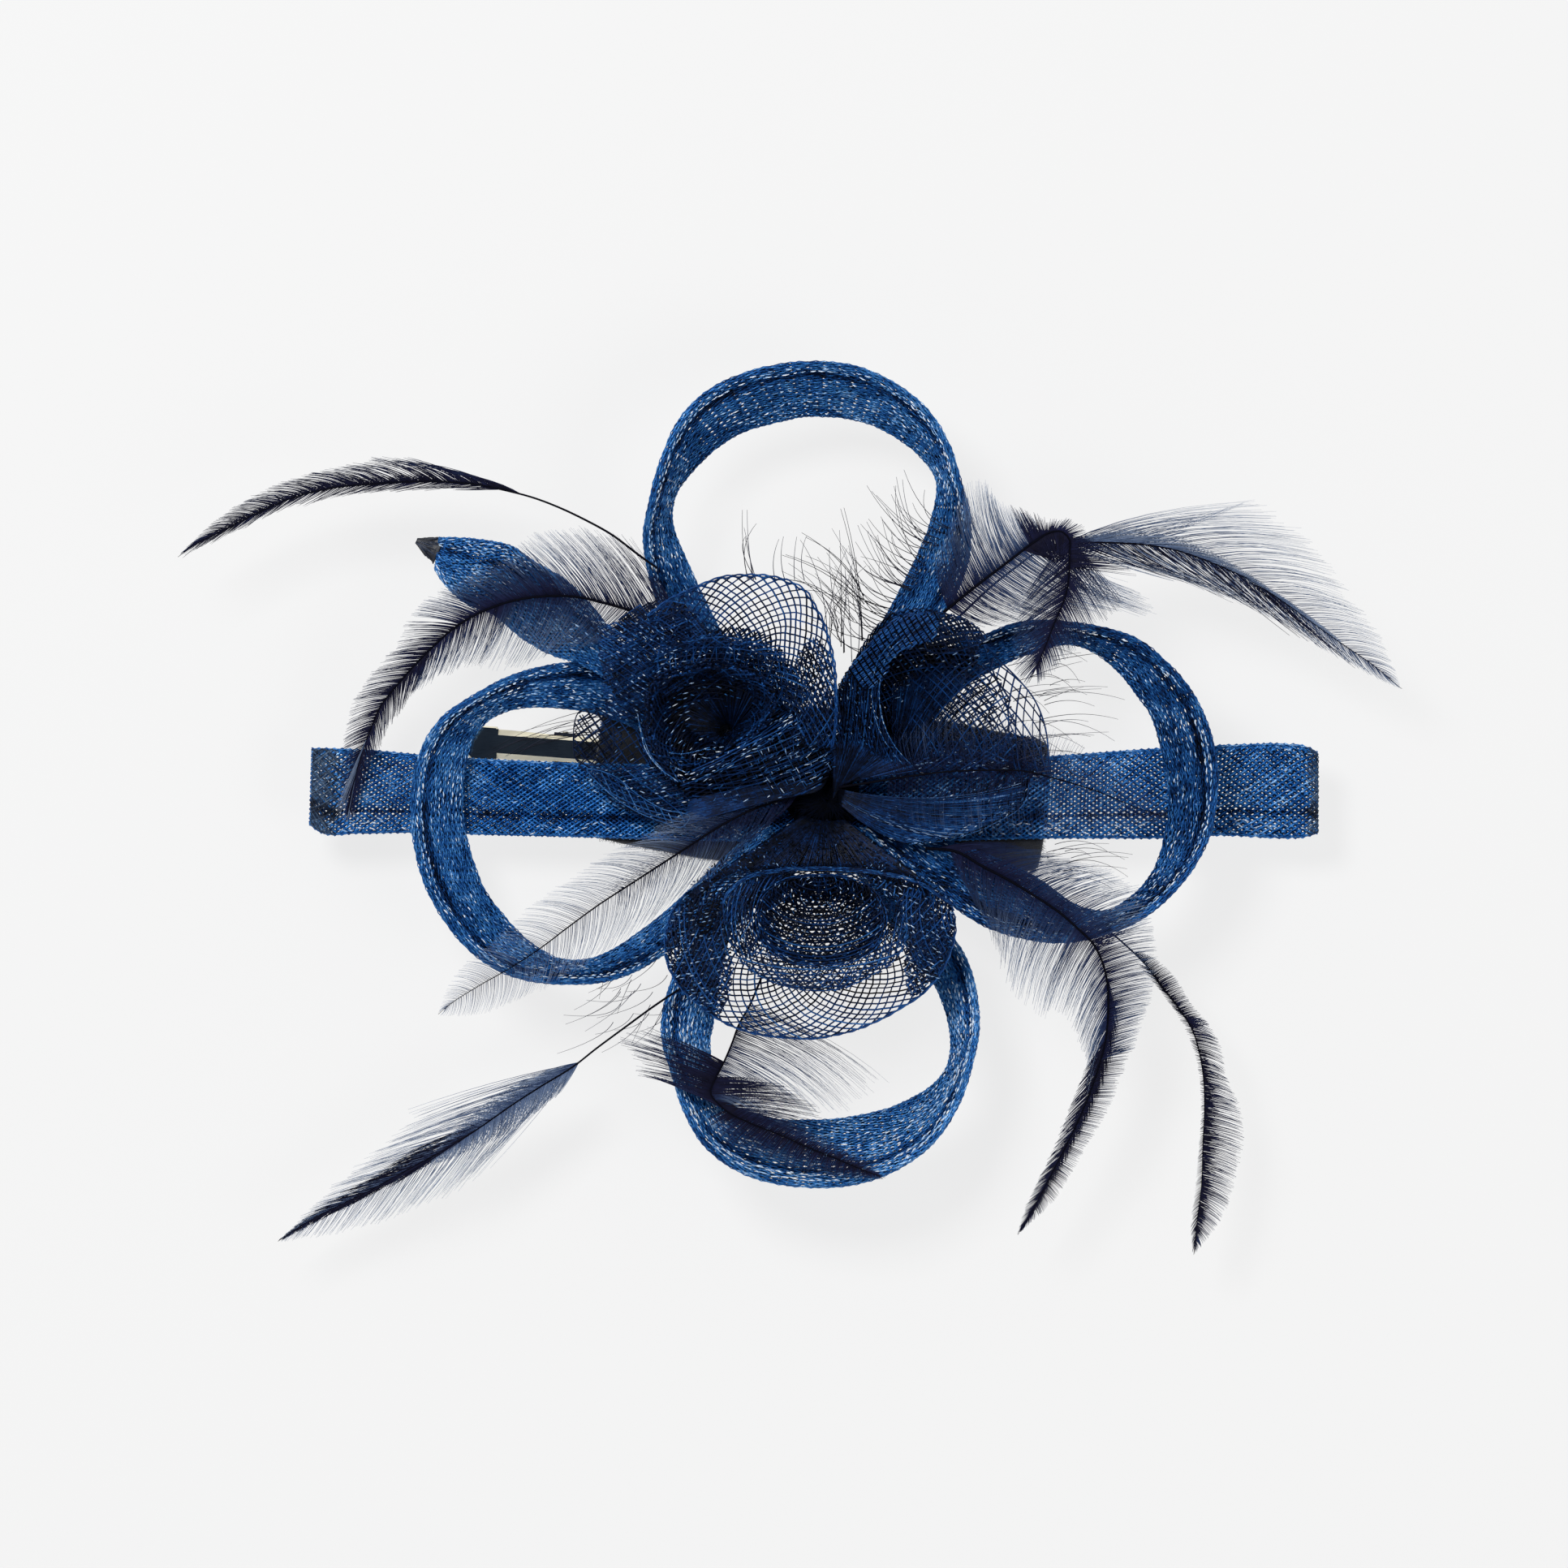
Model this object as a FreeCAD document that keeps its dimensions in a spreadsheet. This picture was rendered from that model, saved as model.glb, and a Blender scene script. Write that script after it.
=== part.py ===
import FreeCAD, Part
import math
import os

from FreeCAD import Placement, Rotation, Vector as V

# Fascinator headpiece: black felt base on a sprung hair clip, with crin braid loops,
# spiral crin roses and trimmed feathers stitched to the felt.
# Frame: XY is the underside of the felt, origin at the felt's centre, +Z away from the head,
# +X along the longest extent. Millimetres.

doc = FreeCAD.newDocument("fascinator")

# ---------------------------------------------------------------- driving dimensions
SHEET = [
    ("felt_length", 90.75), ("felt_width", 26.6), ("felt_thick", 2.0), ("felt_turn", -4.3),
    ("felt_corner", 1.6),
    ("band_thick", 1.5), ("ribbon_thick", 1.0), ("petal_thick", 0.8), ("tip_thick", 1.3),
    ("feather_thick", 0.6),
    ("knot_radius", 8.0), ("knot_low", 3.9), ("knot_high", 8.0),
    ("clip_x", -52.5), ("clip_y", 8.3), ("clip_turn", -4.3),
    ("plate_thick", 0.8), ("plate_end_width", 7.0), ("plate_neck_width", 5.6),
    ("plate_tip_width", 3.0), ("press_length", 20.0), ("flange_width", 0.95), ("flange_drop", 0.66), ("plate_bevel", 0.3), ("press_pad", 6.5), ("jaw_length", 38.0),
    ("ear_half", 2.6), ("ear_thick", 0.7), ("ear_half_inner", 1.7), ("ear_thick_inner", 0.6),
    ("pin_radius", 0.6), ("pin_length", 7.2), ("pin_drop", 3.2), ("pin_play", 0.05),
    ("jaw_gap", 0.5), ("lever_drop", 8.3), ("spring_inner", 0.75), ("spring_outer", 1.3),
]
sheet = doc.addObject("Spreadsheet::Sheet", "sizes")
for row, (alias, value) in enumerate(SHEET, start=1):
    sheet.set("A%d" % row, alias)
    sheet.set("B%d" % row, str(value))
    sheet.setAlias("B%d" % row, alias)
doc.recompute()


def val(alias):
    return float(sheet.get(alias))


NODES = []


def node(obj, name):
    obj.Label = name
    NODES.append((name, obj))
    return obj


def body_with_plane(name, role="XY_Plane"):
    body = doc.addObject("PartDesign::Body", name)
    plane = [f for f in body.Origin.OriginFeatures if f.Role == role][0]
    return body, plane


def sketch_on(body, plane, name):
    sk = body.newObject("Sketcher::SketchObject", name)
    sk.AttachmentSupport = [(plane, "")]
    sk.MapMode = "FlatFace"
    return sk


# ---------------------------------------------------------------- felt base
import Sketcher


def rectangle(sk, length, width):
    """Centred rectangle whose two sizes follow the sheet."""
    a, b = val(length) / 2, val(width) / 2
    p = [V(-a, -b, 0), V(a, -b, 0), V(a, b, 0), V(-a, b, 0)]
    for i in range(4):
        sk.addGeometry(Part.LineSegment(p[i], p[(i + 1) % 4]), False)
    for i in range(4):
        sk.addConstraint(Sketcher.Constraint("Coincident", i, 2, (i + 1) % 4, 1))
    for i in (0, 2):
        sk.addConstraint(Sketcher.Constraint("Horizontal", i))
    for i in (1, 3):
        sk.addConstraint(Sketcher.Constraint("Vertical", i))
    sk.addConstraint(Sketcher.Constraint("Symmetric", 0, 1, 2, 1, -1, 1))
    sk.addConstraint(Sketcher.Constraint("DistanceX", 0, 1, 0, 2, 2 * a))
    sk.setExpression("Constraints[%d]" % (sk.ConstraintCount - 1), "sizes." + length)
    sk.addConstraint(Sketcher.Constraint("DistanceY", 1, 1, 1, 2, 2 * b))
    sk.setExpression("Constraints[%d]" % (sk.ConstraintCount - 1), "sizes." + width)


body, plane = body_with_plane("felt")
sk = sketch_on(body, plane, "felt_outline")
rectangle(sk, "felt_length", "felt_width")
pad = body.newObject("PartDesign::Pad", "felt_pad")
pad.Profile = sk
pad.setExpression("Length", "sizes.felt_thick")
doc.recompute()
corners = [
    "Edge%d" % (i + 1) for i, e in enumerate(pad.Shape.Edges)
    if abs(e.Vertexes[0].Z - e.Vertexes[-1].Z) > 0.5 * val("felt_thick")
]
fil = body.newObject("PartDesign::Fillet", "felt_corners")
fil.Base = (pad, corners)
fil.setExpression("Radius", "sizes.felt_corner")
body.Placement = Placement(V(0, 0, 0), Rotation(V(0, 0, 1), val("felt_turn")))
node(body, "felt_base")

# ---------------------------------------------------------------- stitched centre knot
knot = doc.addObject("Part::Cylinder", "knot")
knot.setExpression("Radius", "sizes.knot_radius")
knot.setExpression("Height", "sizes.knot_high - sizes.knot_low")
knot.Placement = Placement(V(-0.33, -1.16, val("knot_low")), Rotation())
node(knot, "centre_binding")

# ---------------------------------------------------------------- hair clip
# Local frame of the clip: x along it from the press end (-) to the jaw's tip (+),
# y across, z up, origin on the felt's underside above the hinge pin.
CLIP = Placement(V(val("clip_x"), val("clip_y"), 0), Rotation(V(0, 0, 1), val("clip_turn")))


def outline(name, pts, drop_from, thick):
    """Body padded from a flat outline; the pad's length follows the sheet."""
    b, pl = body_with_plane(name)
    s = sketch_on(b, pl, name + "_outline")
    s.AttachmentOffset = Placement(V(0, 0, drop_from), Rotation())
    n = len(pts)
    for i in range(n):
        s.addGeometry(Part.LineSegment(V(*pts[i], 0), V(*pts[(i + 1) % n], 0)), False)
    for i in range(n):
        s.addConstraint(Sketcher.Constraint("Coincident", i, 2, (i + 1) % n, 1))
    p = b.newObject("PartDesign::Pad", name + "_pad")
    p.Profile = s
    p.setExpression("Length", thick)
    return b


pl_, jl = val("press_length"), val("jaw_length")
ew, nw, tw = val("plate_end_width") / 2, val("plate_neck_width") / 2, val("plate_tip_width") / 2
pe = -pl_ + val("press_pad")
top_outline = [
    (-pl_ + 1.2, -ew), (pe - 0.6, -ew), (pe, -nw - 0.25), (-4, -nw), (4, -nw), (12, -tw - 0.3),
    (jl - 1.2, -tw), (jl, -tw + 1.0), (jl, tw - 1.0), (jl - 1.2, tw), (12, tw + 0.3), (4, nw),
    (-4, nw), (pe, nw + 0.25), (pe - 0.6, ew), (-pl_ + 1.2, ew), (-pl_, ew - 1.2), (-pl_, -ew + 1.2),
]
upper = outline("upper_plate", top_outline, -val("plate_thick"), "sizes.plate_thick")
doc.recompute()
# bevelled rim round the press pad's top
rim_pad = upper.Tip
rim_edges = [
    "Edge%d" % (i + 1) for i, e in enumerate(rim_pad.Shape.Edges)
    if min(v.Z for v in e.Vertexes) > -0.01 and max(v.X for v in e.Vertexes) < pe + 0.05
]
bevel = upper.newObject("PartDesign::Chamfer", "press_pad_bevel")
bevel.Base = (rim_pad, rim_edges)
bevel.setExpression("Size", "sizes.plate_bevel")
doc.recompute()
# flanges turned down along both long sides of the neck
flange_cuts = []
for i, sd in enumerate((1, -1)):
    y0, y1 = sd * (nw - val("flange_width")), sd * (nw + 0.6)
    z1 = -val("flange_drop") * (val("flange_width") + 0.6) / val("flange_width")
    tri = Part.makePolygon([V(pe - 0.1, y0, 0), V(pe - 0.1, y1, 0.0), V(pe - 0.1, y1, z1), V(pe - 0.1, y0, 0)])
    wedge = doc.addObject("Part::Feature", "flange_wedge_%d" % i)
    wedge.Shape = Part.Face(tri).extrude(V(12.0 - pe, 0, 0))
    flange_cuts.append(wedge)
plate_cut = doc.addObject("Part::Cut", "upper_plate_first_side")
plate_cut.Base, plate_cut.Tool = upper, flange_cuts[0]
plate_cut2 = doc.addObject("Part::Cut", "upper_plate_second_side")
plate_cut2.Base, plate_cut2.Tool = plate_cut, flange_cuts[1]
doc.recompute()

t = val("plate_thick")
drop = val("pin_drop")
ear_z = -drop - 1.5


def ear(name, side, half, thick, width, low, high, hole):
    """One side tab of a lever, with its pin hole."""
    tab = doc.addObject("Part::Box", name)
    tab.setExpression("Width", "sizes." + thick)
    tab.Length, tab.Height = width, high - low
    y0 = val(half) if side > 0 else -val(half) - val(thick)
    tab.Placement = Placement(V(-width / 2, y0, low), Rotation())
    drill = doc.addObject("Part::Cylinder", name + "_drill")
    drill.Radius = hole
    drill.Height = 20
    drill.Placement = Placement(V(0, -10, -drop), Rotation(V(-1, 0, 0), 90))
    cut = doc.addObject("Part::Cut", name + "_cut")
    cut.Base, cut.Tool = tab, drill
    return cut


ears_u = [ear("upper_ear_%d" % i, sd, "ear_half", "ear_thick", 4.4, ear_z, -t * 0.5, val("pin_radius"))
          for i, sd in enumerate((1, -1))]
up = doc.addObject("Part::MultiFuse", "upper_lever")
up.Shapes = [plate_cut2] + ears_u
up.Placement = CLIP
node(up, "clip_upper_plate")

pin = doc.addObject("Part::Cylinder", "pin")
pin.setExpression("Radius", "sizes.pin_radius")
pin.setExpression("Height", "sizes.pin_length")
pin.Placement = CLIP.multiply(
    Placement(V(0, val("pin_length") / 2, -drop), Rotation(V(1, 0, 0), 90)))
node(pin, "clip_hinge_pin")

# Lower jaw: side profile swept across the clip, trimmed to its tapering outline.
jz = -t - val("jaw_gap")
prof = [(-pl_ + 0.4, -val("lever_drop")), (-5.0, -4.15), (-1.8, -1.9), (1.0, jz), (jl - 0.6, jz),
        (jl - 0.6, jz - t), (2.6, jz - t), (-1.4, -1.9 - t), (-4.7, -4.15 - t), (-pl_ + 0.4, -val("lever_drop") - t)]
w = Part.makePolygon([V(x, -4, z) for x, z in prof + prof[:1]])
side = Part.Face(w).extrude(V(0, 8, 0))
trim_pts = [
    (-pl_ + 0.4, -ew + 1), (-pl_ + 1.4, -ew), (pe - 0.6, -ew), (pe, -2.5), (-5.5, -2.25), (4.0, -2.25),
    (12, -tw - 0.2), (jl - 0.6, -tw), (jl - 0.6, tw), (12, tw + 0.2), (4.0, 2.25), (-5.5, 2.25),
    (pe, 2.5), (pe - 0.6, ew), (-pl_ + 1.4, ew), (-pl_ + 0.4, ew - 1),
]
trim = Part.Face(Part.makePolygon([V(x, y, -12) for x, y in trim_pts + trim_pts[:1]])).extrude(V(0, 0, 14))
jaw_blade = doc.addObject("Part::Feature", "jaw_blade")
blade = side.common(trim)
# window in the blade so that the pin, the spring's coil and the ears have room
window = Part.makeBox(7.5, 2 * val("ear_half_inner"), 5.2, V(-5.2, -val("ear_half_inner"), -5.6))
blade = blade.cut(window)
jaw_blade.Shape = blade
ears_l = [ear("lower_ear_%d" % i, sd, "ear_half_inner", "ear_thick_inner", 3.4, ear_z + 0.2, -1.9,
              val("pin_radius") + val("pin_play")) for i, sd in enumerate((1, -1))]
# two short rows of teeth along the blade's upper edges near its tip
teeth = []
for k in range(9):
    x0 = 14.0 + 2.4 * k
    for sd in (1, -1):
        wy = tw - 0.05
        tri = Part.makePolygon([V(x0, 0, jz - 0.2), V(x0 + 0.5, 0, jz + 0.2), V(x0 + 1.0, 0, jz - 0.2), V(x0, 0, jz - 0.2)])
        tooth = Part.Face(tri).extrude(V(0, 0.5, 0))
        tooth.translate(V(0, wy - 0.5 if sd > 0 else -wy, 0))
        teeth.append(tooth)
row = doc.addObject("Part::Feature", "jaw_teeth")
row.Shape = Part.makeCompound(teeth)
low = doc.addObject("Part::MultiFuse", "lower_lever")
low.Shapes = [jaw_blade] + ears_l + [row]
low.Placement = CLIP
node(low, "clip_lower_jaw")

# Torsion spring: close-wound coil round the pin, one leg under each lever.
ri, ro = val("spring_inner"), val("spring_outer")
coil = Part.makeCylinder(ro, 3.0, V(0, -1.5, -drop), V(0, 1, 0)).cut(
    Part.makeCylinder(ri, 4.0, V(0, -2.0, -drop), V(0, 1, 0)))
leg_u = Part.makeCylinder(0.25, 9.0, V(-0.2, 1.2, -drop + 1.1), V(-1, 0, 0.105))
leg_l = Part.makeCylinder(0.25, 8.0, V(-0.9, -1.2, -2.62), V(-1, 0, -0.2862))
spring = doc.addObject("Part::Feature", "spring")
spring.Shape = coil.fuse([leg_u, leg_l]).removeSplitter()
spring.Placement = CLIP
node(spring, "clip_spring")

# ---------------------------------------------------------------- braid, petals, feathers
# Each strip is (thickness alias, closed ring, stations); a station gives the two edges of the
# strip there: x, y, z of the one and x, y, z of the other.
STRIPS = {
    "flat_band": ("band_thick", False, [
        (-103.79, 8.42, 3.2, -104.28, -7.1, 3.2), (-101.31, 8.42, 3, -102.3, -8.58, 3),
        (-92.56, 8.09, 3, -94.38, -8.91, 3), (-81.67, 7.1, 3, -83.49, -8.75, 3),
        (-72.27, 6.44, 3, -71.28, -9.08, 3), (-51.15, 5.45, 3, -51.15, -9.57, 3),
        (-34.98, 5.12, 3, -34.98, -10.07, 3), (-18.48, 4.79, 3, -18.48, -10.4, 3),
        (-0.33, 4.62, 3, -0.33, -10.56, 3), (22.77, 5.45, 3, 22.77, -10.4, 3),
        (46.04, 6.77, 3, 45.05, -9.9, 3), (55.28, 7.43, 3, 55.28, -9.9, 3),
        (68.81, 8.42, 3, 70.62, -9.9, 3), (86.62, 9.24, 3, 84.31, -9.41, 3),
        (93.39, 9.41, 3, 93.89, -9.9, 3), (99, 8.75, 3, 99, -9.57, 3),
        (101.48, 7.43, 3.2, 101.48, -8.75, 3.2),
    ]),
    "top_loop": ("ribbon_thick", False, [
        (-8.25, 7.1, 5.6, -3.63, 9.57, 5.6), (-16, 17.32, 5.8, -10.23, 20.3, 5.8),
        (-25.91, 27.72, 6.5, -17.98, 28.05, 6), (-32.67, 36.63, 9, -22.44, 36.14, 6.5),
        (-34.98, 44.22, 13, -26.73, 45.05, 7), (-35.8, 51.48, 16, -30.2, 53.3, 7),
        (-34.32, 58.58, 18, -30.2, 58.91, 7), (-32.34, 66.5, 18, -27.06, 64.02, 7),
        (-28.71, 74.75, 17.5, -21.95, 69.14, 7), (-23.1, 80.52, 17, -16, 72.77, 7),
        (-13.53, 84.81, 17, -8.25, 75.08, 7), (-1.98, 86.62, 17, -1.49, 76.06, 7),
        (11.05, 84.15, 17, 7.92, 75.08, 7), (20.13, 78.05, 17.5, 15.51, 71.61, 7),
        (25.25, 70.62, 18, 21.12, 66.99, 7), (27.72, 63.2, 18, 23.76, 62.54, 7),
        (29.87, 54.95, 16, 22.77, 55.61, 7), (29.54, 45.71, 13, 19.14, 46.7, 6.8),
        (26.4, 38.12, 11, 14.19, 37.12, 6.5), (19.47, 28.55, 8.5, 8.25, 28.05, 6),
        (10.89, 18.98, 6, 3.63, 20.79, 5.8), (5.94, 9.57, 5.6, 0.99, 11.22, 5.6),
    ]),
    "left_loop": ("ribbon_thick", False, [
        (-11.05, 3.47, 5.6, -10.56, -2.48, 5.6), (-23.43, 12.04, 5.8, -23.76, 3.8, 5.8),
        (-34.98, 20.62, 6.2, -33, 9.57, 6), (-46.53, 25.74, 7.5, -41.41, 14.03, 6.2),
        (-57.09, 24.92, 10, -51.48, 16.5, 6.5), (-63.36, 22.94, 12.5, -58.91, 17, 6.5),
        (-70.78, 18.81, 15, -66.33, 15.35, 6.8), (-76.56, 14.69, 16, -70.12, 12.04, 7),
        (-81.18, 7.92, 15, -72.11, 7.1, 7), (-82.83, 0.49, 15, -73.09, 0.49, 7),
        (-83.16, -5.61, 15, -72.93, -6.11, 7), (-82.34, -12.21, 15, -71.61, -11.88, 7),
        (-80.52, -18.98, 15, -68.97, -19.3, 7), (-76.56, -26.4, 14.5, -64.68, -25.58, 7),
        (-70.45, -33.33, 14.5, -60.06, -30.53, 7), (-63.03, -37.45, 14.5, -55.61, -33.5, 7),
        (-53.13, -38.94, 14.5, -50.66, -34.98, 7), (-45.05, -38.94, 13, -44.72, -33.99, 6.8),
        (-38.28, -37.12, 10, -38.61, -30.2, 6.5), (-33, -34.16, 8, -33, -25.91, 6.2),
        (-25.08, -28.38, 6.2, -24.75, -18.48, 6), (-15.18, -18.48, 5.8, -17.66, -11.88, 5.8),
        (-7.76, -9.41, 5.6, -10.56, -6.44, 5.6),
    ]),
    "right_loop": ("ribbon_thick", False, [
        (8.91, 5.45, 5.6, 10.4, 0.17, 5.6), (12.54, 14.03, 6, 18.15, 7.76, 6),
        (17.49, 22.28, 6.8, 22.77, 15.02, 6.5), (24.75, 28.05, 8, 29.37, 21.12, 6.8),
        (33, 31.35, 9.5, 37.95, 25.91, 7), (40.09, 33.83, 13, 43.4, 28.05, 8),
        (47.52, 33.83, 17, 49.5, 29.7, 8), (56.1, 32.67, 17.5, 54.95, 28.55, 7.5),
        (64.02, 30.2, 17, 60.39, 24.42, 7), (70.62, 24.92, 17, 64.02, 19.96, 7),
        (75.57, 18.64, 16, 67.32, 14.52, 7), (78.87, 11.22, 16, 69.3, 7.92, 7),
        (80.19, 2.97, 16, 70.45, 2.15, 7), (79.7, -4.46, 16, 70.78, -4.46, 7),
        (77.55, -11.38, 16, 69.3, -12.71, 7), (72.93, -18.48, 16.5, 66.5, -18.48, 7),
        (66.5, -24.59, 17, 62.37, -22.61, 7), (58.25, -28.88, 15.5, 57.09, -24.92, 7),
        (50.82, -30.86, 13, 51.65, -23.43, 7), (41.75, -30.36, 11, 44.22, -18.15, 6.8),
        (33.5, -27.89, 9, 36.8, -14.36, 6.5), (25.25, -22.61, 7, 27.72, -11.05, 6),
        (16.17, -15.18, 6, 17.82, -6.93, 5.8), (8.91, -8.58, 5.6, 10.4, -3.14, 5.6),
    ]),
    "bottom_loop": ("ribbon_thick", False, [
        (-4.46, -10.4, 5.8, -1.32, -11.05, 5.8), (-10.56, -13.2, 6.7, -6.27, -17.98, 6.7),
        (-17.66, -17.32, 7.4, -12.38, -22.44, 7.4), (-23.76, -23.27, 7.7, -17.66, -27.55, 7.5),
        (-27.55, -30.86, 7.9, -19.64, -33.5, 7.2), (-30.36, -38.61, 8.4, -21.12, -41.09, 6.8),
        (-32.18, -44.88, 9.5, -22.11, -47.69, 6.4), (-32.18, -51.32, 12, -22.77, -52.3, 6.5),
        (-30.36, -57.26, 14, -21.78, -58.08, 7), (-28.21, -64.19, 15.5, -19.64, -62.54, 7),
        (-23.43, -72.44, 16.5, -16, -65.51, 7), (-16.17, -77.55, 17, -10.23, -66.99, 7),
        (-6.11, -80.19, 17, -4.46, -67.32, 7), (4.79, -80.19, 17, 3.8, -66.99, 7),
        (14.52, -77.22, 17, 12.04, -65.34, 7), (22.77, -71.28, 16.5, 18.64, -62.7, 7),
        (27.72, -63.53, 16, 23.76, -59.23, 7), (30.2, -55.94, 16, 26.24, -54.95, 7),
        (31.68, -47.69, 14, 26.24, -48.68, 6.8), (31.35, -41.09, 11, 23.93, -41.41, 6.5),
        (29.37, -34.16, 8, 21.12, -37.12, 6.2), (22.77, -25.08, 6, 15.35, -29.21, 6),
        (12.04, -14.36, 5.8, 8.25, -18.48, 5.8), (5.45, -9.08, 5.6, 2.97, -11.05, 5.6),
    ]),
    "pointed_tail": ("ribbon_thick", False, [
        (-77.72, 51.15, 10.3, -78.54, 44.72, 10.3), (-73.92, 51.15, 10.4, -76.56, 41.75, 10.4),
        (-68.48, 50.66, 10.5, -72.11, 37.79, 10.5), (-63.03, 49.5, 10.6, -66.66, 35.64, 10.6),
        (-58.08, 46.2, 10.6, -61.38, 31.19, 10.6), (-52.3, 42.9, 10.6, -55.61, 27.72, 10.6),
        (-46.86, 37.62, 10.5, -49.5, 25.74, 10.5), (-41.75, 31.35, 10.4, -44.05, 22.77, 10.4),
        (-34.98, 26.07, 10.2, -37.45, 18.32, 10.2), (-28.71, 21.62, 10, -30.86, 14.52, 10),
    ]),
    "tail_end_binding": ("tip_thick", False, [
        (-82.34, 50.98, 10.2, -82.34, 49.66, 10.2), (-80.19, 51.32, 10.2, -81.02, 47.03, 10.2),
        (-77.88, 51.23, 10.3, -78.7, 44.88, 10.3),
    ]),
    "left_rose_outer_petal": ("petal_thick", False, [
        (-35.31, 35.31, 24, -26.35, 21.5, 12), (-31.19, 38.28, 25, -24.69, 22.37, 12),
        (-24.42, 41.41, 27, -22.16, 23.03, 12), (-20.13, 42.9, 28, -20.68, 23.1, 12),
        (-16, 43.23, 29, -19.34, 22.97, 12), (-10.89, 42.9, 30, -17.78, 22.58, 12),
        (-6.27, 41.75, 30, -16.43, 22, 12), (-2.97, 39.77, 30, -15.4, 21.4, 12),
        (-1.32, 36.96, 29.5, -14.65, 20.83, 12), (0.66, 33.16, 29, -13.68, 19.92, 12),
        (1.82, 29.37, 28.5, -12.88, 18.93, 12), (2.81, 24.75, 28, -12.05, 17.53, 12),
        (2.97, 19.8, 28, -11.41, 15.83, 12), (2.97, 14.69, 26, -11.07, 13.81, 12),
        (2.15, 8.42, 22, -11.26, 11.19, 12),
    ]),
    "left_rose_middle_petal": ("petal_thick", False, [
        (-34.48, 25.58, 24, -26.07, 17.88, 11.2), (-32.01, 28.55, 26, -25.01, 18.82, 11.2),
        (-26.07, 30.2, 27, -22.95, 19.84, 11.2), (-19.3, 30.69, 28, -20.3, 20.1, 11.2),
        (-13.86, 29.7, 28, -18.22, 19.57, 11.2), (-9.74, 27.72, 28, -16.72, 18.68, 11.2),
        (-6.27, 24.75, 27.5, -15.51, 17.48, 11.2), (-3.8, 21.45, 27, -14.71, 16.2, 11.2),
        (-2.15, 17.98, 25, -14.24, 14.91, 11.2),
    ]),
    "left_rose_inner_cup": ("petal_thick", True, [
        (-33.33, 21.45, 26, -25.07, 16.27, 10), (-28.55, 23.6, 27, -24.15, 17.24, 10),
        (-22.28, 24.75, 28, -22.28, 17.82, 10), (-16.83, 24.09, 28, -20.64, 17.39, 10),
        (-12.71, 22.28, 27, -19.71, 16.6, 10), (-10.07, 18.81, 26, -19.16, 15.61, 10),
        (-10.56, 15.51, 24, -18.99, 14.8, 10), (-13.53, 12.21, 21, -19.08, 13.68, 10),
        (-17.66, 9.24, 19, -20.1, 12.04, 10), (-22.28, 6.11, 18, -22.28, 11.22, 10),
        (-27.72, 4.62, 18, -23.87, 11.63, 10), (-31.19, 6.27, 19, -24.7, 12.28, 10),
        (-33.66, 9.24, 21, -25.27, 13.13, 10), (-34.48, 13.2, 23, -25.56, 14.17, 10),
        (-34.48, 17.32, 25, -25.49, 15.26, 10),
    ]),
    "left_rose_front_petal": ("petal_thick", False, [
        (-35.48, 12.04, 14, -37.79, 11.22, 12), (-33.99, 8.42, 13.6, -35.48, 5.12, 12),
        (-30.86, 4.62, 13.2, -30.69, 1.16, 11.6), (-26.4, 2.64, 12.6, -24.75, -1.49, 11.2),
        (-20.46, 3.8, 12.2, -18.48, -2.15, 11), (-13.2, 7.92, 12, -11.88, -1.49, 11),
        (-6.6, 11.22, 12.4, -4.95, 0.83, 11.2), (-0.33, 11.22, 12.6, 1.32, 3.47, 11.6),
    ]),
    "left_rose_flap": ("petal_thick", False, [
        (-39.6, 14.85, 13.5, -48.84, 15.68, 13), (-39.93, 9.57, 12.6, -50.33, 10.4, 12),
        (-38.94, 5.12, 11.6, -49.83, 5.78, 10.6), (-36.63, 1.32, 10.6, -46.7, 1.65, 9.6),
        (-32.51, -1.16, 9.8, -42.08, -2.81, 8.8), (-27.55, -2.81, 9.4, -34.98, -6.27, 8.4),
        (-23.1, -4.46, 9.2, -28.71, -7.43, 8.4),
    ]),
    "right_rose_outer_petal": ("petal_thick", False, [
        (1.98, 1.82, 10, 18.15, 4.46, 9.5), (2.31, 11.22, 16, 15.35, 7.76, 10.5),
        (2.81, 19.3, 22, 13.2, 11.38, 11.5), (4.95, 23.1, 24, 12.21, 15.35, 12),
        (7.92, 27.23, 25, 11.88, 19.47, 12), (11.71, 32.34, 26, 12.21, 23.6, 12),
        (15.02, 34.82, 26, 13.86, 27.55, 12), (19.3, 35.97, 26, 17.49, 28.55, 12),
        (23.43, 35.48, 26, 21.45, 28.05, 12), (27.72, 34.65, 25, 25.58, 27.06, 12),
        (33.16, 31.02, 23, 29.87, 24.92, 12),
    ]),
    "right_rose_inner_petal": ("petal_thick", False, [
        (34.82, 23.1, 15, 31.02, 16.66, 8.4), (37.79, 17.66, 15, 32.34, 14.52, 8.4),
        (39.44, 12.21, 14.5, 33, 12.04, 8.4), (39.27, 7.92, 14, 32.67, 9.57, 8.4),
        (37.29, 3.8, 13, 31.02, 7.43, 8.4), (31.85, 0.83, 12.5, 28.55, 5.94, 8.4),
        (24.42, 0.17, 12, 25.74, 5.78, 8.4), (19.14, 2.15, 11, 23.1, 6.77, 8.4),
    ]),
    "right_rose_right_petal": ("petal_thick", False, [
        (39.27, 20.3, 11, 42.57, 20.62, 9), (41.25, 15.35, 12, 44.88, 15.68, 9.5),
        (41.58, 9.57, 12, 45.87, 9.57, 10), (41.25, 4.62, 12, 45.71, 3.8, 10),
        (37.62, 0.83, 11.5, 41.25, -2.81, 9.5), (31.85, -1.98, 11, 34.48, -6.77, 9),
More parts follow.
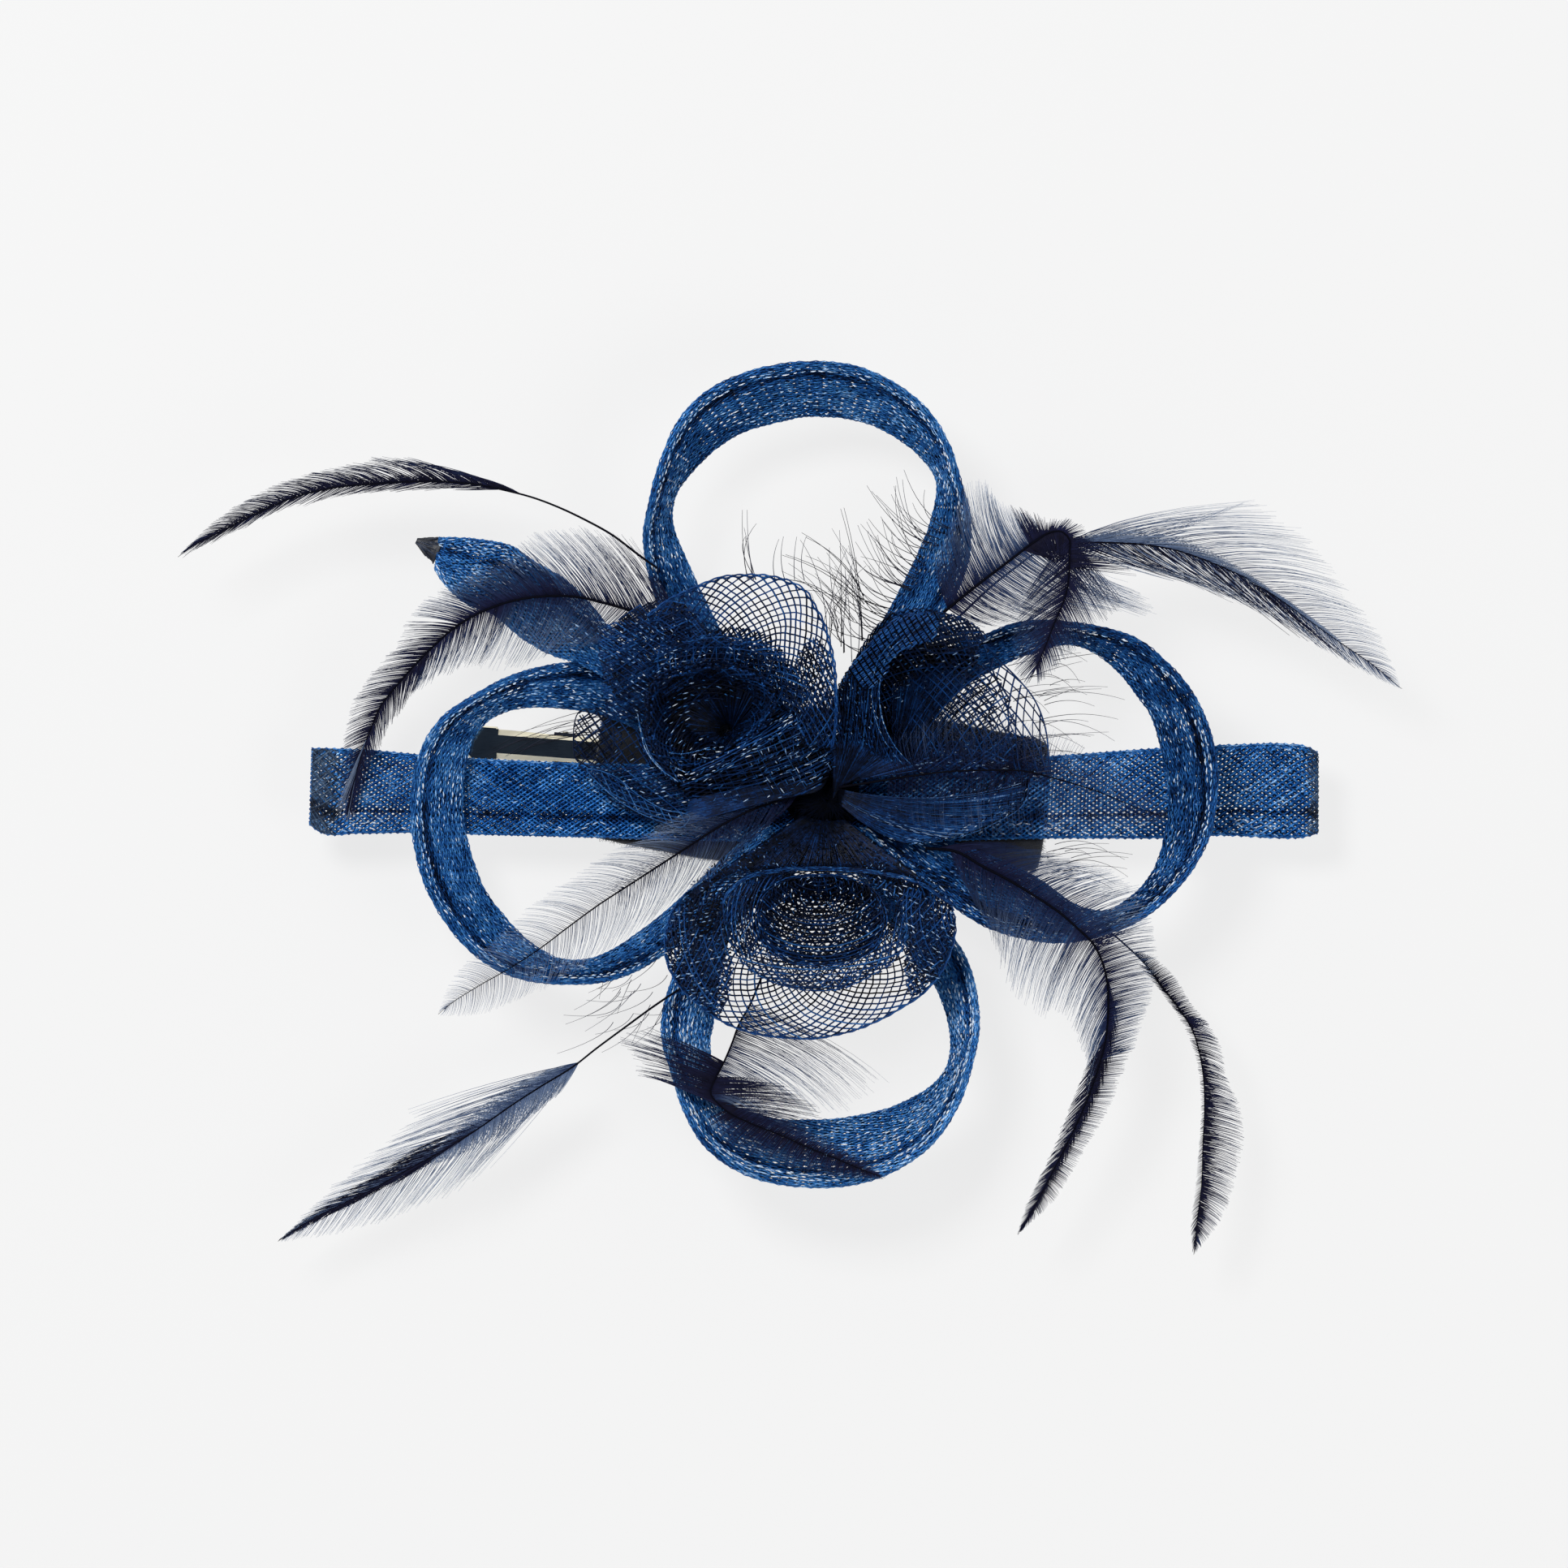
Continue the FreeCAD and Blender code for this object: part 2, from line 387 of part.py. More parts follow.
        (25.25, -3.14, 10.5, 26.07, -9.9, 8.8), (19.47, -3.63, 10, 20.13, -11.22, 8.6),
    ]),
    "bottom_rose_outer_petal": ("petal_thick", True, [
        (-28.21, -21.78, 18, -15.1, -25.49, 9.4), (-31.52, -28.05, 19, -16.75, -28.63, 9.4),
        (-31.68, -33.99, 20, -16.83, -31.6, 9.4), (-29.37, -39.11, 20.5, -15.68, -34.16, 9.4),
        (-25.08, -43.4, 21, -13.53, -36.3, 9.4), (-19.8, -47.03, 21, -10.89, -38.12, 9.4),
        (-14.69, -49.17, 21, -8.33, -39.19, 9.4), (-8.75, -50.16, 21, -5.36, -39.68, 9.4),
        (-1.49, -50.33, 21, -1.73, -39.77, 9.4), (4.79, -49.17, 21, 1.4, -39.19, 9.4),
        (11.22, -46.86, 21, 4.62, -38.03, 9.4), (16.5, -43.89, 21, 7.26, -36.55, 9.4),
        (21.12, -40.76, 21, 9.57, -34.98, 9.4), (24.92, -35.97, 20.5, 11.47, -32.59, 9.4),
        (26.89, -29.7, 20, 12.46, -29.45, 9.4), (26.73, -25.41, 19, 12.38, -27.31, 9.4),
        (24.92, -21.29, 18, 11.47, -25.25, 9.4), (21.12, -18.64, 17, 9.57, -23.93, 9.4),
        (14.36, -16.83, 16, 6.19, -23.02, 9.4), (6.93, -15.84, 16, 2.48, -22.52, 9.4),
        (-1.49, -15.51, 16, -1.73, -22.36, 9.4), (-8.75, -16.34, 16, -5.36, -22.77, 9.4),
        (-17.49, -17, 16, -9.74, -23.1, 9.4), (-23.76, -18.98, 17, -12.87, -24.09, 9.4),
    ]),
    "bottom_rose_middle_petal": ("petal_thick", False, [
        (-20.3, -21.78, 20, -9.39, -25.42, 10.6), (-19.8, -25.41, 21.5, -9.18, -26.94, 10.6),
        (-18.81, -30.69, 22, -8.76, -29.16, 10.6), (-15.18, -35.97, 22, -7.24, -31.38, 10.6),
        (-8.75, -39.44, 22, -4.53, -32.83, 10.6), (-2.48, -40.76, 22, -1.9, -33.39, 10.6),
        (3.8, -40.26, 22, 0.73, -33.18, 10.6), (10.07, -37.62, 22, 3.37, -32.07, 10.6),
        (15.35, -33.99, 22, 5.58, -30.54, 10.6), (17.49, -29.7, 21.5, 6.48, -28.74, 10.6),
        (17, -25.41, 21, 6.28, -26.94, 10.6), (15.84, -21.78, 20, 5.79, -25.42, 10.6),
    ]),
    "bottom_rose_inner_cup": ("petal_thick", True, [
        (-13.86, -25.41, 23, -4.93, -26.28, 12.2), (-13.04, -29.7, 23, -4.65, -27.74, 12.2),
        (-8.75, -33.99, 23, -3.19, -29.2, 12.2), (-1.49, -35.97, 23, -0.72, -29.87, 12.2),
        (6.44, -34.98, 23, 1.97, -29.54, 12.2), (12.21, -30.69, 23, 3.93, -28.08, 12.2),
        (13.2, -25.41, 22.5, 4.27, -26.28, 12.2), (11.22, -21.29, 21, 3.6, -24.88, 12.2),
        (6.44, -18.98, 20.5, 1.97, -24.09, 12.2), (-1.49, -18.15, 20.5, -0.72, -23.81, 12.2),
        (-8.75, -19.64, 20.5, -3.19, -24.32, 12.2), (-12.54, -22.28, 21.5, -4.48, -25.22, 12.2),
    ]),
    "feather_upper_left": ("feather_thick", False, [
        (-29.54, 42.57, 17.3, -30.36, 41.41, 17.3), (-36.96, 48.34, 18, -37.79, 47.19, 18),
        (-41.91, 52.06, 18.2, -42.57, 50.9, 18.2), (-47.52, 55.19, 18.3, -48.18, 54.04, 18.3),
        (-53.13, 57.92, 18.3, -53.62, 56.6, 18.3), (-58.08, 59.73, 18.2, -58.41, 58.41, 18.2),
        (-64.35, 62.21, 18, -64.02, 59.9, 18), (-72.11, 64.19, 17.6, -71.28, 61.22, 17.6),
        (-81.18, 66.33, 17, -81.51, 61.55, 17), (-88.77, 67.32, 16.5, -89.1, 61.22, 16.5),
        (-96.86, 65.34, 16, -96.36, 60.55, 16), (-104.61, 63.86, 15.3, -103.62, 59.23, 15.3),
        (-112.53, 60.55, 14.6, -110.55, 56.76, 14.6), (-120.78, 56.1, 14, -118.8, 52.97, 14),
        (-130.35, 47.85, 13.4, -129.36, 46.37, 13.4),
    ]),
    "feather_left": ("feather_thick", False, [
        (-24.75, 28.88, 12.6, -25.41, 27.55, 12.6), (-29.37, 32.67, 12.9, -30.03, 31.35, 12.9),
        (-34.82, 35.48, 13.1, -35.15, 33.83, 13.1), (-39.11, 39.27, 13.2, -39.6, 34.82, 13.2),
        (-45.21, 45.05, 13.2, -44.05, 34.32, 13.2), (-51.48, 46.7, 13.2, -48.51, 33.5, 13.2),
        (-56.76, 46.7, 13.1, -53.46, 32.67, 13.1), (-63.03, 46.7, 13, -58.08, 31.02, 13),
        (-69.63, 44.22, 12.7, -62.21, 28.55, 12.7), (-75.9, 40.92, 12.3, -67.16, 26.57, 12.3),
        (-81.18, 38.12, 11.8, -70.95, 25.58, 11.8), (-85.31, 33.5, 11, -75.24, 24.92, 11),
        (-87.78, 29.37, 10.2, -79.04, 22.77, 10.2), (-91.91, 23.6, 9, -83.66, 18.98, 9),
        (-94.38, 18.64, 8, -86.95, 15.35, 8), (-96.86, 9.57, 6.6, -90.75, 7.1, 6.6),
        (-97.68, 2.97, 6.1, -92.73, 1.82, 6.1), (-97.35, -6.11, 5.7, -95.87, -6.93, 5.7),
    ]),
    "feather_centre_left": ("feather_thick", False, [
        (-4.62, -1.32, 9.6, -4.12, -2.64, 9.6), (-10.4, -2.64, 10, -9.74, -4.29, 10),
        (-15.51, -1.98, 10.8, -13.53, -7.76, 10.8), (-22.61, -3.63, 11.8, -18.81, -12.71, 11.8),
        (-30.03, -8.09, 12.8, -24.26, -16.83, 12.8), (-36.63, -11.88, 13.8, -29.54, -21.78, 13.8),
        (-43.56, -14.69, 15, -34.98, -26.73, 15), (-50.16, -18.48, 16, -40.76, -30.86, 16),
        (-56.43, -22.94, 16.8, -46.53, -34.98, 16.8), (-62.7, -27.55, 17, -53.13, -39.11, 17),
        (-69.3, -32.51, 16.6, -60.06, -42.73, 16.6), (-74.25, -36.63, 15.2, -66.66, -45.38, 15.2),
        (-78.21, -44.05, 13, -76.89, -46.37, 13),
    ]),
    "feather_lower_left": ("feather_thick", False, [
        (-27.06, -38.45, 11.2, -26.4, -39.77, 11.2), (-32.51, -42.24, 12.4, -31.68, -43.56, 12.4),
        (-40.59, -47.85, 12.6, -39.93, -49.17, 12.6), (-46.37, -52.14, 12.2, -45.71, -53.46, 12.2),
        (-50.66, -54.95, 11.8, -49.83, -56.6, 11.8), (-57.42, -57.42, 11.2, -55.61, -63.03, 11.2),
        (-63.36, -59.07, 10.6, -60.55, -67.98, 10.6), (-71.28, -62.21, 10, -65.84, -73.76, 10),
        (-77.88, -64.19, 9.4, -70.95, -79.2, 9.4), (-83.66, -67.16, 8.8, -77.06, -83.33, 8.8),
        (-88.11, -71.78, 8.2, -83.66, -85.31, 8.2), (-93.23, -76.23, 7.6, -90.26, -88.11, 7.6),
        (-99, -80.69, 7.1, -96.03, -89.43, 7.1), (-103.95, -84.65, 6.7, -102.14, -90.59, 6.7),
        (-110.88, -91.25, 6.3, -110.22, -92.4, 6.3),
    ]),
    "feather_bottom": ("feather_thick", False, [
        (-15.02, -43.07, 10.6, -13.7, -43.4, 10.6), (-19.64, -47.36, 12, -13.53, -48.02, 12),
        (-23.76, -50.98, 13.6, -14.36, -52.3, 13.6), (-26.73, -54.78, 15.6, -15.18, -55.28, 15.6),
        (-27.55, -58.91, 17.8, -15.51, -58.08, 17.8), (-26.73, -64.68, 19.2, -15.18, -61.38, 19.2),
        (-20.96, -70.45, 19.5, -13.86, -63.53, 19.5), (-14.36, -73.76, 19.5, -10.23, -65.17, 19.5),
        (-6.93, -76.56, 19.5, -4.46, -67.16, 19.5), (-0.33, -78.21, 19.3, 1.32, -69.14, 19.3),
        (6.27, -78.7, 19, 7.1, -72.44, 19), (12.87, -79.04, 18.6, 12.54, -77.39, 18.6),
    ]),
    "feather_lower_right": ("feather_thick", False, [
        (21.12, -12.21, 10.6, 20.62, -13.37, 10.6), (28.55, -11.05, 11.8, 26.4, -14.69, 11.8),
        (34.65, -11.88, 13, 30.69, -19.3, 13), (41.25, -13.04, 14.4, 34.65, -24.26, 14.4),
        (49.17, -14.69, 15.8, 37.29, -29.21, 15.8), (58.41, -16.83, 17.2, 38.45, -35.8, 17.2),
        (64.02, -19.8, 17.8, 39.27, -41.09, 17.8), (66.83, -26.73, 17.8, 42.24, -43.73, 17.8),
        (67.98, -33.33, 17.4, 45.05, -46.7, 17.4), (67.65, -39.44, 17, 48.34, -47.69, 17),
        (64.35, -51.48, 15.4, 51.65, -52.3, 15.4), (61.38, -58.91, 14.2, 50.82, -59.73, 14.2),
        (57.75, -66.33, 13, 49.17, -65.84, 13), (53.62, -73.76, 11.8, 47.19, -71.78, 11.8),
        (48.84, -81.18, 10.6, 43.89, -79.53, 10.6), (40.43, -90.75, 9.4, 39.27, -90.09, 9.4),
    ]),
    "feather_right_tip": ("feather_thick", False, [
        (31.35, -15.84, 4.1, 30.86, -17, 4.1), (41.25, -19.47, 4.1, 40.76, -20.62, 4.1),
        (51.15, -24.26, 4.2, 50.49, -25.41, 4.2), (59.57, -28.88, 4.8, 58.74, -29.87, 4.8),
        (63.2, -31.52, 5.8, 62.21, -32.84, 5.8), (70.62, -35.8, 7, 65.34, -36.8, 7),
        (75.24, -42.73, 8.2, 68.97, -40.76, 8.2), (78.54, -48.18, 9, 72.11, -45.05, 9),
        (80.85, -52.3, 9.4, 74.91, -49.34, 9.4), (82.17, -58.08, 9.6, 76.4, -54.29, 9.6),
        (83.82, -61.38, 9.6, 77.22, -59.4, 9.6), (84.98, -65.17, 9.5, 77.39, -63.86, 9.5),
        (85.47, -72.93, 9.2, 77.06, -72.27, 9.2), (83.16, -83.33, 8.7, 76.73, -81.02, 8.7),
        (80.19, -88.94, 8.2, 75.9, -87.62, 8.2), (76.23, -94.55, 7.6, 75.24, -94.22, 7.6),
    ]),
    "feather_curled": ("feather_thick", False, [
        (24.26, 36.47, 19.2, 25.25, 35.31, 19.2), (27.72, 45.05, 19.8, 33, 39.27, 19.8),
        (31.85, 53.3, 20.4, 40.59, 41.41, 20.4), (37.29, 57.42, 21, 43.4, 43.07, 21),
        (43.4, 58.25, 21.6, 45.21, 44.05, 21.6), (50.49, 55.94, 22, 45.87, 44.05, 22),
        (54.45, 50.82, 22.2, 46.04, 43.4, 22.2), (54.95, 44.22, 22, 45.05, 40.92, 22),
        (52.97, 38.45, 21.6, 42.9, 38.12, 21.6), (49.17, 31.85, 21.2, 41.58, 33.99, 21.2),
        (47.03, 25.58, 20.8, 40.76, 28.55, 20.8), (42.9, 21.45, 20.4, 41.25, 21.95, 20.4),
    ]),
    "feather_upper_right": ("feather_thick", False, [
        (26.57, 34.82, 17.2, 27.39, 33.83, 17.2), (37.12, 44.39, 17.5, 38.12, 43.07, 17.5),
        (47.03, 50.33, 17.8, 47.85, 49.01, 17.8), (50.82, 52.47, 17.8, 51.65, 46.7, 17.8),
        (58.25, 53.62, 17.6, 58.74, 45.87, 17.6), (65.01, 55.44, 17.3, 64.84, 44.55, 17.3),
        (72.27, 57.42, 16.9, 70.62, 43.07, 16.9), (80.52, 57.92, 16.4, 76.89, 40.92, 16.4),
        (87.95, 55.77, 15.8, 83, 38.12, 15.8), (95.37, 52.47, 15.1, 89.59, 34.82, 15.1),
        (102.3, 45.05, 14.3, 96.2, 30.2, 14.3), (108.9, 36.8, 13.5, 103.62, 26.89, 13.5),
        (113.52, 30.2, 12.8, 110.22, 23.1, 12.8), (117.98, 20.96, 12.2, 117.32, 19.96, 12.2),
    ]),
    "feather_centre_right": ("feather_thick", False, [
        (6.27, 1.49, 12, 6.27, 0.17, 12), (11.22, 3.3, 13.6, 11.22, 0.33, 13.6),
        (17.82, 7.92, 15.2, 16.5, -1.98, 15.2), (26.07, 11.22, 16.6, 24.42, -4.46, 16.6),
        (35.15, 12.04, 16.8, 32.67, -6.11, 16.8), (42.57, 11.22, 16.5, 39.27, -6.44, 16.5),
        (49.5, 9.08, 15.2, 45.54, -6.93, 15.2), (57.42, 5.45, 13.2, 53.79, -7.43, 13.2),
        (65.34, 0.17, 11, 62.37, -7.76, 11), (71.12, -5.28, 9.4, 70.62, -6.44, 9.4),
    ]),
}



def strip_shape(stations, thick, closed):
    """Thin closed solid of constant thickness through the stations."""
    a = [V(*s[:3]) for s in stations]
    b = [V(*s[3:]) for s in stations]
    n = len(a)
    mid = [(p + q) * 0.5 for p, q in zip(a, b)]
    top_a, low_a, top_b, low_b = [], [], [], []
    for i in range(n):
        if closed:
            d = mid[(i + 1) % n] - mid[i - 1]
        else:
            d = mid[min(i + 1, n - 1)] - mid[max(i - 1, 0)]
        d.normalize()
        u = b[i] - a[i]
        u.normalize()
        nrm = u.cross(d)
        nrm.normalize()
        h = nrm * (thick / 2)
        top_a.append(a[i] + h)
        low_a.append(a[i] - h)
        top_b.append(b[i] + h)
        low_b.append(b[i] - h)
    faces = []

    def quad(p, q, r, s):
        """Two triangles; the shorter diagonal is the crease."""
        if (p - r).Length <= (q - s).Length:
            tris = ((p, q, r), (p, r, s))
        else:
            tris = ((q, r, s), (q, s, p))
        for t3 in tris:
            faces.append(Part.Face(Part.makePolygon(list(t3) + [t3[0]])))

    for i in range(n if closed else n - 1):
        j = (i + 1) % n
        quad(top_a[i], top_a[j], top_b[j], top_b[i])
        quad(low_b[i], low_b[j], low_a[j], low_a[i])
        quad(low_a[i], low_a[j], top_a[j], top_a[i])
        quad(top_b[i], top_b[j], low_b[j], low_b[i])
    if not closed:
        quad(top_a[0], top_b[0], low_b[0], low_a[0])
        quad(top_a[-1], low_a[-1], low_b[-1], top_b[-1])
    shell = Part.makeShell(faces)
    shell.sewShape()
    solid = Part.makeSolid(Part.Shell(shell.Faces)) if shell.ShapeType != "Shell" else Part.makeSolid(shell)
    if solid.Volume < 0:
        solid.reverse()
    return solid


for name, (alias, closed, stations) in STRIPS.items():
    f = doc.addObject("Part::Feature", "strip_" + name)
    f.Shape = strip_shape(stations, val(alias), closed)
    f.Placement = Placement(V(0, 0, 0), Rotation())
    node(f, name)

# ---------------------------------------------------------------- checks and export
doc.recompute()
for obj in doc.Objects:
    bad = [x for x in obj.State if x in ("Invalid", "Error")]
    if bad:
        raise RuntimeError("%s failed: %s" % (obj.Name, obj.State))
for name, obj in NODES:
    s = obj.Shape
    if s.isNull() or not s.isValid() or not s.Solids or s.Volume <= 0:
        raise RuntimeError("%s has no valid solid" % name)

os.makedirs("parts", exist_ok=True)
for old in os.listdir("parts"):
    if old.endswith(".step") and old[:-5] not in [n for n, _ in NODES]:
        os.remove(os.path.join("parts", old))
for name, obj in NODES:
    obj.Shape.exportStep("parts/%s.step" % name)
    b = obj.Shape.BoundBox
    print("%-28s solids %d volume %9.2f  box %.1f %.1f %.1f .. %.1f %.1f %.1f" % (
        name, len(obj.Shape.Solids), obj.Shape.Volume, b.XMin, b.YMin, b.ZMin, b.XMax, b.YMax, b.ZMax))
print(len(NODES), "nodes")
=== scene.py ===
# Fascinator headpiece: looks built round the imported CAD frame. Metres in the frame; tables in mm.
import bpy
import math
import numpy as np
from mathutils import Matrix, Vector


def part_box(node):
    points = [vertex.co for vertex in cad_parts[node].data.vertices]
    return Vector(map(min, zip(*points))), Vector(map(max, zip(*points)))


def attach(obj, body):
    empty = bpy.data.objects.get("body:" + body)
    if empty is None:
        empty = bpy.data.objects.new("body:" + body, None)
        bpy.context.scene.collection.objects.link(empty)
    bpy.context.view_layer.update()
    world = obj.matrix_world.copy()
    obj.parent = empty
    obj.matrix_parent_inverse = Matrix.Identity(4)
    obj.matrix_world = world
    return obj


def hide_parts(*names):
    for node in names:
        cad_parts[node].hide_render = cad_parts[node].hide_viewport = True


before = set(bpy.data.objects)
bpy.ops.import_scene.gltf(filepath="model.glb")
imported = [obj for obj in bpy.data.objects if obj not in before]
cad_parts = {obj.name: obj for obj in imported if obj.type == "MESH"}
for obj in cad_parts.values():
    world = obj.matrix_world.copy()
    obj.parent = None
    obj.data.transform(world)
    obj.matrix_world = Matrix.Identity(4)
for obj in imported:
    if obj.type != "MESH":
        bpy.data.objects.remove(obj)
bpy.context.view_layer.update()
SCENE = bpy.context.scene
MM = 0.001

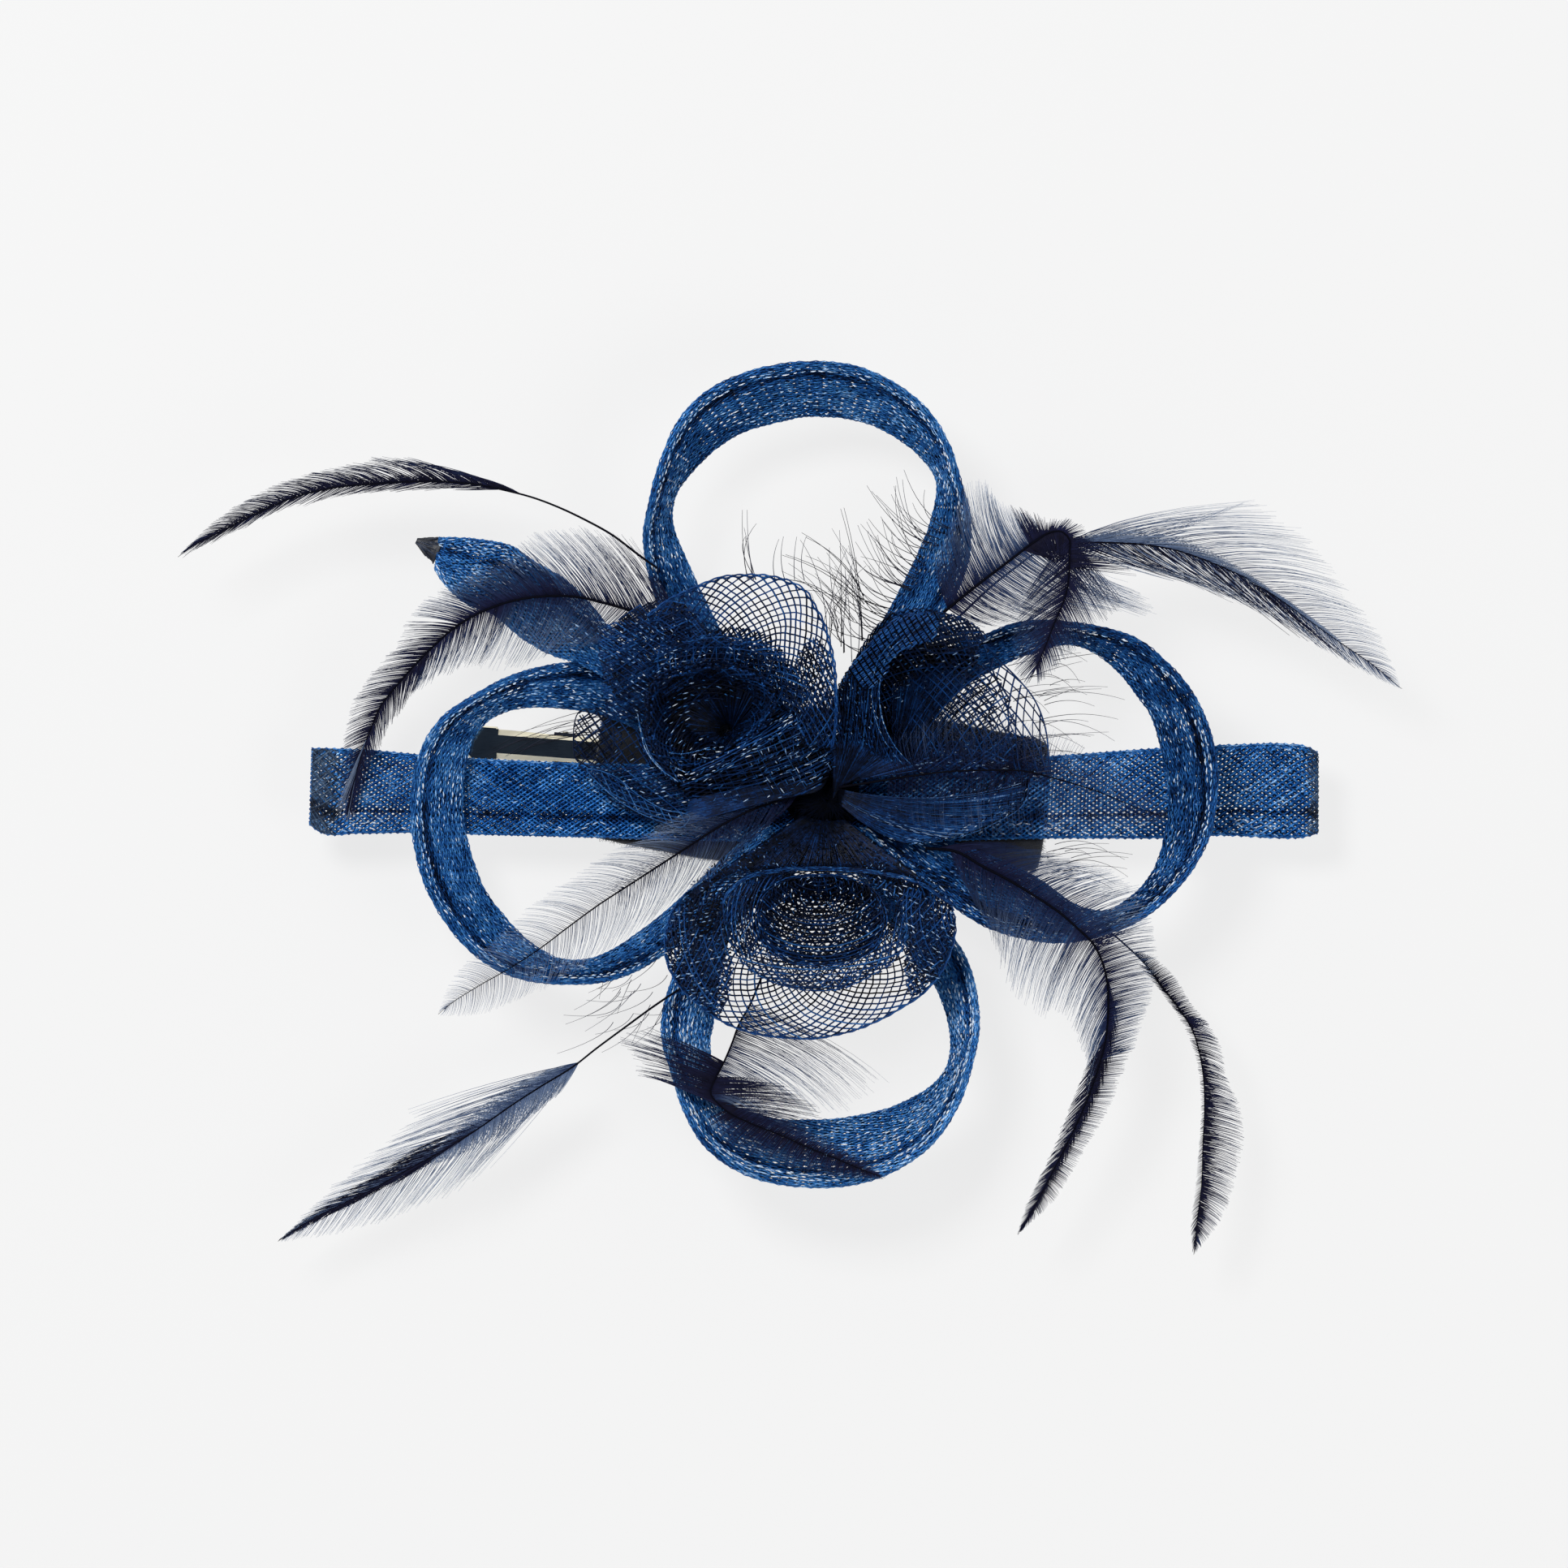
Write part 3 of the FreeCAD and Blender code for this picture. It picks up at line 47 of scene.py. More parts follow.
# Strip stations: edge a (x, y, z) then edge b (x, y, z), mm
STRIPS = {
    "flat_band": ("band_thick", False, [
        (-103.79, 8.42, 3.2, -104.28, -7.1, 3.2), (-101.31, 8.42, 3, -102.3, -8.58, 3),
        (-92.56, 8.09, 3, -94.38, -8.91, 3), (-81.67, 7.1, 3, -83.49, -8.75, 3),
        (-72.27, 6.44, 3, -71.28, -9.08, 3), (-51.15, 5.45, 3, -51.15, -9.57, 3),
        (-34.98, 5.12, 3, -34.98, -10.07, 3), (-18.48, 4.79, 3, -18.48, -10.4, 3),
        (-0.33, 4.62, 3, -0.33, -10.56, 3), (22.77, 5.45, 3, 22.77, -10.4, 3),
        (46.04, 6.77, 3, 45.05, -9.9, 3), (55.28, 7.43, 3, 55.28, -9.9, 3),
        (68.81, 8.42, 3, 70.62, -9.9, 3), (86.62, 9.24, 3, 84.31, -9.41, 3),
        (93.39, 9.41, 3, 93.89, -9.9, 3), (99, 8.75, 3, 99, -9.57, 3),
        (101.48, 7.43, 3.2, 101.48, -8.75, 3.2),
    ]),
    "top_loop": ("ribbon_thick", False, [
        (-8.25, 7.1, 5.6, -3.63, 9.57, 5.6), (-16, 17.32, 5.8, -10.23, 20.3, 5.8),
        (-25.91, 27.72, 6.5, -17.98, 28.05, 6), (-32.67, 36.63, 9, -22.44, 36.14, 6.5),
        (-34.98, 44.22, 13, -26.73, 45.05, 7), (-35.8, 51.48, 16, -30.2, 53.3, 7),
        (-34.32, 58.58, 18, -30.2, 58.91, 7), (-32.34, 66.5, 18, -27.06, 64.02, 7),
        (-28.71, 74.75, 17.5, -21.95, 69.14, 7), (-23.1, 80.52, 17, -16, 72.77, 7),
        (-13.53, 84.81, 17, -8.25, 75.08, 7), (-1.98, 86.62, 17, -1.49, 76.06, 7),
        (11.05, 84.15, 17, 7.92, 75.08, 7), (20.13, 78.05, 17.5, 15.51, 71.61, 7),
        (25.25, 70.62, 18, 21.12, 66.99, 7), (27.72, 63.2, 18, 23.76, 62.54, 7),
        (29.87, 54.95, 16, 22.77, 55.61, 7), (29.54, 45.71, 13, 19.14, 46.7, 6.8),
        (26.4, 38.12, 11, 14.19, 37.12, 6.5), (19.47, 28.55, 8.5, 8.25, 28.05, 6),
        (10.89, 18.98, 6, 3.63, 20.79, 5.8), (5.94, 9.57, 5.6, 0.99, 11.22, 5.6),
    ]),
    "left_loop": ("ribbon_thick", False, [
        (-11.05, 3.47, 5.6, -10.56, -2.48, 5.6), (-23.43, 12.04, 5.8, -23.76, 3.8, 5.8),
        (-34.98, 20.62, 6.2, -33, 9.57, 6), (-46.53, 25.74, 7.5, -41.41, 14.03, 6.2),
        (-57.09, 24.92, 10, -51.48, 16.5, 6.5), (-63.36, 22.94, 12.5, -58.91, 17, 6.5),
        (-70.78, 18.81, 15, -66.33, 15.35, 6.8), (-76.56, 14.69, 16, -70.12, 12.04, 7),
        (-81.18, 7.92, 15, -72.11, 7.1, 7), (-82.83, 0.49, 15, -73.09, 0.49, 7),
        (-83.16, -5.61, 15, -72.93, -6.11, 7), (-82.34, -12.21, 15, -71.61, -11.88, 7),
        (-80.52, -18.98, 15, -68.97, -19.3, 7), (-76.56, -26.4, 14.5, -64.68, -25.58, 7),
        (-70.45, -33.33, 14.5, -60.06, -30.53, 7), (-63.03, -37.45, 14.5, -55.61, -33.5, 7),
        (-53.13, -38.94, 14.5, -50.66, -34.98, 7), (-45.05, -38.94, 13, -44.72, -33.99, 6.8),
        (-38.28, -37.12, 10, -38.61, -30.2, 6.5), (-33, -34.16, 8, -33, -25.91, 6.2),
        (-25.08, -28.38, 6.2, -24.75, -18.48, 6), (-15.18, -18.48, 5.8, -17.66, -11.88, 5.8),
        (-7.76, -9.41, 5.6, -10.56, -6.44, 5.6),
    ]),
    "right_loop": ("ribbon_thick", False, [
        (8.91, 5.45, 5.6, 10.4, 0.17, 5.6), (12.54, 14.03, 6, 18.15, 7.76, 6),
        (17.49, 22.28, 6.8, 22.77, 15.02, 6.5), (24.75, 28.05, 8, 29.37, 21.12, 6.8),
        (33, 31.35, 9.5, 37.95, 25.91, 7), (40.09, 33.83, 13, 43.4, 28.05, 8),
        (47.52, 33.83, 17, 49.5, 29.7, 8), (56.1, 32.67, 17.5, 54.95, 28.55, 7.5),
        (64.02, 30.2, 17, 60.39, 24.42, 7), (70.62, 24.92, 17, 64.02, 19.96, 7),
        (75.57, 18.64, 16, 67.32, 14.52, 7), (78.87, 11.22, 16, 69.3, 7.92, 7),
        (80.19, 2.97, 16, 70.45, 2.15, 7), (79.7, -4.46, 16, 70.78, -4.46, 7),
        (77.55, -11.38, 16, 69.3, -12.71, 7), (72.93, -18.48, 16.5, 66.5, -18.48, 7),
        (66.5, -24.59, 17, 62.37, -22.61, 7), (58.25, -28.88, 15.5, 57.09, -24.92, 7),
        (50.82, -30.86, 13, 51.65, -23.43, 7), (41.75, -30.36, 11, 44.22, -18.15, 6.8),
        (33.5, -27.89, 9, 36.8, -14.36, 6.5), (25.25, -22.61, 7, 27.72, -11.05, 6),
        (16.17, -15.18, 6, 17.82, -6.93, 5.8), (8.91, -8.58, 5.6, 10.4, -3.14, 5.6),
    ]),
    "bottom_loop": ("ribbon_thick", False, [
        (-4.46, -10.4, 5.8, -1.32, -11.05, 5.8), (-10.56, -13.2, 6.7, -6.27, -17.98, 6.7),
        (-17.66, -17.32, 7.4, -12.38, -22.44, 7.4), (-23.76, -23.27, 7.7, -17.66, -27.55, 7.5),
        (-27.55, -30.86, 7.9, -19.64, -33.5, 7.2), (-30.36, -38.61, 8.4, -21.12, -41.09, 6.8),
        (-32.18, -44.88, 9.5, -22.11, -47.69, 6.4), (-32.18, -51.32, 12, -22.77, -52.3, 6.5),
        (-30.36, -57.26, 14, -21.78, -58.08, 7), (-28.21, -64.19, 15.5, -19.64, -62.54, 7),
        (-23.43, -72.44, 16.5, -16, -65.51, 7), (-16.17, -77.55, 17, -10.23, -66.99, 7),
        (-6.11, -80.19, 17, -4.46, -67.32, 7), (4.79, -80.19, 17, 3.8, -66.99, 7),
        (14.52, -77.22, 17, 12.04, -65.34, 7), (22.77, -71.28, 16.5, 18.64, -62.7, 7),
        (27.72, -63.53, 16, 23.76, -59.23, 7), (30.2, -55.94, 16, 26.24, -54.95, 7),
        (31.68, -47.69, 14, 26.24, -48.68, 6.8), (31.35, -41.09, 11, 23.93, -41.41, 6.5),
        (29.37, -34.16, 8, 21.12, -37.12, 6.2), (22.77, -25.08, 6, 15.35, -29.21, 6),
        (12.04, -14.36, 5.8, 8.25, -18.48, 5.8), (5.45, -9.08, 5.6, 2.97, -11.05, 5.6),
    ]),
    "pointed_tail": ("ribbon_thick", False, [
        (-77.72, 51.15, 10.3, -78.54, 44.72, 10.3), (-73.92, 51.15, 10.4, -76.56, 41.75, 10.4),
        (-68.48, 50.66, 10.5, -72.11, 37.79, 10.5), (-63.03, 49.5, 10.6, -66.66, 35.64, 10.6),
        (-58.08, 46.2, 10.6, -61.38, 31.19, 10.6), (-52.3, 42.9, 10.6, -55.61, 27.72, 10.6),
        (-46.86, 37.62, 10.5, -49.5, 25.74, 10.5), (-41.75, 31.35, 10.4, -44.05, 22.77, 10.4),
        (-34.98, 26.07, 10.2, -37.45, 18.32, 10.2), (-28.71, 21.62, 10, -30.86, 14.52, 10),
    ]),
    "tail_end_binding": ("tip_thick", False, [
        (-82.34, 50.98, 10.2, -82.34, 49.66, 10.2), (-80.19, 51.32, 10.2, -81.02, 47.03, 10.2),
        (-77.88, 51.23, 10.3, -78.7, 44.88, 10.3),
    ]),
    "left_rose_outer_petal": ("petal_thick", False, [
        (-35.31, 35.31, 24, -26.35, 21.5, 12), (-31.19, 38.28, 25, -24.69, 22.37, 12),
        (-24.42, 41.41, 27, -22.16, 23.03, 12), (-20.13, 42.9, 28, -20.68, 23.1, 12),
        (-16, 43.23, 29, -19.34, 22.97, 12), (-10.89, 42.9, 30, -17.78, 22.58, 12),
        (-6.27, 41.75, 30, -16.43, 22, 12), (-2.97, 39.77, 30, -15.4, 21.4, 12),
        (-1.32, 36.96, 29.5, -14.65, 20.83, 12), (0.66, 33.16, 29, -13.68, 19.92, 12),
        (1.82, 29.37, 28.5, -12.88, 18.93, 12), (2.81, 24.75, 28, -12.05, 17.53, 12),
        (2.97, 19.8, 28, -11.41, 15.83, 12), (2.97, 14.69, 26, -11.07, 13.81, 12),
        (2.15, 8.42, 22, -11.26, 11.19, 12),
    ]),
    "left_rose_middle_petal": ("petal_thick", False, [
        (-34.48, 25.58, 24, -26.07, 17.88, 11.2), (-32.01, 28.55, 26, -25.01, 18.82, 11.2),
        (-26.07, 30.2, 27, -22.95, 19.84, 11.2), (-19.3, 30.69, 28, -20.3, 20.1, 11.2),
        (-13.86, 29.7, 28, -18.22, 19.57, 11.2), (-9.74, 27.72, 28, -16.72, 18.68, 11.2),
        (-6.27, 24.75, 27.5, -15.51, 17.48, 11.2), (-3.8, 21.45, 27, -14.71, 16.2, 11.2),
        (-2.15, 17.98, 25, -14.24, 14.91, 11.2),
    ]),
    "left_rose_inner_cup": ("petal_thick", True, [
        (-33.33, 21.45, 26, -25.07, 16.27, 10), (-28.55, 23.6, 27, -24.15, 17.24, 10),
        (-22.28, 24.75, 28, -22.28, 17.82, 10), (-16.83, 24.09, 28, -20.64, 17.39, 10),
        (-12.71, 22.28, 27, -19.71, 16.6, 10), (-10.07, 18.81, 26, -19.16, 15.61, 10),
        (-10.56, 15.51, 24, -18.99, 14.8, 10), (-13.53, 12.21, 21, -19.08, 13.68, 10),
        (-17.66, 9.24, 19, -20.1, 12.04, 10), (-22.28, 6.11, 18, -22.28, 11.22, 10),
        (-27.72, 4.62, 18, -23.87, 11.63, 10), (-31.19, 6.27, 19, -24.7, 12.28, 10),
        (-33.66, 9.24, 21, -25.27, 13.13, 10), (-34.48, 13.2, 23, -25.56, 14.17, 10),
        (-34.48, 17.32, 25, -25.49, 15.26, 10),
    ]),
    "left_rose_front_petal": ("petal_thick", False, [
        (-35.48, 12.04, 14, -37.79, 11.22, 12), (-33.99, 8.42, 13.6, -35.48, 5.12, 12),
        (-30.86, 4.62, 13.2, -30.69, 1.16, 11.6), (-26.4, 2.64, 12.6, -24.75, -1.49, 11.2),
        (-20.46, 3.8, 12.2, -18.48, -2.15, 11), (-13.2, 7.92, 12, -11.88, -1.49, 11),
        (-6.6, 11.22, 12.4, -4.95, 0.83, 11.2), (-0.33, 11.22, 12.6, 1.32, 3.47, 11.6),
    ]),
    "left_rose_flap": ("petal_thick", False, [
        (-39.6, 14.85, 13.5, -48.84, 15.68, 13), (-39.93, 9.57, 12.6, -50.33, 10.4, 12),
        (-38.94, 5.12, 11.6, -49.83, 5.78, 10.6), (-36.63, 1.32, 10.6, -46.7, 1.65, 9.6),
        (-32.51, -1.16, 9.8, -42.08, -2.81, 8.8), (-27.55, -2.81, 9.4, -34.98, -6.27, 8.4),
        (-23.1, -4.46, 9.2, -28.71, -7.43, 8.4),
    ]),
    "right_rose_outer_petal": ("petal_thick", False, [
        (1.98, 1.82, 10, 18.15, 4.46, 9.5), (2.31, 11.22, 16, 15.35, 7.76, 10.5),
        (2.81, 19.3, 22, 13.2, 11.38, 11.5), (4.95, 23.1, 24, 12.21, 15.35, 12),
        (7.92, 27.23, 25, 11.88, 19.47, 12), (11.71, 32.34, 26, 12.21, 23.6, 12),
        (15.02, 34.82, 26, 13.86, 27.55, 12), (19.3, 35.97, 26, 17.49, 28.55, 12),
        (23.43, 35.48, 26, 21.45, 28.05, 12), (27.72, 34.65, 25, 25.58, 27.06, 12),
        (33.16, 31.02, 23, 29.87, 24.92, 12),
    ]),
    "right_rose_inner_petal": ("petal_thick", False, [
        (34.82, 23.1, 15, 31.02, 16.66, 8.4), (37.79, 17.66, 15, 32.34, 14.52, 8.4),
        (39.44, 12.21, 14.5, 33, 12.04, 8.4), (39.27, 7.92, 14, 32.67, 9.57, 8.4),
        (37.29, 3.8, 13, 31.02, 7.43, 8.4), (31.85, 0.83, 12.5, 28.55, 5.94, 8.4),
        (24.42, 0.17, 12, 25.74, 5.78, 8.4), (19.14, 2.15, 11, 23.1, 6.77, 8.4),
    ]),
    "right_rose_right_petal": ("petal_thick", False, [
        (39.27, 20.3, 11, 42.57, 20.62, 9), (41.25, 15.35, 12, 44.88, 15.68, 9.5),
        (41.58, 9.57, 12, 45.87, 9.57, 10), (41.25, 4.62, 12, 45.71, 3.8, 10),
        (37.62, 0.83, 11.5, 41.25, -2.81, 9.5), (31.85, -1.98, 11, 34.48, -6.77, 9),
        (25.25, -3.14, 10.5, 26.07, -9.9, 8.8), (19.47, -3.63, 10, 20.13, -11.22, 8.6),
    ]),
    "bottom_rose_outer_petal": ("petal_thick", True, [
        (-28.21, -21.78, 18, -15.1, -25.49, 9.4), (-31.52, -28.05, 19, -16.75, -28.63, 9.4),
        (-31.68, -33.99, 20, -16.83, -31.6, 9.4), (-29.37, -39.11, 20.5, -15.68, -34.16, 9.4),
        (-25.08, -43.4, 21, -13.53, -36.3, 9.4), (-19.8, -47.03, 21, -10.89, -38.12, 9.4),
        (-14.69, -49.17, 21, -8.33, -39.19, 9.4), (-8.75, -50.16, 21, -5.36, -39.68, 9.4),
        (-1.49, -50.33, 21, -1.73, -39.77, 9.4), (4.79, -49.17, 21, 1.4, -39.19, 9.4),
        (11.22, -46.86, 21, 4.62, -38.03, 9.4), (16.5, -43.89, 21, 7.26, -36.55, 9.4),
        (21.12, -40.76, 21, 9.57, -34.98, 9.4), (24.92, -35.97, 20.5, 11.47, -32.59, 9.4),
        (26.89, -29.7, 20, 12.46, -29.45, 9.4), (26.73, -25.41, 19, 12.38, -27.31, 9.4),
        (24.92, -21.29, 18, 11.47, -25.25, 9.4), (21.12, -18.64, 17, 9.57, -23.93, 9.4),
        (14.36, -16.83, 16, 6.19, -23.02, 9.4), (6.93, -15.84, 16, 2.48, -22.52, 9.4),
        (-1.49, -15.51, 16, -1.73, -22.36, 9.4), (-8.75, -16.34, 16, -5.36, -22.77, 9.4),
        (-17.49, -17, 16, -9.74, -23.1, 9.4), (-23.76, -18.98, 17, -12.87, -24.09, 9.4),
    ]),
    "bottom_rose_middle_petal": ("petal_thick", False, [
        (-20.3, -21.78, 20, -9.39, -25.42, 10.6), (-19.8, -25.41, 21.5, -9.18, -26.94, 10.6),
        (-18.81, -30.69, 22, -8.76, -29.16, 10.6), (-15.18, -35.97, 22, -7.24, -31.38, 10.6),
        (-8.75, -39.44, 22, -4.53, -32.83, 10.6), (-2.48, -40.76, 22, -1.9, -33.39, 10.6),
        (3.8, -40.26, 22, 0.73, -33.18, 10.6), (10.07, -37.62, 22, 3.37, -32.07, 10.6),
        (15.35, -33.99, 22, 5.58, -30.54, 10.6), (17.49, -29.7, 21.5, 6.48, -28.74, 10.6),
        (17, -25.41, 21, 6.28, -26.94, 10.6), (15.84, -21.78, 20, 5.79, -25.42, 10.6),
    ]),
    "bottom_rose_inner_cup": ("petal_thick", True, [
        (-13.86, -25.41, 23, -4.93, -26.28, 12.2), (-13.04, -29.7, 23, -4.65, -27.74, 12.2),
        (-8.75, -33.99, 23, -3.19, -29.2, 12.2), (-1.49, -35.97, 23, -0.72, -29.87, 12.2),
        (6.44, -34.98, 23, 1.97, -29.54, 12.2), (12.21, -30.69, 23, 3.93, -28.08, 12.2),
        (13.2, -25.41, 22.5, 4.27, -26.28, 12.2), (11.22, -21.29, 21, 3.6, -24.88, 12.2),
        (6.44, -18.98, 20.5, 1.97, -24.09, 12.2), (-1.49, -18.15, 20.5, -0.72, -23.81, 12.2),
        (-8.75, -19.64, 20.5, -3.19, -24.32, 12.2), (-12.54, -22.28, 21.5, -4.48, -25.22, 12.2),
    ]),
    "feather_upper_left": ("feather_thick", False, [
        (-29.54, 42.57, 17.3, -30.36, 41.41, 17.3), (-36.96, 48.34, 18, -37.79, 47.19, 18),
        (-41.91, 52.06, 18.2, -42.57, 50.9, 18.2), (-47.52, 55.19, 18.3, -48.18, 54.04, 18.3),
        (-53.13, 57.92, 18.3, -53.62, 56.6, 18.3), (-58.08, 59.73, 18.2, -58.41, 58.41, 18.2),
        (-64.35, 62.21, 18, -64.02, 59.9, 18), (-72.11, 64.19, 17.6, -71.28, 61.22, 17.6),
        (-81.18, 66.33, 17, -81.51, 61.55, 17), (-88.77, 67.32, 16.5, -89.1, 61.22, 16.5),
        (-96.86, 65.34, 16, -96.36, 60.55, 16), (-104.61, 63.86, 15.3, -103.62, 59.23, 15.3),
        (-112.53, 60.55, 14.6, -110.55, 56.76, 14.6), (-120.78, 56.1, 14, -118.8, 52.97, 14),
        (-130.35, 47.85, 13.4, -129.36, 46.37, 13.4),
    ]),
    "feather_left": ("feather_thick", False, [
        (-24.75, 28.88, 12.6, -25.41, 27.55, 12.6), (-29.37, 32.67, 12.9, -30.03, 31.35, 12.9),
        (-34.82, 35.48, 13.1, -35.15, 33.83, 13.1), (-39.11, 39.27, 13.2, -39.6, 34.82, 13.2),
        (-45.21, 45.05, 13.2, -44.05, 34.32, 13.2), (-51.48, 46.7, 13.2, -48.51, 33.5, 13.2),
        (-56.76, 46.7, 13.1, -53.46, 32.67, 13.1), (-63.03, 46.7, 13, -58.08, 31.02, 13),
        (-69.63, 44.22, 12.7, -62.21, 28.55, 12.7), (-75.9, 40.92, 12.3, -67.16, 26.57, 12.3),
        (-81.18, 38.12, 11.8, -70.95, 25.58, 11.8), (-85.31, 33.5, 11, -75.24, 24.92, 11),
        (-87.78, 29.37, 10.2, -79.04, 22.77, 10.2), (-91.91, 23.6, 9, -83.66, 18.98, 9),
        (-94.38, 18.64, 8, -86.95, 15.35, 8), (-96.86, 9.57, 6.6, -90.75, 7.1, 6.6),
        (-97.68, 2.97, 6.1, -92.73, 1.82, 6.1), (-97.35, -6.11, 5.7, -95.87, -6.93, 5.7),
    ]),
    "feather_centre_left": ("feather_thick", False, [
        (-4.62, -1.32, 9.6, -4.12, -2.64, 9.6), (-10.4, -2.64, 10, -9.74, -4.29, 10),
        (-15.51, -1.98, 10.8, -13.53, -7.76, 10.8), (-22.61, -3.63, 11.8, -18.81, -12.71, 11.8),
        (-30.03, -8.09, 12.8, -24.26, -16.83, 12.8), (-36.63, -11.88, 13.8, -29.54, -21.78, 13.8),
        (-43.56, -14.69, 15, -34.98, -26.73, 15), (-50.16, -18.48, 16, -40.76, -30.86, 16),
        (-56.43, -22.94, 16.8, -46.53, -34.98, 16.8), (-62.7, -27.55, 17, -53.13, -39.11, 17),
        (-69.3, -32.51, 16.6, -60.06, -42.73, 16.6), (-74.25, -36.63, 15.2, -66.66, -45.38, 15.2),
        (-78.21, -44.05, 13, -76.89, -46.37, 13),
    ]),
    "feather_lower_left": ("feather_thick", False, [
        (-27.06, -38.45, 11.2, -26.4, -39.77, 11.2), (-32.51, -42.24, 12.4, -31.68, -43.56, 12.4),
        (-40.59, -47.85, 12.6, -39.93, -49.17, 12.6), (-46.37, -52.14, 12.2, -45.71, -53.46, 12.2),
        (-50.66, -54.95, 11.8, -49.83, -56.6, 11.8), (-57.42, -57.42, 11.2, -55.61, -63.03, 11.2),
        (-63.36, -59.07, 10.6, -60.55, -67.98, 10.6), (-71.28, -62.21, 10, -65.84, -73.76, 10),
        (-77.88, -64.19, 9.4, -70.95, -79.2, 9.4), (-83.66, -67.16, 8.8, -77.06, -83.33, 8.8),
        (-88.11, -71.78, 8.2, -83.66, -85.31, 8.2), (-93.23, -76.23, 7.6, -90.26, -88.11, 7.6),
        (-99, -80.69, 7.1, -96.03, -89.43, 7.1), (-103.95, -84.65, 6.7, -102.14, -90.59, 6.7),
        (-110.88, -91.25, 6.3, -110.22, -92.4, 6.3),
    ]),
    "feather_bottom": ("feather_thick", False, [
        (-15.02, -43.07, 10.6, -13.7, -43.4, 10.6), (-19.64, -47.36, 12, -13.53, -48.02, 12),
        (-23.76, -50.98, 13.6, -14.36, -52.3, 13.6), (-26.73, -54.78, 15.6, -15.18, -55.28, 15.6),
        (-27.55, -58.91, 17.8, -15.51, -58.08, 17.8), (-26.73, -64.68, 19.2, -15.18, -61.38, 19.2),
        (-20.96, -70.45, 19.5, -13.86, -63.53, 19.5), (-14.36, -73.76, 19.5, -10.23, -65.17, 19.5),
        (-6.93, -76.56, 19.5, -4.46, -67.16, 19.5), (-0.33, -78.21, 19.3, 1.32, -69.14, 19.3),
        (6.27, -78.7, 19, 7.1, -72.44, 19), (12.87, -79.04, 18.6, 12.54, -77.39, 18.6),
    ]),
    "feather_lower_right": ("feather_thick", False, [
        (21.12, -12.21, 10.6, 20.62, -13.37, 10.6), (28.55, -11.05, 11.8, 26.4, -14.69, 11.8),
        (34.65, -11.88, 13, 30.69, -19.3, 13), (41.25, -13.04, 14.4, 34.65, -24.26, 14.4),
        (49.17, -14.69, 15.8, 37.29, -29.21, 15.8), (58.41, -16.83, 17.2, 38.45, -35.8, 17.2),
        (64.02, -19.8, 17.8, 39.27, -41.09, 17.8), (66.83, -26.73, 17.8, 42.24, -43.73, 17.8),
        (67.98, -33.33, 17.4, 45.05, -46.7, 17.4), (67.65, -39.44, 17, 48.34, -47.69, 17),
        (64.35, -51.48, 15.4, 51.65, -52.3, 15.4), (61.38, -58.91, 14.2, 50.82, -59.73, 14.2),
        (57.75, -66.33, 13, 49.17, -65.84, 13), (53.62, -73.76, 11.8, 47.19, -71.78, 11.8),
        (48.84, -81.18, 10.6, 43.89, -79.53, 10.6), (40.43, -90.75, 9.4, 39.27, -90.09, 9.4),
    ]),
    "feather_right_tip": ("feather_thick", False, [
        (31.35, -15.84, 4.1, 30.86, -17, 4.1), (41.25, -19.47, 4.1, 40.76, -20.62, 4.1),
        (51.15, -24.26, 4.2, 50.49, -25.41, 4.2), (59.57, -28.88, 4.8, 58.74, -29.87, 4.8),
        (63.2, -31.52, 5.8, 62.21, -32.84, 5.8), (70.62, -35.8, 7, 65.34, -36.8, 7),
        (75.24, -42.73, 8.2, 68.97, -40.76, 8.2), (78.54, -48.18, 9, 72.11, -45.05, 9),
        (80.85, -52.3, 9.4, 74.91, -49.34, 9.4), (82.17, -58.08, 9.6, 76.4, -54.29, 9.6),
        (83.82, -61.38, 9.6, 77.22, -59.4, 9.6), (84.98, -65.17, 9.5, 77.39, -63.86, 9.5),
        (85.47, -72.93, 9.2, 77.06, -72.27, 9.2), (83.16, -83.33, 8.7, 76.73, -81.02, 8.7),
        (80.19, -88.94, 8.2, 75.9, -87.62, 8.2), (76.23, -94.55, 7.6, 75.24, -94.22, 7.6),
    ]),
    "feather_curled": ("feather_thick", False, [
        (24.26, 36.47, 19.2, 25.25, 35.31, 19.2), (27.72, 45.05, 19.8, 33, 39.27, 19.8),
        (31.85, 53.3, 20.4, 40.59, 41.41, 20.4), (37.29, 57.42, 21, 43.4, 43.07, 21),
        (43.4, 58.25, 21.6, 45.21, 44.05, 21.6), (50.49, 55.94, 22, 45.87, 44.05, 22),
        (54.45, 50.82, 22.2, 46.04, 43.4, 22.2), (54.95, 44.22, 22, 45.05, 40.92, 22),
        (52.97, 38.45, 21.6, 42.9, 38.12, 21.6), (49.17, 31.85, 21.2, 41.58, 33.99, 21.2),
        (47.03, 25.58, 20.8, 40.76, 28.55, 20.8), (42.9, 21.45, 20.4, 41.25, 21.95, 20.4),
    ]),
    "feather_upper_right": ("feather_thick", False, [
        (26.57, 34.82, 17.2, 27.39, 33.83, 17.2), (37.12, 44.39, 17.5, 38.12, 43.07, 17.5),
        (47.03, 50.33, 17.8, 47.85, 49.01, 17.8), (50.82, 52.47, 17.8, 51.65, 46.7, 17.8),
        (58.25, 53.62, 17.6, 58.74, 45.87, 17.6), (65.01, 55.44, 17.3, 64.84, 44.55, 17.3),
        (72.27, 57.42, 16.9, 70.62, 43.07, 16.9), (80.52, 57.92, 16.4, 76.89, 40.92, 16.4),
        (87.95, 55.77, 15.8, 83, 38.12, 15.8), (95.37, 52.47, 15.1, 89.59, 34.82, 15.1),
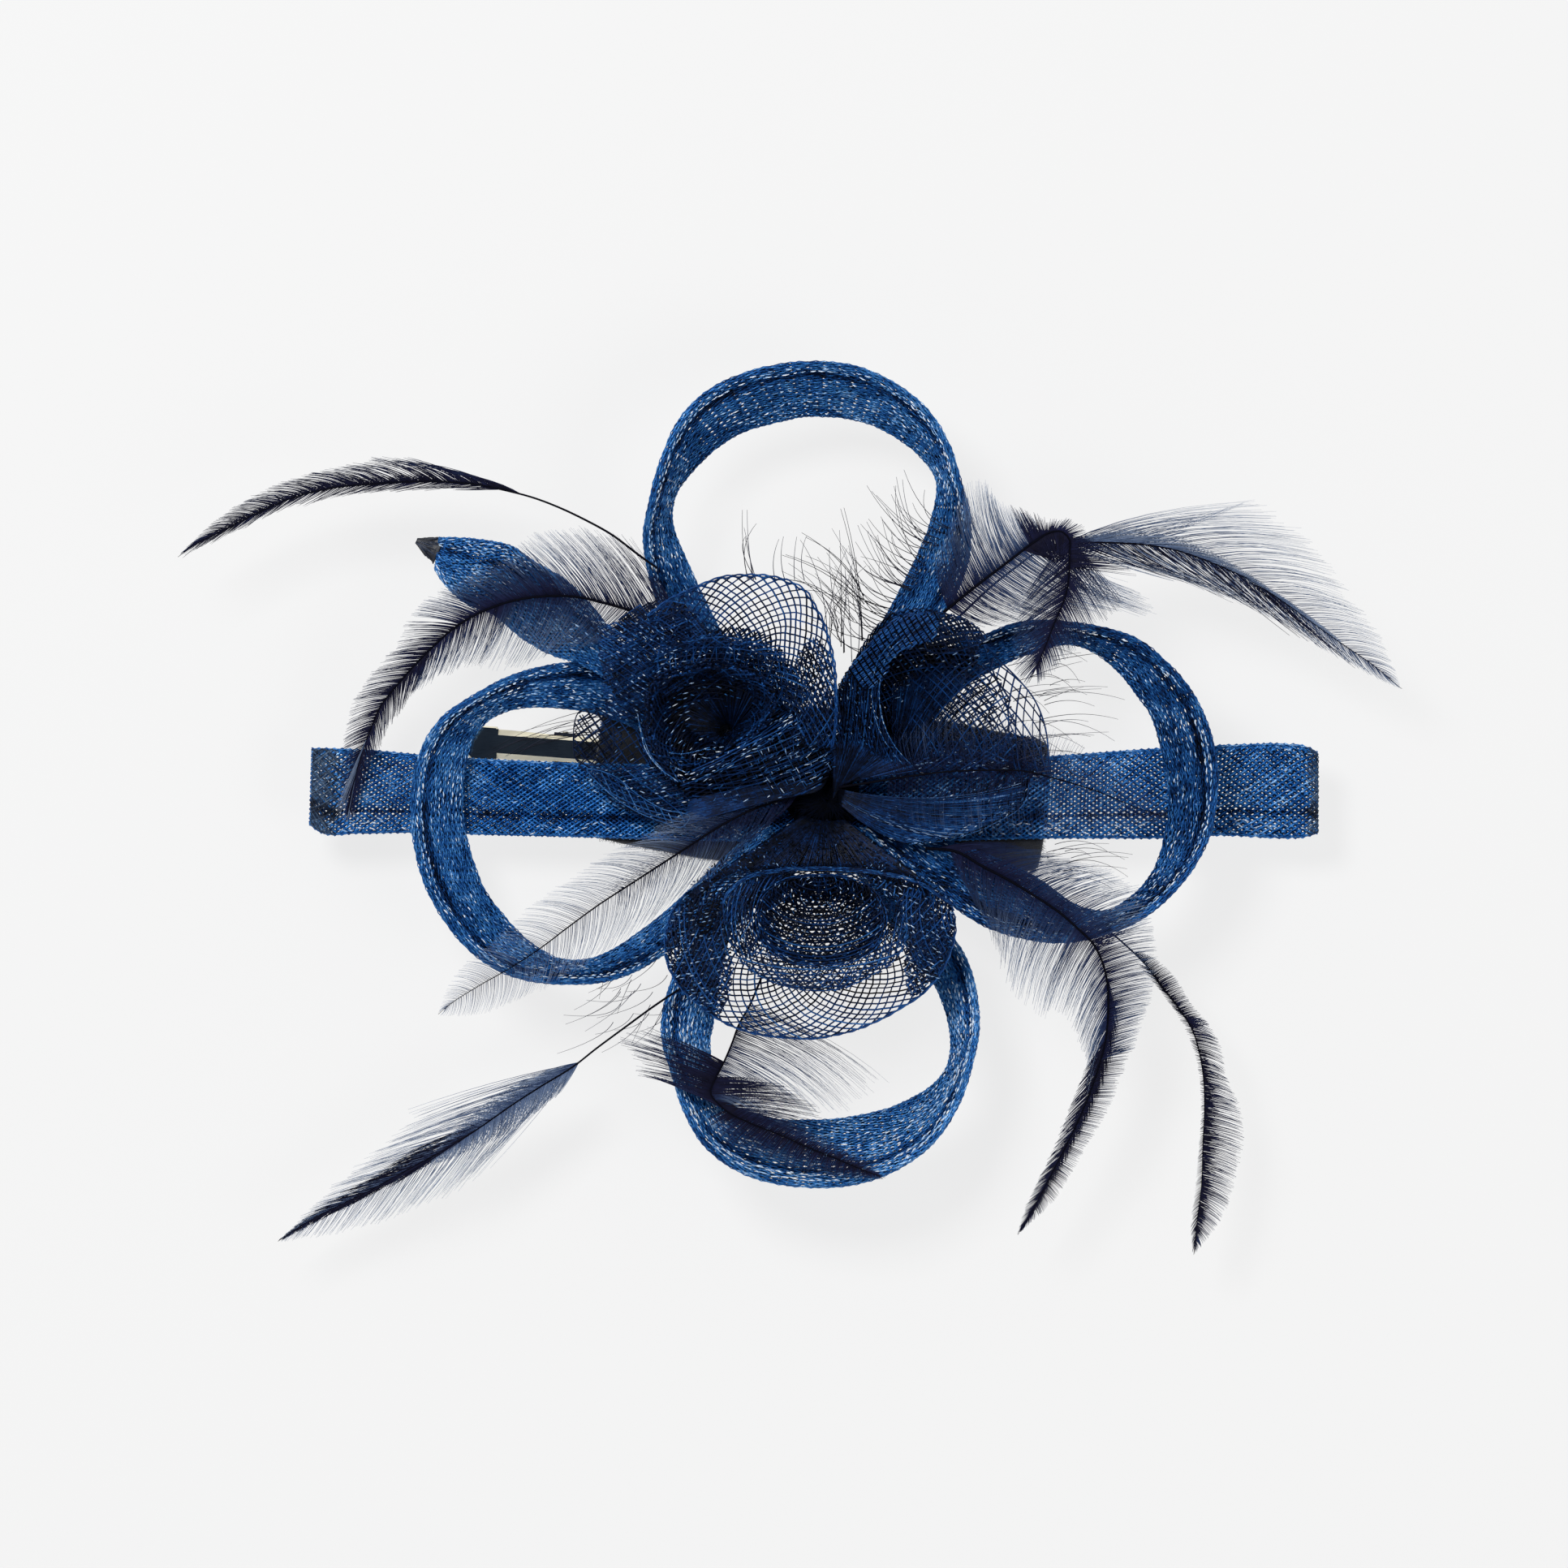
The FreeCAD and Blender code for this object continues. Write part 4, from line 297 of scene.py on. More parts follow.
        (102.3, 45.05, 14.3, 96.2, 30.2, 14.3), (108.9, 36.8, 13.5, 103.62, 26.89, 13.5),
        (113.52, 30.2, 12.8, 110.22, 23.1, 12.8), (117.98, 20.96, 12.2, 117.32, 19.96, 12.2),
    ]),
    "feather_centre_right": ("feather_thick", False, [
        (6.27, 1.49, 12, 6.27, 0.17, 12), (11.22, 3.3, 13.6, 11.22, 0.33, 13.6),
        (17.82, 7.92, 15.2, 16.5, -1.98, 15.2), (26.07, 11.22, 16.6, 24.42, -4.46, 16.6),
        (35.15, 12.04, 16.8, 32.67, -6.11, 16.8), (42.57, 11.22, 16.5, 39.27, -6.44, 16.5),
        (49.5, 9.08, 15.2, 45.54, -6.93, 15.2), (57.42, 5.45, 13.2, 53.79, -7.43, 13.2),
        (65.34, 0.17, 11, 62.37, -7.76, 11), (71.12, -5.28, 9.4, 70.62, -6.44, 9.4),
    ]),
}

# Feathers: quill radius at root and tip, quill line, then each row of barbs
# (from, to, count, width, bend, jitter, tone at quill, tone at end, line of barb ends), mm
FEATHERS = {
    "feather_upper_left": (0.2, 0.07, [
        (-33.33, 44.88, 17.63), (-37.45, 47.85, 18), (-42.24, 51.48, 18.2), (-47.85, 54.62, 18.3),
        (-53.46, 57.26, 18.3), (-58.25, 59.07, 18.2), (-63.86, 60.55, 18.02), (-68.64, 61.55, 17.77),
        (-74.25, 62.21, 17.45), (-82.67, 62.37, 16.92), (-90.92, 61.88, 16.35), (-99.33, 61.05, 15.72),
        (-106.26, 59.4, 15.06), (-113.19, 56.6, 14.44), (-120.12, 53.13, 13.95), (-127.05, 49.66, 13.58),
        (-130.52, 47.19, 13.4),
    ], [
        (0.3, 0.97, 330, 0.17, 0.1, 0.1, 0, 0.35, [
            (-74.58, 64.35, 17.41), (-81.18, 66.17, 17), (-88.77, 67.16, 16.5), (-96.86, 65.67, 16.01),
            (-104.61, 63.86, 15.3), (-112.53, 60.89, 14.6), (-119.13, 57.26, 14.12), (-125.4, 52.47, 13.72),
            (-130.52, 47.36, 13.4),
        ]),
        (0.34, 0.95, 170, 0.15, 0.02, 0.2, 0, 0.25, [
            (-74.58, 61.05, 17.44), (-84.48, 60.55, 16.8), (-94.38, 59.73, 16.11), (-100.98, 58.74, 15.54),
            (-110.55, 55.94, 14.58), (-118.8, 52.3, 13.97), (-125.73, 49.01, 13.61), (-130.35, 46.86, 13.4),
        ]),
        (0.45, 0.98, 150, 0.17, 0.02, 0.3, 0, 0.1, [
            (-81.18, 63.86, 17.01), (-91.08, 63.53, 16.36), (-100.98, 62.04, 15.59), (-109.23, 59.57, 14.82),
            (-117.48, 55.61, 14.17), (-125.73, 50.98, 13.67), (-130.52, 47.36, 13.4),
        ]),
    ]),
    "feather_left": (0.26, 0.1, [
        (-25.08, 28.21, 12.6), (-29.7, 32.01, 12.9), (-34.98, 34.65, 13.1), (-39.27, 36.47, 13.19),
        (-44.39, 37.95, 13.2), (-49.66, 39.11, 13.2), (-54.95, 39.27, 13.1), (-60.23, 38.77, 13.01),
        (-65.51, 37.45, 12.74), (-70.78, 35.15, 12.38), (-74.91, 32.51, 11.93), (-79.2, 28.71, 11.1),
        (-82.34, 25.58, 10.27), (-86.46, 20.96, 9.12), (-89.76, 16.66, 8.05), (-91.74, 12.04, 7.24),
        (-93.39, 7.92, 6.57), (-94.88, 2.31, 6.1), (-96.2, -3.47, 5.84), (-96.69, -6.6, 5.7),
    ], [
        (0.03, 0.3, 200, 0.13, 0.06, 0.16, 0.25, 0.9, [
            (-39.77, 52.47, 13.2), (-46.53, 53.3, 13.2), (-49.5, 53.62, 13.2), (-52.3, 53.13, 13.18),
            (-55.77, 52.8, 13.11), (-60.23, 51.15, 13.04), (-61.38, 48.68, 13.01),
        ]),
        (0.3, 0.52, 200, 0.15, 0.05, 0.14, 0.1, 0.7, [
            (-61.38, 50.33, 13.02), (-66.33, 46.7, 12.9), (-71.28, 44.05, 12.6), (-75.9, 41.41, 12.19),
            (-81.18, 38.12, 11.64), (-83.66, 35.15, 11.05),
        ]),
        (0.52, 0.97, 260, 0.17, 0.04, 0.14, 0, 0.45, [
            (-84.48, 34.32, 11), (-86.13, 30.2, 10.38), (-89.76, 25.58, 9.34), (-93.06, 21.62, 8.48),
            (-96.03, 16.17, 7.6), (-97.02, 12.04, 6.96), (-97.68, 3.8, 6.17), (-97.68, -1.98, 5.89),
            (-96.69, -6.44, 5.7),
        ]),
        (0.1, 0.42, 150, 0.13, -0.05, 0.18, 0.3, 0.9, [
            (-45.71, 30.2, 13.2), (-51.48, 27.72, 13.15), (-57.26, 26.07, 12.88), (-63.03, 24.26, 12.54),
            (-69.63, 23.93, 12.09),
        ]),
        (0.4, 0.62, 150, 0.15, -0.05, 0.16, 0.1, 0.7, [
            (-67.98, 26.07, 12.3), (-72.93, 24.26, 11.58), (-79.2, 21.95, 10.16), (-83.66, 18.98, 9.2),
        ]),
        (0.6, 0.97, 220, 0.17, -0.02, 0.16, 0, 0.35, [
            (-82.5, 20.3, 9.52), (-85.8, 15.35, 8.26), (-89.43, 9.57, 7), (-91.74, 4.62, 6.34),
            (-93.39, -1.16, 5.96), (-95.37, -5.78, 5.74),
        ]),
        (0.82, 0.985, 30, 0.12, 0.02, 0.02, 0.7, 1, [
            (-99, -3.8, 5.8), (-98.01, -5.45, 5.74), (-97.02, -6.44, 5.7), (-96.03, -6.11, 5.72),
            (-94.38, -4.79, 5.79),
        ]),
    ]),
    "feather_centre_left": (0.22, 0.07, [
        (-2.31, -0.33, 9.6), (-8.42, -2.15, 9.87), (-14.52, -4.29, 10.77), (-20.62, -7.43, 11.74),
        (-26.73, -11.38, 12.68), (-32.84, -15.35, 13.65), (-38.94, -19.3, 14.83), (-45.05, -23.27, 15.85),
        (-51.15, -27.72, 16.69), (-57.26, -32.34, 16.97), (-63.36, -36.3, 16.69), (-69.47, -39.77, 15.51),
        (-75.57, -43.73, 13.66), (-77.72, -45.54, 13),
    ], [
        (0.03, 0.98, 300, 0.095, 0.09, 0.1, 0.45, 1, [
            (-20.13, -1.98, 11.31), (-26.73, -4.46, 12.18), (-34.98, -8.58, 13.34), (-43.23, -12.71, 14.85),
            (-51.48, -18.15, 16.12), (-58.91, -23.43, 16.88), (-65.51, -29.21, 16.79), (-71.28, -34.16, 15.78),
            (-75.9, -39.93, 14.1), (-77.72, -45.38, 13),
        ]),
        (0.03, 0.98, 300, 0.095, -0.09, 0.1, 0.45, 1, [
            (-18.48, -12.71, 11.89), (-23.43, -18.48, 12.88), (-30.03, -23.43, 13.95), (-37.45, -29.21, 15.42),
            (-44.88, -34.16, 16.54), (-51.48, -37.95, 16.93), (-58.91, -41.58, 16.74), (-66.33, -44.88, 15.53),
            (-72.93, -46.04, 13.95), (-77.39, -45.87, 13),
        ]),
        (0.12, 0.5, 80, 0.11, 0.03, 0.2, 0, 0.5, [
            (-18.48, -2.81, 11.16), (-28.38, -7.76, 12.6), (-36.63, -14.36, 14.08), (-44.88, -20.13, 15.6),
        ]),
        (0.12, 0.5, 80, 0.11, -0.03, 0.2, 0, 0.5, [
            (-16, -8.58, 11.24), (-25.08, -14.36, 12.71), (-33.33, -20.13, 14.12), (-41.58, -25.91, 15.65),
        ]),
    ]),
    "feather_lower_left": (0.19, 0.07, [
        (-26.73, -39.11, 11.2), (-34.16, -44.05, 12.45), (-40.26, -48.51, 12.6), (-46.04, -52.8, 12.2),
        (-50, -55.94, 11.81), (-57.42, -60.55, 11.11), (-63.03, -64.19, 10.51), (-68.64, -68.15, 9.99),
        (-74.42, -71.94, 9.39), (-80.03, -75.08, 8.83), (-85.8, -78.21, 8.22), (-91.41, -81.34, 7.66),
        (-97.19, -84.15, 7.15), (-102.8, -86.95, 6.73), (-107.42, -89.76, 6.47), (-110.55, -91.91, 6.3),
    ], [
        (0.28, 0.97, 170, 0.12, 0.03, 0.1, 0.5, 0.95, [
            (-83.66, -66.5, 8.94), (-85.8, -69.14, 8.66), (-88.61, -72.11, 8.29), (-92.4, -75.08, 7.88),
            (-96.36, -78.21, 7.42), (-100.32, -81.67, 7.03), (-104.28, -85.31, 6.7), (-107.25, -88.61, 6.51),
            (-110.22, -91.58, 6.32),
        ]),
        (0.28, 0.97, 170, 0.12, -0.03, 0.1, 0.5, 0.95, [
            (-67.98, -75.08, 9.71), (-72.11, -79.53, 9.22), (-77.06, -83, 8.69), (-82.83, -85.31, 8.12),
            (-88.61, -87.45, 7.6), (-94.38, -89.27, 7.17), (-100.16, -90.59, 6.79), (-105.11, -91.41, 6.53),
            (-110.22, -92.07, 6.31),
        ]),
        (0.28, 0.62, 230, 0.2, 0.03, 0.1, 0.62, 0.95, [
            (-56.76, -57.59, 11.3), (-62.7, -59.9, 10.72), (-67.65, -62.87, 10.27), (-71.94, -66.5, 9.82),
            (-75.57, -70.12, 9.38), (-78.7, -73.42, 9),
        ]),
        (0.28, 0.64, 230, 0.2, -0.03, 0.1, 0.62, 0.95, [
            (-53.13, -61.55, 11.36), (-58.08, -65.84, 10.8), (-63.86, -69.8, 10.22), (-68.81, -72.44, 9.78),
            (-74.25, -74.75, 9.28), (-79.53, -76.73, 8.8),
        ]),
        (0.48, 0.99, 170, 0.2, 0.02, 0.2, 0, 0.08, [
            (-84.48, -74.42, 8.51), (-90.26, -77.88, 7.91), (-96.36, -81.34, 7.31), (-101.81, -84.81, 6.85),
            (-106.59, -88.28, 6.54), (-110.55, -91.74, 6.3),
        ]),
        (0.52, 0.99, 150, 0.18, -0.02, 0.2, 0, 0.1, [
            (-83.66, -78.05, 8.4), (-89.76, -81.34, 7.78), (-96.03, -84.65, 7.22), (-101.97, -87.78, 6.76),
            (-106.92, -90.26, 6.48), (-110.39, -92.07, 6.3),
        ]),
    ]),
    "feather_bottom": (0.19, 0.07, [
        (-11.88, -37.45, 10.6), (-14.69, -44.05, 10.85), (-16.66, -47.52, 11.97), (-18.15, -51.48, 13.39),
        (-19.8, -55.28, 15.42), (-21.78, -59.23, 18.02), (-22.44, -61.05, 18.54), (-19.8, -64.52, 19.31),
        (-14.36, -67.48, 19.5), (-8.42, -69.8, 19.5), (-2.64, -72.44, 19.4), (3.14, -74.75, 19.17),
        (9.08, -77.22, 18.83), (12.87, -78.54, 18.6),
    ], [
        (0.3, 0.48, 150, 0.17, 0.05, 0.2, 0, 0.4, [
            (-34.98, -48.68, 15.6), (-41.25, -50.66, 15.6), (-39.11, -53.96, 16.81), (-37.62, -57.26, 17.8),
            (-33.33, -58.08, 17.8), (-28.71, -58.41, 17.8),
        ]),
        (0.1, 0.44, 190, 0.11, -0.1, 0.25, 0.3, 1, [
            (14.03, -58.91, 19), (10.4, -62.21, 19.02), (4.62, -65.84, 19.22), (-1.98, -66.33, 19.44),
            (-8.58, -65.84, 19.5), (-14.36, -65.51, 19.5),
        ]),
        (0.36, 0.52, 130, 0.18, -0.05, 0.2, 0, 0.3, [
            (-10.23, -58.91, 19.5), (-4.46, -61.38, 19.5), (0.49, -66.33, 19.36), (-1.16, -69.14, 19.39),
            (-5.28, -69.63, 19.5),
        ]),
        (0.5, 0.98, 240, 0.16, 0.05, 0.14, 0, 0.5, [
            (-14.36, -63.53, 19.5), (-8.58, -65.84, 19.5), (-2.81, -68.48, 19.44), (2.97, -71.28, 19.22),
            (8.25, -74.42, 18.94), (12.71, -78.21, 18.6),
        ]),
        (0.48, 0.98, 260, 0.16, -0.06, 0.14, 0, 0.5, [
            (-23.76, -67.16, 19.27), (-20.96, -70.78, 19.5), (-15.18, -73.76, 19.5), (-8.58, -76.06, 19.5),
            (-1.98, -77.72, 19.34), (5.45, -78.7, 19.01), (12.54, -78.87, 18.6),
        ]),
    ]),
    "feather_lower_right": (0.26, 0.08, [
        (21.12, -11.88, 10.64), (27.72, -12.71, 11.83), (32.01, -15.18, 12.84), (37.62, -18.15, 14.28),
        (43.07, -21.45, 15.71), (48.02, -24.75, 16.93), (51.81, -28.05, 17.6), (55.11, -31.35, 17.8),
        (56.93, -35.15, 17.74), (57.92, -39.44, 17.4), (58.08, -43.89, 16.94), (57.59, -50.49, 15.67),
        (55.61, -58.08, 14.37), (52.97, -65.17, 13.11), (49.66, -72.27, 11.82), (45.71, -80.03, 10.59),
        (42.57, -85.97, 9.92), (39.93, -90.42, 9.4),
    ], [
        (0.02, 0.4, 260, 0.14, 0.08, 0.15, 0.2, 0.9, [
            (37.62, -11.05, 13.46), (45.87, -12.71, 15.2), (54.12, -14.69, 16.55), (59.9, -16.83, 17.2),
            (64.84, -19.8, 17.77), (66.17, -23.43, 17.8), (67.16, -27.39, 17.8),
        ]),
        (0.38, 0.62, 190, 0.15, 0.07, 0.13, 0.1, 0.75, [
            (67.32, -27.39, 17.8), (68.15, -33.99, 17.49), (67.16, -41.75, 17), (65.51, -46.04, 16.52),
            (63.53, -52.64, 15.4),
        ]),
        (0.6, 0.98, 250, 0.17, 0.04, 0.12, 0, 0.45, [
            (63.53, -51.48, 15.48), (61.05, -58.08, 14.58), (58.91, -63.53, 13.72), (55.11, -70.62, 12.44),
            (51.81, -76.23, 11.47), (48.02, -82.67, 10.5), (39.93, -90.42, 9.4),
        ]),
        (0.05, 0.36, 200, 0.13, -0.08, 0.2, 0.3, 1, [
            (31.02, -22.61, 13.48), (34.32, -29.04, 14.95), (36.3, -34.98, 16.44), (38.12, -40.59, 17.8),
            (41.25, -44.39, 17.54), (45.71, -46.7, 16.4),
        ]),
        (0.34, 0.6, 170, 0.14, -0.06, 0.16, 0.15, 0.9, [
            (44.22, -44.88, 17.42), (49.01, -45.71, 16.59), (51.15, -49.83, 15.8), (53.13, -54.29, 14.85),
            (53.46, -62.54, 13.55),
        ]),
        (0.58, 0.98, 220, 0.17, -0.02, 0.14, 0, 0.3, [
            (53.13, -57.26, 14.4), (50.82, -63.03, 13.31), (48.34, -69.63, 12.13), (45.05, -77.06, 10.92),
            (41.25, -85.31, 9.91), (39.77, -90.26, 9.41),
        ]),
        (0.45, 0.99, 260, 0.2, 0.02, 0.25, 0, 0.05, [
            (59.9, -45.71, 16.59), (59.57, -52.3, 15.4), (57.42, -58.91, 14.31), (54.62, -66.33, 13.03),
            (51.15, -72.93, 11.83), (46.86, -80.69, 10.6), (40.26, -90.26, 9.44),
        ]),
    ]),
    "feather_right_tip": (0.19, 0.07, [
        (31.02, -16.5, 4.1), (41.25, -20.13, 4.1), (50.82, -24.92, 4.2), (59.23, -29.37, 4.81),
        (62.7, -32.34, 5.82), (66, -35.64, 6.65), (69.3, -40.09, 7.67), (72.6, -44.39, 8.54),
        (75.41, -48.84, 9.16), (76.89, -53.79, 9.49), (77.72, -59.23, 9.6), (77.88, -63.53, 9.54),
        (77.55, -72.27, 9.21), (77.22, -81.02, 8.74), (76.4, -87.62, 8.21), (75.73, -94.55, 7.6),
    ], [
        (0.36, 0.55, 150, 0.17, 0.05, 0.12, 0, 0.3, [
            (64.84, -32.84, 6.18), (68.97, -34.98, 6.99), (72.27, -38.45, 7.76), (75.57, -43.73, 8.69),
            (78.87, -47.69, 9.22),
        ]),
        (0.52, 0.98, 320, 0.16, 0.06, 0.12, 0, 0.5, [
            (78.38, -47.03, 9.16), (81.02, -51.48, 9.45), (82.67, -58.91, 9.6), (84.81, -63.53, 9.51),
            (85.97, -69.14, 9.33), (85.64, -73.92, 9.16), (84.48, -78.38, 8.93), (83, -83.82, 8.65),
            (80.19, -89.27, 8.18), (76.06, -94.38, 7.61),
        ]),
        (0.4, 0.98, 220, 0.16, -0.02, 0.16, 0, 0.25, [
            (64.02, -35.15, 6.31), (68.15, -40.09, 7.55), (71.94, -45.38, 8.6), (74.75, -50.66, 9.26),
            (76.23, -55.61, 9.55), (77.06, -63.86, 9.53), (76.56, -73.76, 9.11), (75.73, -82.83, 8.55),
            (75.08, -88.61, 8.08), (75.41, -94.38, 7.6),
        ]),
        (0.6, 0.99, 200, 0.2, 0.02, 0.3, 0, 0.05, [
            (78.87, -53.96, 9.52), (80.52, -60.55, 9.6), (81.02, -70.45, 9.28), (80.19, -78.7, 8.88),
            (78.7, -86.95, 8.31), (75.9, -94.38, 7.61),
        ]),
    ]),
    "feather_curled": (0.26, 0.08, [
        (24.59, 35.8, 19.2), (31.35, 41.25, 19.81), (37.45, 45.87, 20.42), (43.4, 50.33, 21.44),
        (46.2, 51.98, 21.76), (48.51, 52.14, 21.97), (50.16, 50.33, 22.05), (50.16, 48.02, 22.16),
        (49.5, 39.93, 21.78), (46.86, 33.16, 21.26), (44.22, 26.4, 20.76), (41.91, 21.62, 20.4),
    ], [
        (0.02, 0.42, 300, 0.13, 0.08, 0.12, 0.42, 0.95, [
            (22.77, 46.7, 19.68), (25.25, 53.3, 20.07), (27.72, 59.07, 20.4), (29.7, 62.54, 20.8),
            (32.34, 62.7, 21), (34.65, 59.4, 21), (37.29, 57.92, 21), (42.73, 54.95, 21.5),
        ]),
        (0.02, 0.42, 280, 0.12, -0.08, 0.14, 0.42, 0.98, [
            (33.5, 32.67, 19.44), (40.09, 33.5, 21.15), (47.52, 34.32, 21.35), (55.77, 35.15, 21.65),
            (63.2, 36.47, 22), (67.65, 34.48, 22), (64.02, 40.09, 22),
        ]),
        (0.33, 0.52, 170, 0.2, 0, 0.12, 0, 0.12, [
            (46.2, 46.7, 22.09), (47.19, 46.04, 22.15), (48.02, 45.71, 22.13), (48.51, 46.04, 22.15),
            (48.84, 46.7, 22.18),
        ]),
        (0.36, 0.6, 190, 0.18, 0, 0.25, 0.05, 0.35, [
            (37.29, 58.58, 21), (41.25, 56.93, 21.35), (45.87, 54.95, 21.64), (50.49, 54.95, 22),
            (54.95, 51.65, 22.15), (60.06, 48.02, 22.2), (64.35, 43.23, 22.06),
        ]),
        (0.5, 0.95, 170, 0.16, 0.03, 0.16, 0.05, 0.55, [
            (61.55, 37.62, 22), (57.42, 33.83, 21.61), (53.79, 30.53, 21.3), (50.49, 27.23, 20.92),
            (47.19, 23.93, 20.66), (43.56, 20.96, 20.4),
        ]),
        (0.5, 0.95, 170, 0.16, -0.03, 0.16, 0.05, 0.55, [
            (41.25, 39.77, 21.5), (39.27, 34.82, 21.2), (38.28, 30.2, 20.91), (38.12, 26.57, 20.64),
            (39.27, 23.27, 20.44), (41.25, 20.96, 20.4),
        ]),
    ]),
    "feather_upper_right": (0.21, 0.06, [
        (26.89, 34.16, 17.2), (37.62, 43.73, 17.5), (47.36, 49.66, 17.8), (51.48, 50, 17.79),
        (58.25, 50, 17.61), (65.01, 49.66, 17.3), (71.78, 48.51, 16.86), (78.54, 46.2, 16.32),
        (85.31, 43.23, 15.67), (91.91, 39.27, 14.88), (98.67, 34.48, 14.16), (105.44, 29.7, 13.42),
        (112.2, 25.08, 12.7), (117.81, 20.46, 12.2),
    ], [
        (0.2, 0.97, 210, 0.11, 0.1, 0.1, 0.45, 0.98, [
            (85.47, 58.74, 16.14), (90.42, 56.93, 15.78), (95.7, 53.62, 15.22), (100.32, 49.17, 14.91),
            (104.61, 43.07, 14.24), (108.73, 37.79, 13.66), (111.87, 33.5, 13.23), (114.51, 29.21, 12.8),
            (116.49, 24.42, 12.46), (117.65, 20.62, 12.21),
        ]),
        (0.2, 0.85, 280, 0.16, 0.05, 0.12, 0.65, 0.95, [
            (61.55, 53.13, 17.45), (68.97, 51.98, 17.05), (76.56, 49.83, 16.55), (83.98, 45.54, 15.88),
            (91.41, 40.43, 14.98), (98.67, 35.48, 14.22), (106.09, 29.7, 13.38),
        ]),
        (0.25, 0.97, 250, 0.13, -0.04, 0.12, 0.5, 0.98, [
            (70.62, 43.73, 16.97), (79.2, 40.59, 16.11), (87.12, 36.96, 15.28), (94.71, 32.84, 14.32),
            (101.15, 28.88, 13.68), (106.92, 25.58, 13.07), (112.7, 22.61, 12.55), (117.65, 20.3, 12.2),
        ]),
        (0.28, 0.72, 60, 0.19, -0.03, 0.05, 0, 0.3, [
            (75.57, 41.91, 16.56), (82.5, 39.27, 15.75), (89.76, 35.8, 14.82), (97.02, 31.52, 14.11),
            (103.95, 27.23, 13.37), (110.88, 23.6, 12.69),
        ]),
    ]),
    "feather_centre_right": (0.21, 0.07, [
        (3.47, 0.49, 12), (8.91, 1.32, 12.85), (17.16, 2.64, 15.18), (25.41, 3.63, 16.6),
        (33.66, 3.96, 16.79), (40.76, 3.8, 16.51), (47.19, 2.31, 15.31), (55.44, -0.17, 13.29),
        (63.69, -3.47, 11.07), (70.78, -5.94, 9.41),
    ], [
        (0.15, 0.97, 180, 0.1, 0.1, 0.1, 0.15, 0.7, [
            (11.22, 9.57, 13.99), (17.82, 12.87, 15.4), (26.07, 15.35, 16.61), (35.15, 16.17, 16.79),
            (44.22, 13.7, 16.3), (51.65, 10.07, 14.77), (59.07, 5.12, 12.87), (65.34, 0.17, 10.93),
            (71.12, -5.61, 9.4),
        ]),
        (0.15, 0.97, 180, 0.1, -0.1, 0.1, 0.15, 0.7, [
            (13.7, -6.11, 13.84), (21.12, -8.09, 15.79), (29.37, -9.74, 16.71), (37.62, -10.4, 16.6),
            (45.87, -10.07, 14.92), (53.79, -9.08, 12.98), (62.37, -7.76, 11.03), (70.95, -6.27, 9.4),
        ]),
    ]),
}


# ------------------------------------------------------------------ curve helpers (numpy, mm)
def hermite(points, count=None, closed=False, at=None):
    """Smooth curve through rows of any width, resampled evenly along its length."""
    P = np.asarray(points, float)
    if closed:
        P = np.vstack([P, P[:1]])
    k = len(P)
    seg = np.linalg.norm(np.diff(P, axis=0)[:, :3], axis=1)
    seg = np.maximum(seg, 1e-6)
    t = np.concatenate([[0], np.cumsum(seg)])
    M = np.zeros_like(P)
    d = np.diff(P, axis=0) / seg[:, None]
    for i in range(1, k - 1):
        w = seg[i - 1] / (seg[i - 1] + seg[i])
        M[i] = d[i - 1] * (1 - w) + d[i] * w
    if closed:
        w = seg[-1] / (seg[-1] + seg[0])
        M[0] = M[-1] = d[-1] * (1 - w) + d[0] * w
    else:
        M[0], M[-1] = d[0], d[-1]
    if at is None:
        at = np.linspace(0, t[-1], count)
    x = np.clip(np.asarray(at, float), 0, t[-1])
    i = np.clip(np.searchsorted(t, x, side="right") - 1, 0, k - 2)
    h = seg[i]
    s = ((x - t[i]) / h)[:, None]
    h = h[:, None]
    return ((2 * s**3 - 3 * s**2 + 1) * P[i] + (s**3 - 2 * s**2 + s) * h * M[i]
            + (-2 * s**3 + 3 * s**2) * P[i + 1] + (s**3 - s**2) * h * M[i + 1])


def unit(v):
    return v / np.maximum(np.linalg.norm(v, axis=-1, keepdims=True), 1e-9)


def noise1(x, seed, octaves=2):
    """Smooth seeded noise of one variable, about -1 to 1."""
    x = np.asarray(x, float)
    out = np.zeros_like(x)
    amp, total = 1.0, 0.0
    for o in range(octaves):
        i = np.floor(x).astype(np.int64)
        f = x - i
        f = f * f * (3 - 2 * f)

        def h(n):
            v = np.sin(n * 12.9898 + seed * 78.233 + o * 37.7) * 43758.5453
            return (v - np.floor(v)) * 2 - 1

        out += amp * (h(i) * (1 - f) + h(i + 1) * f)
        total += amp
        amp *= 0.5
        x = x * 2.03 + 11.7
    return out / total


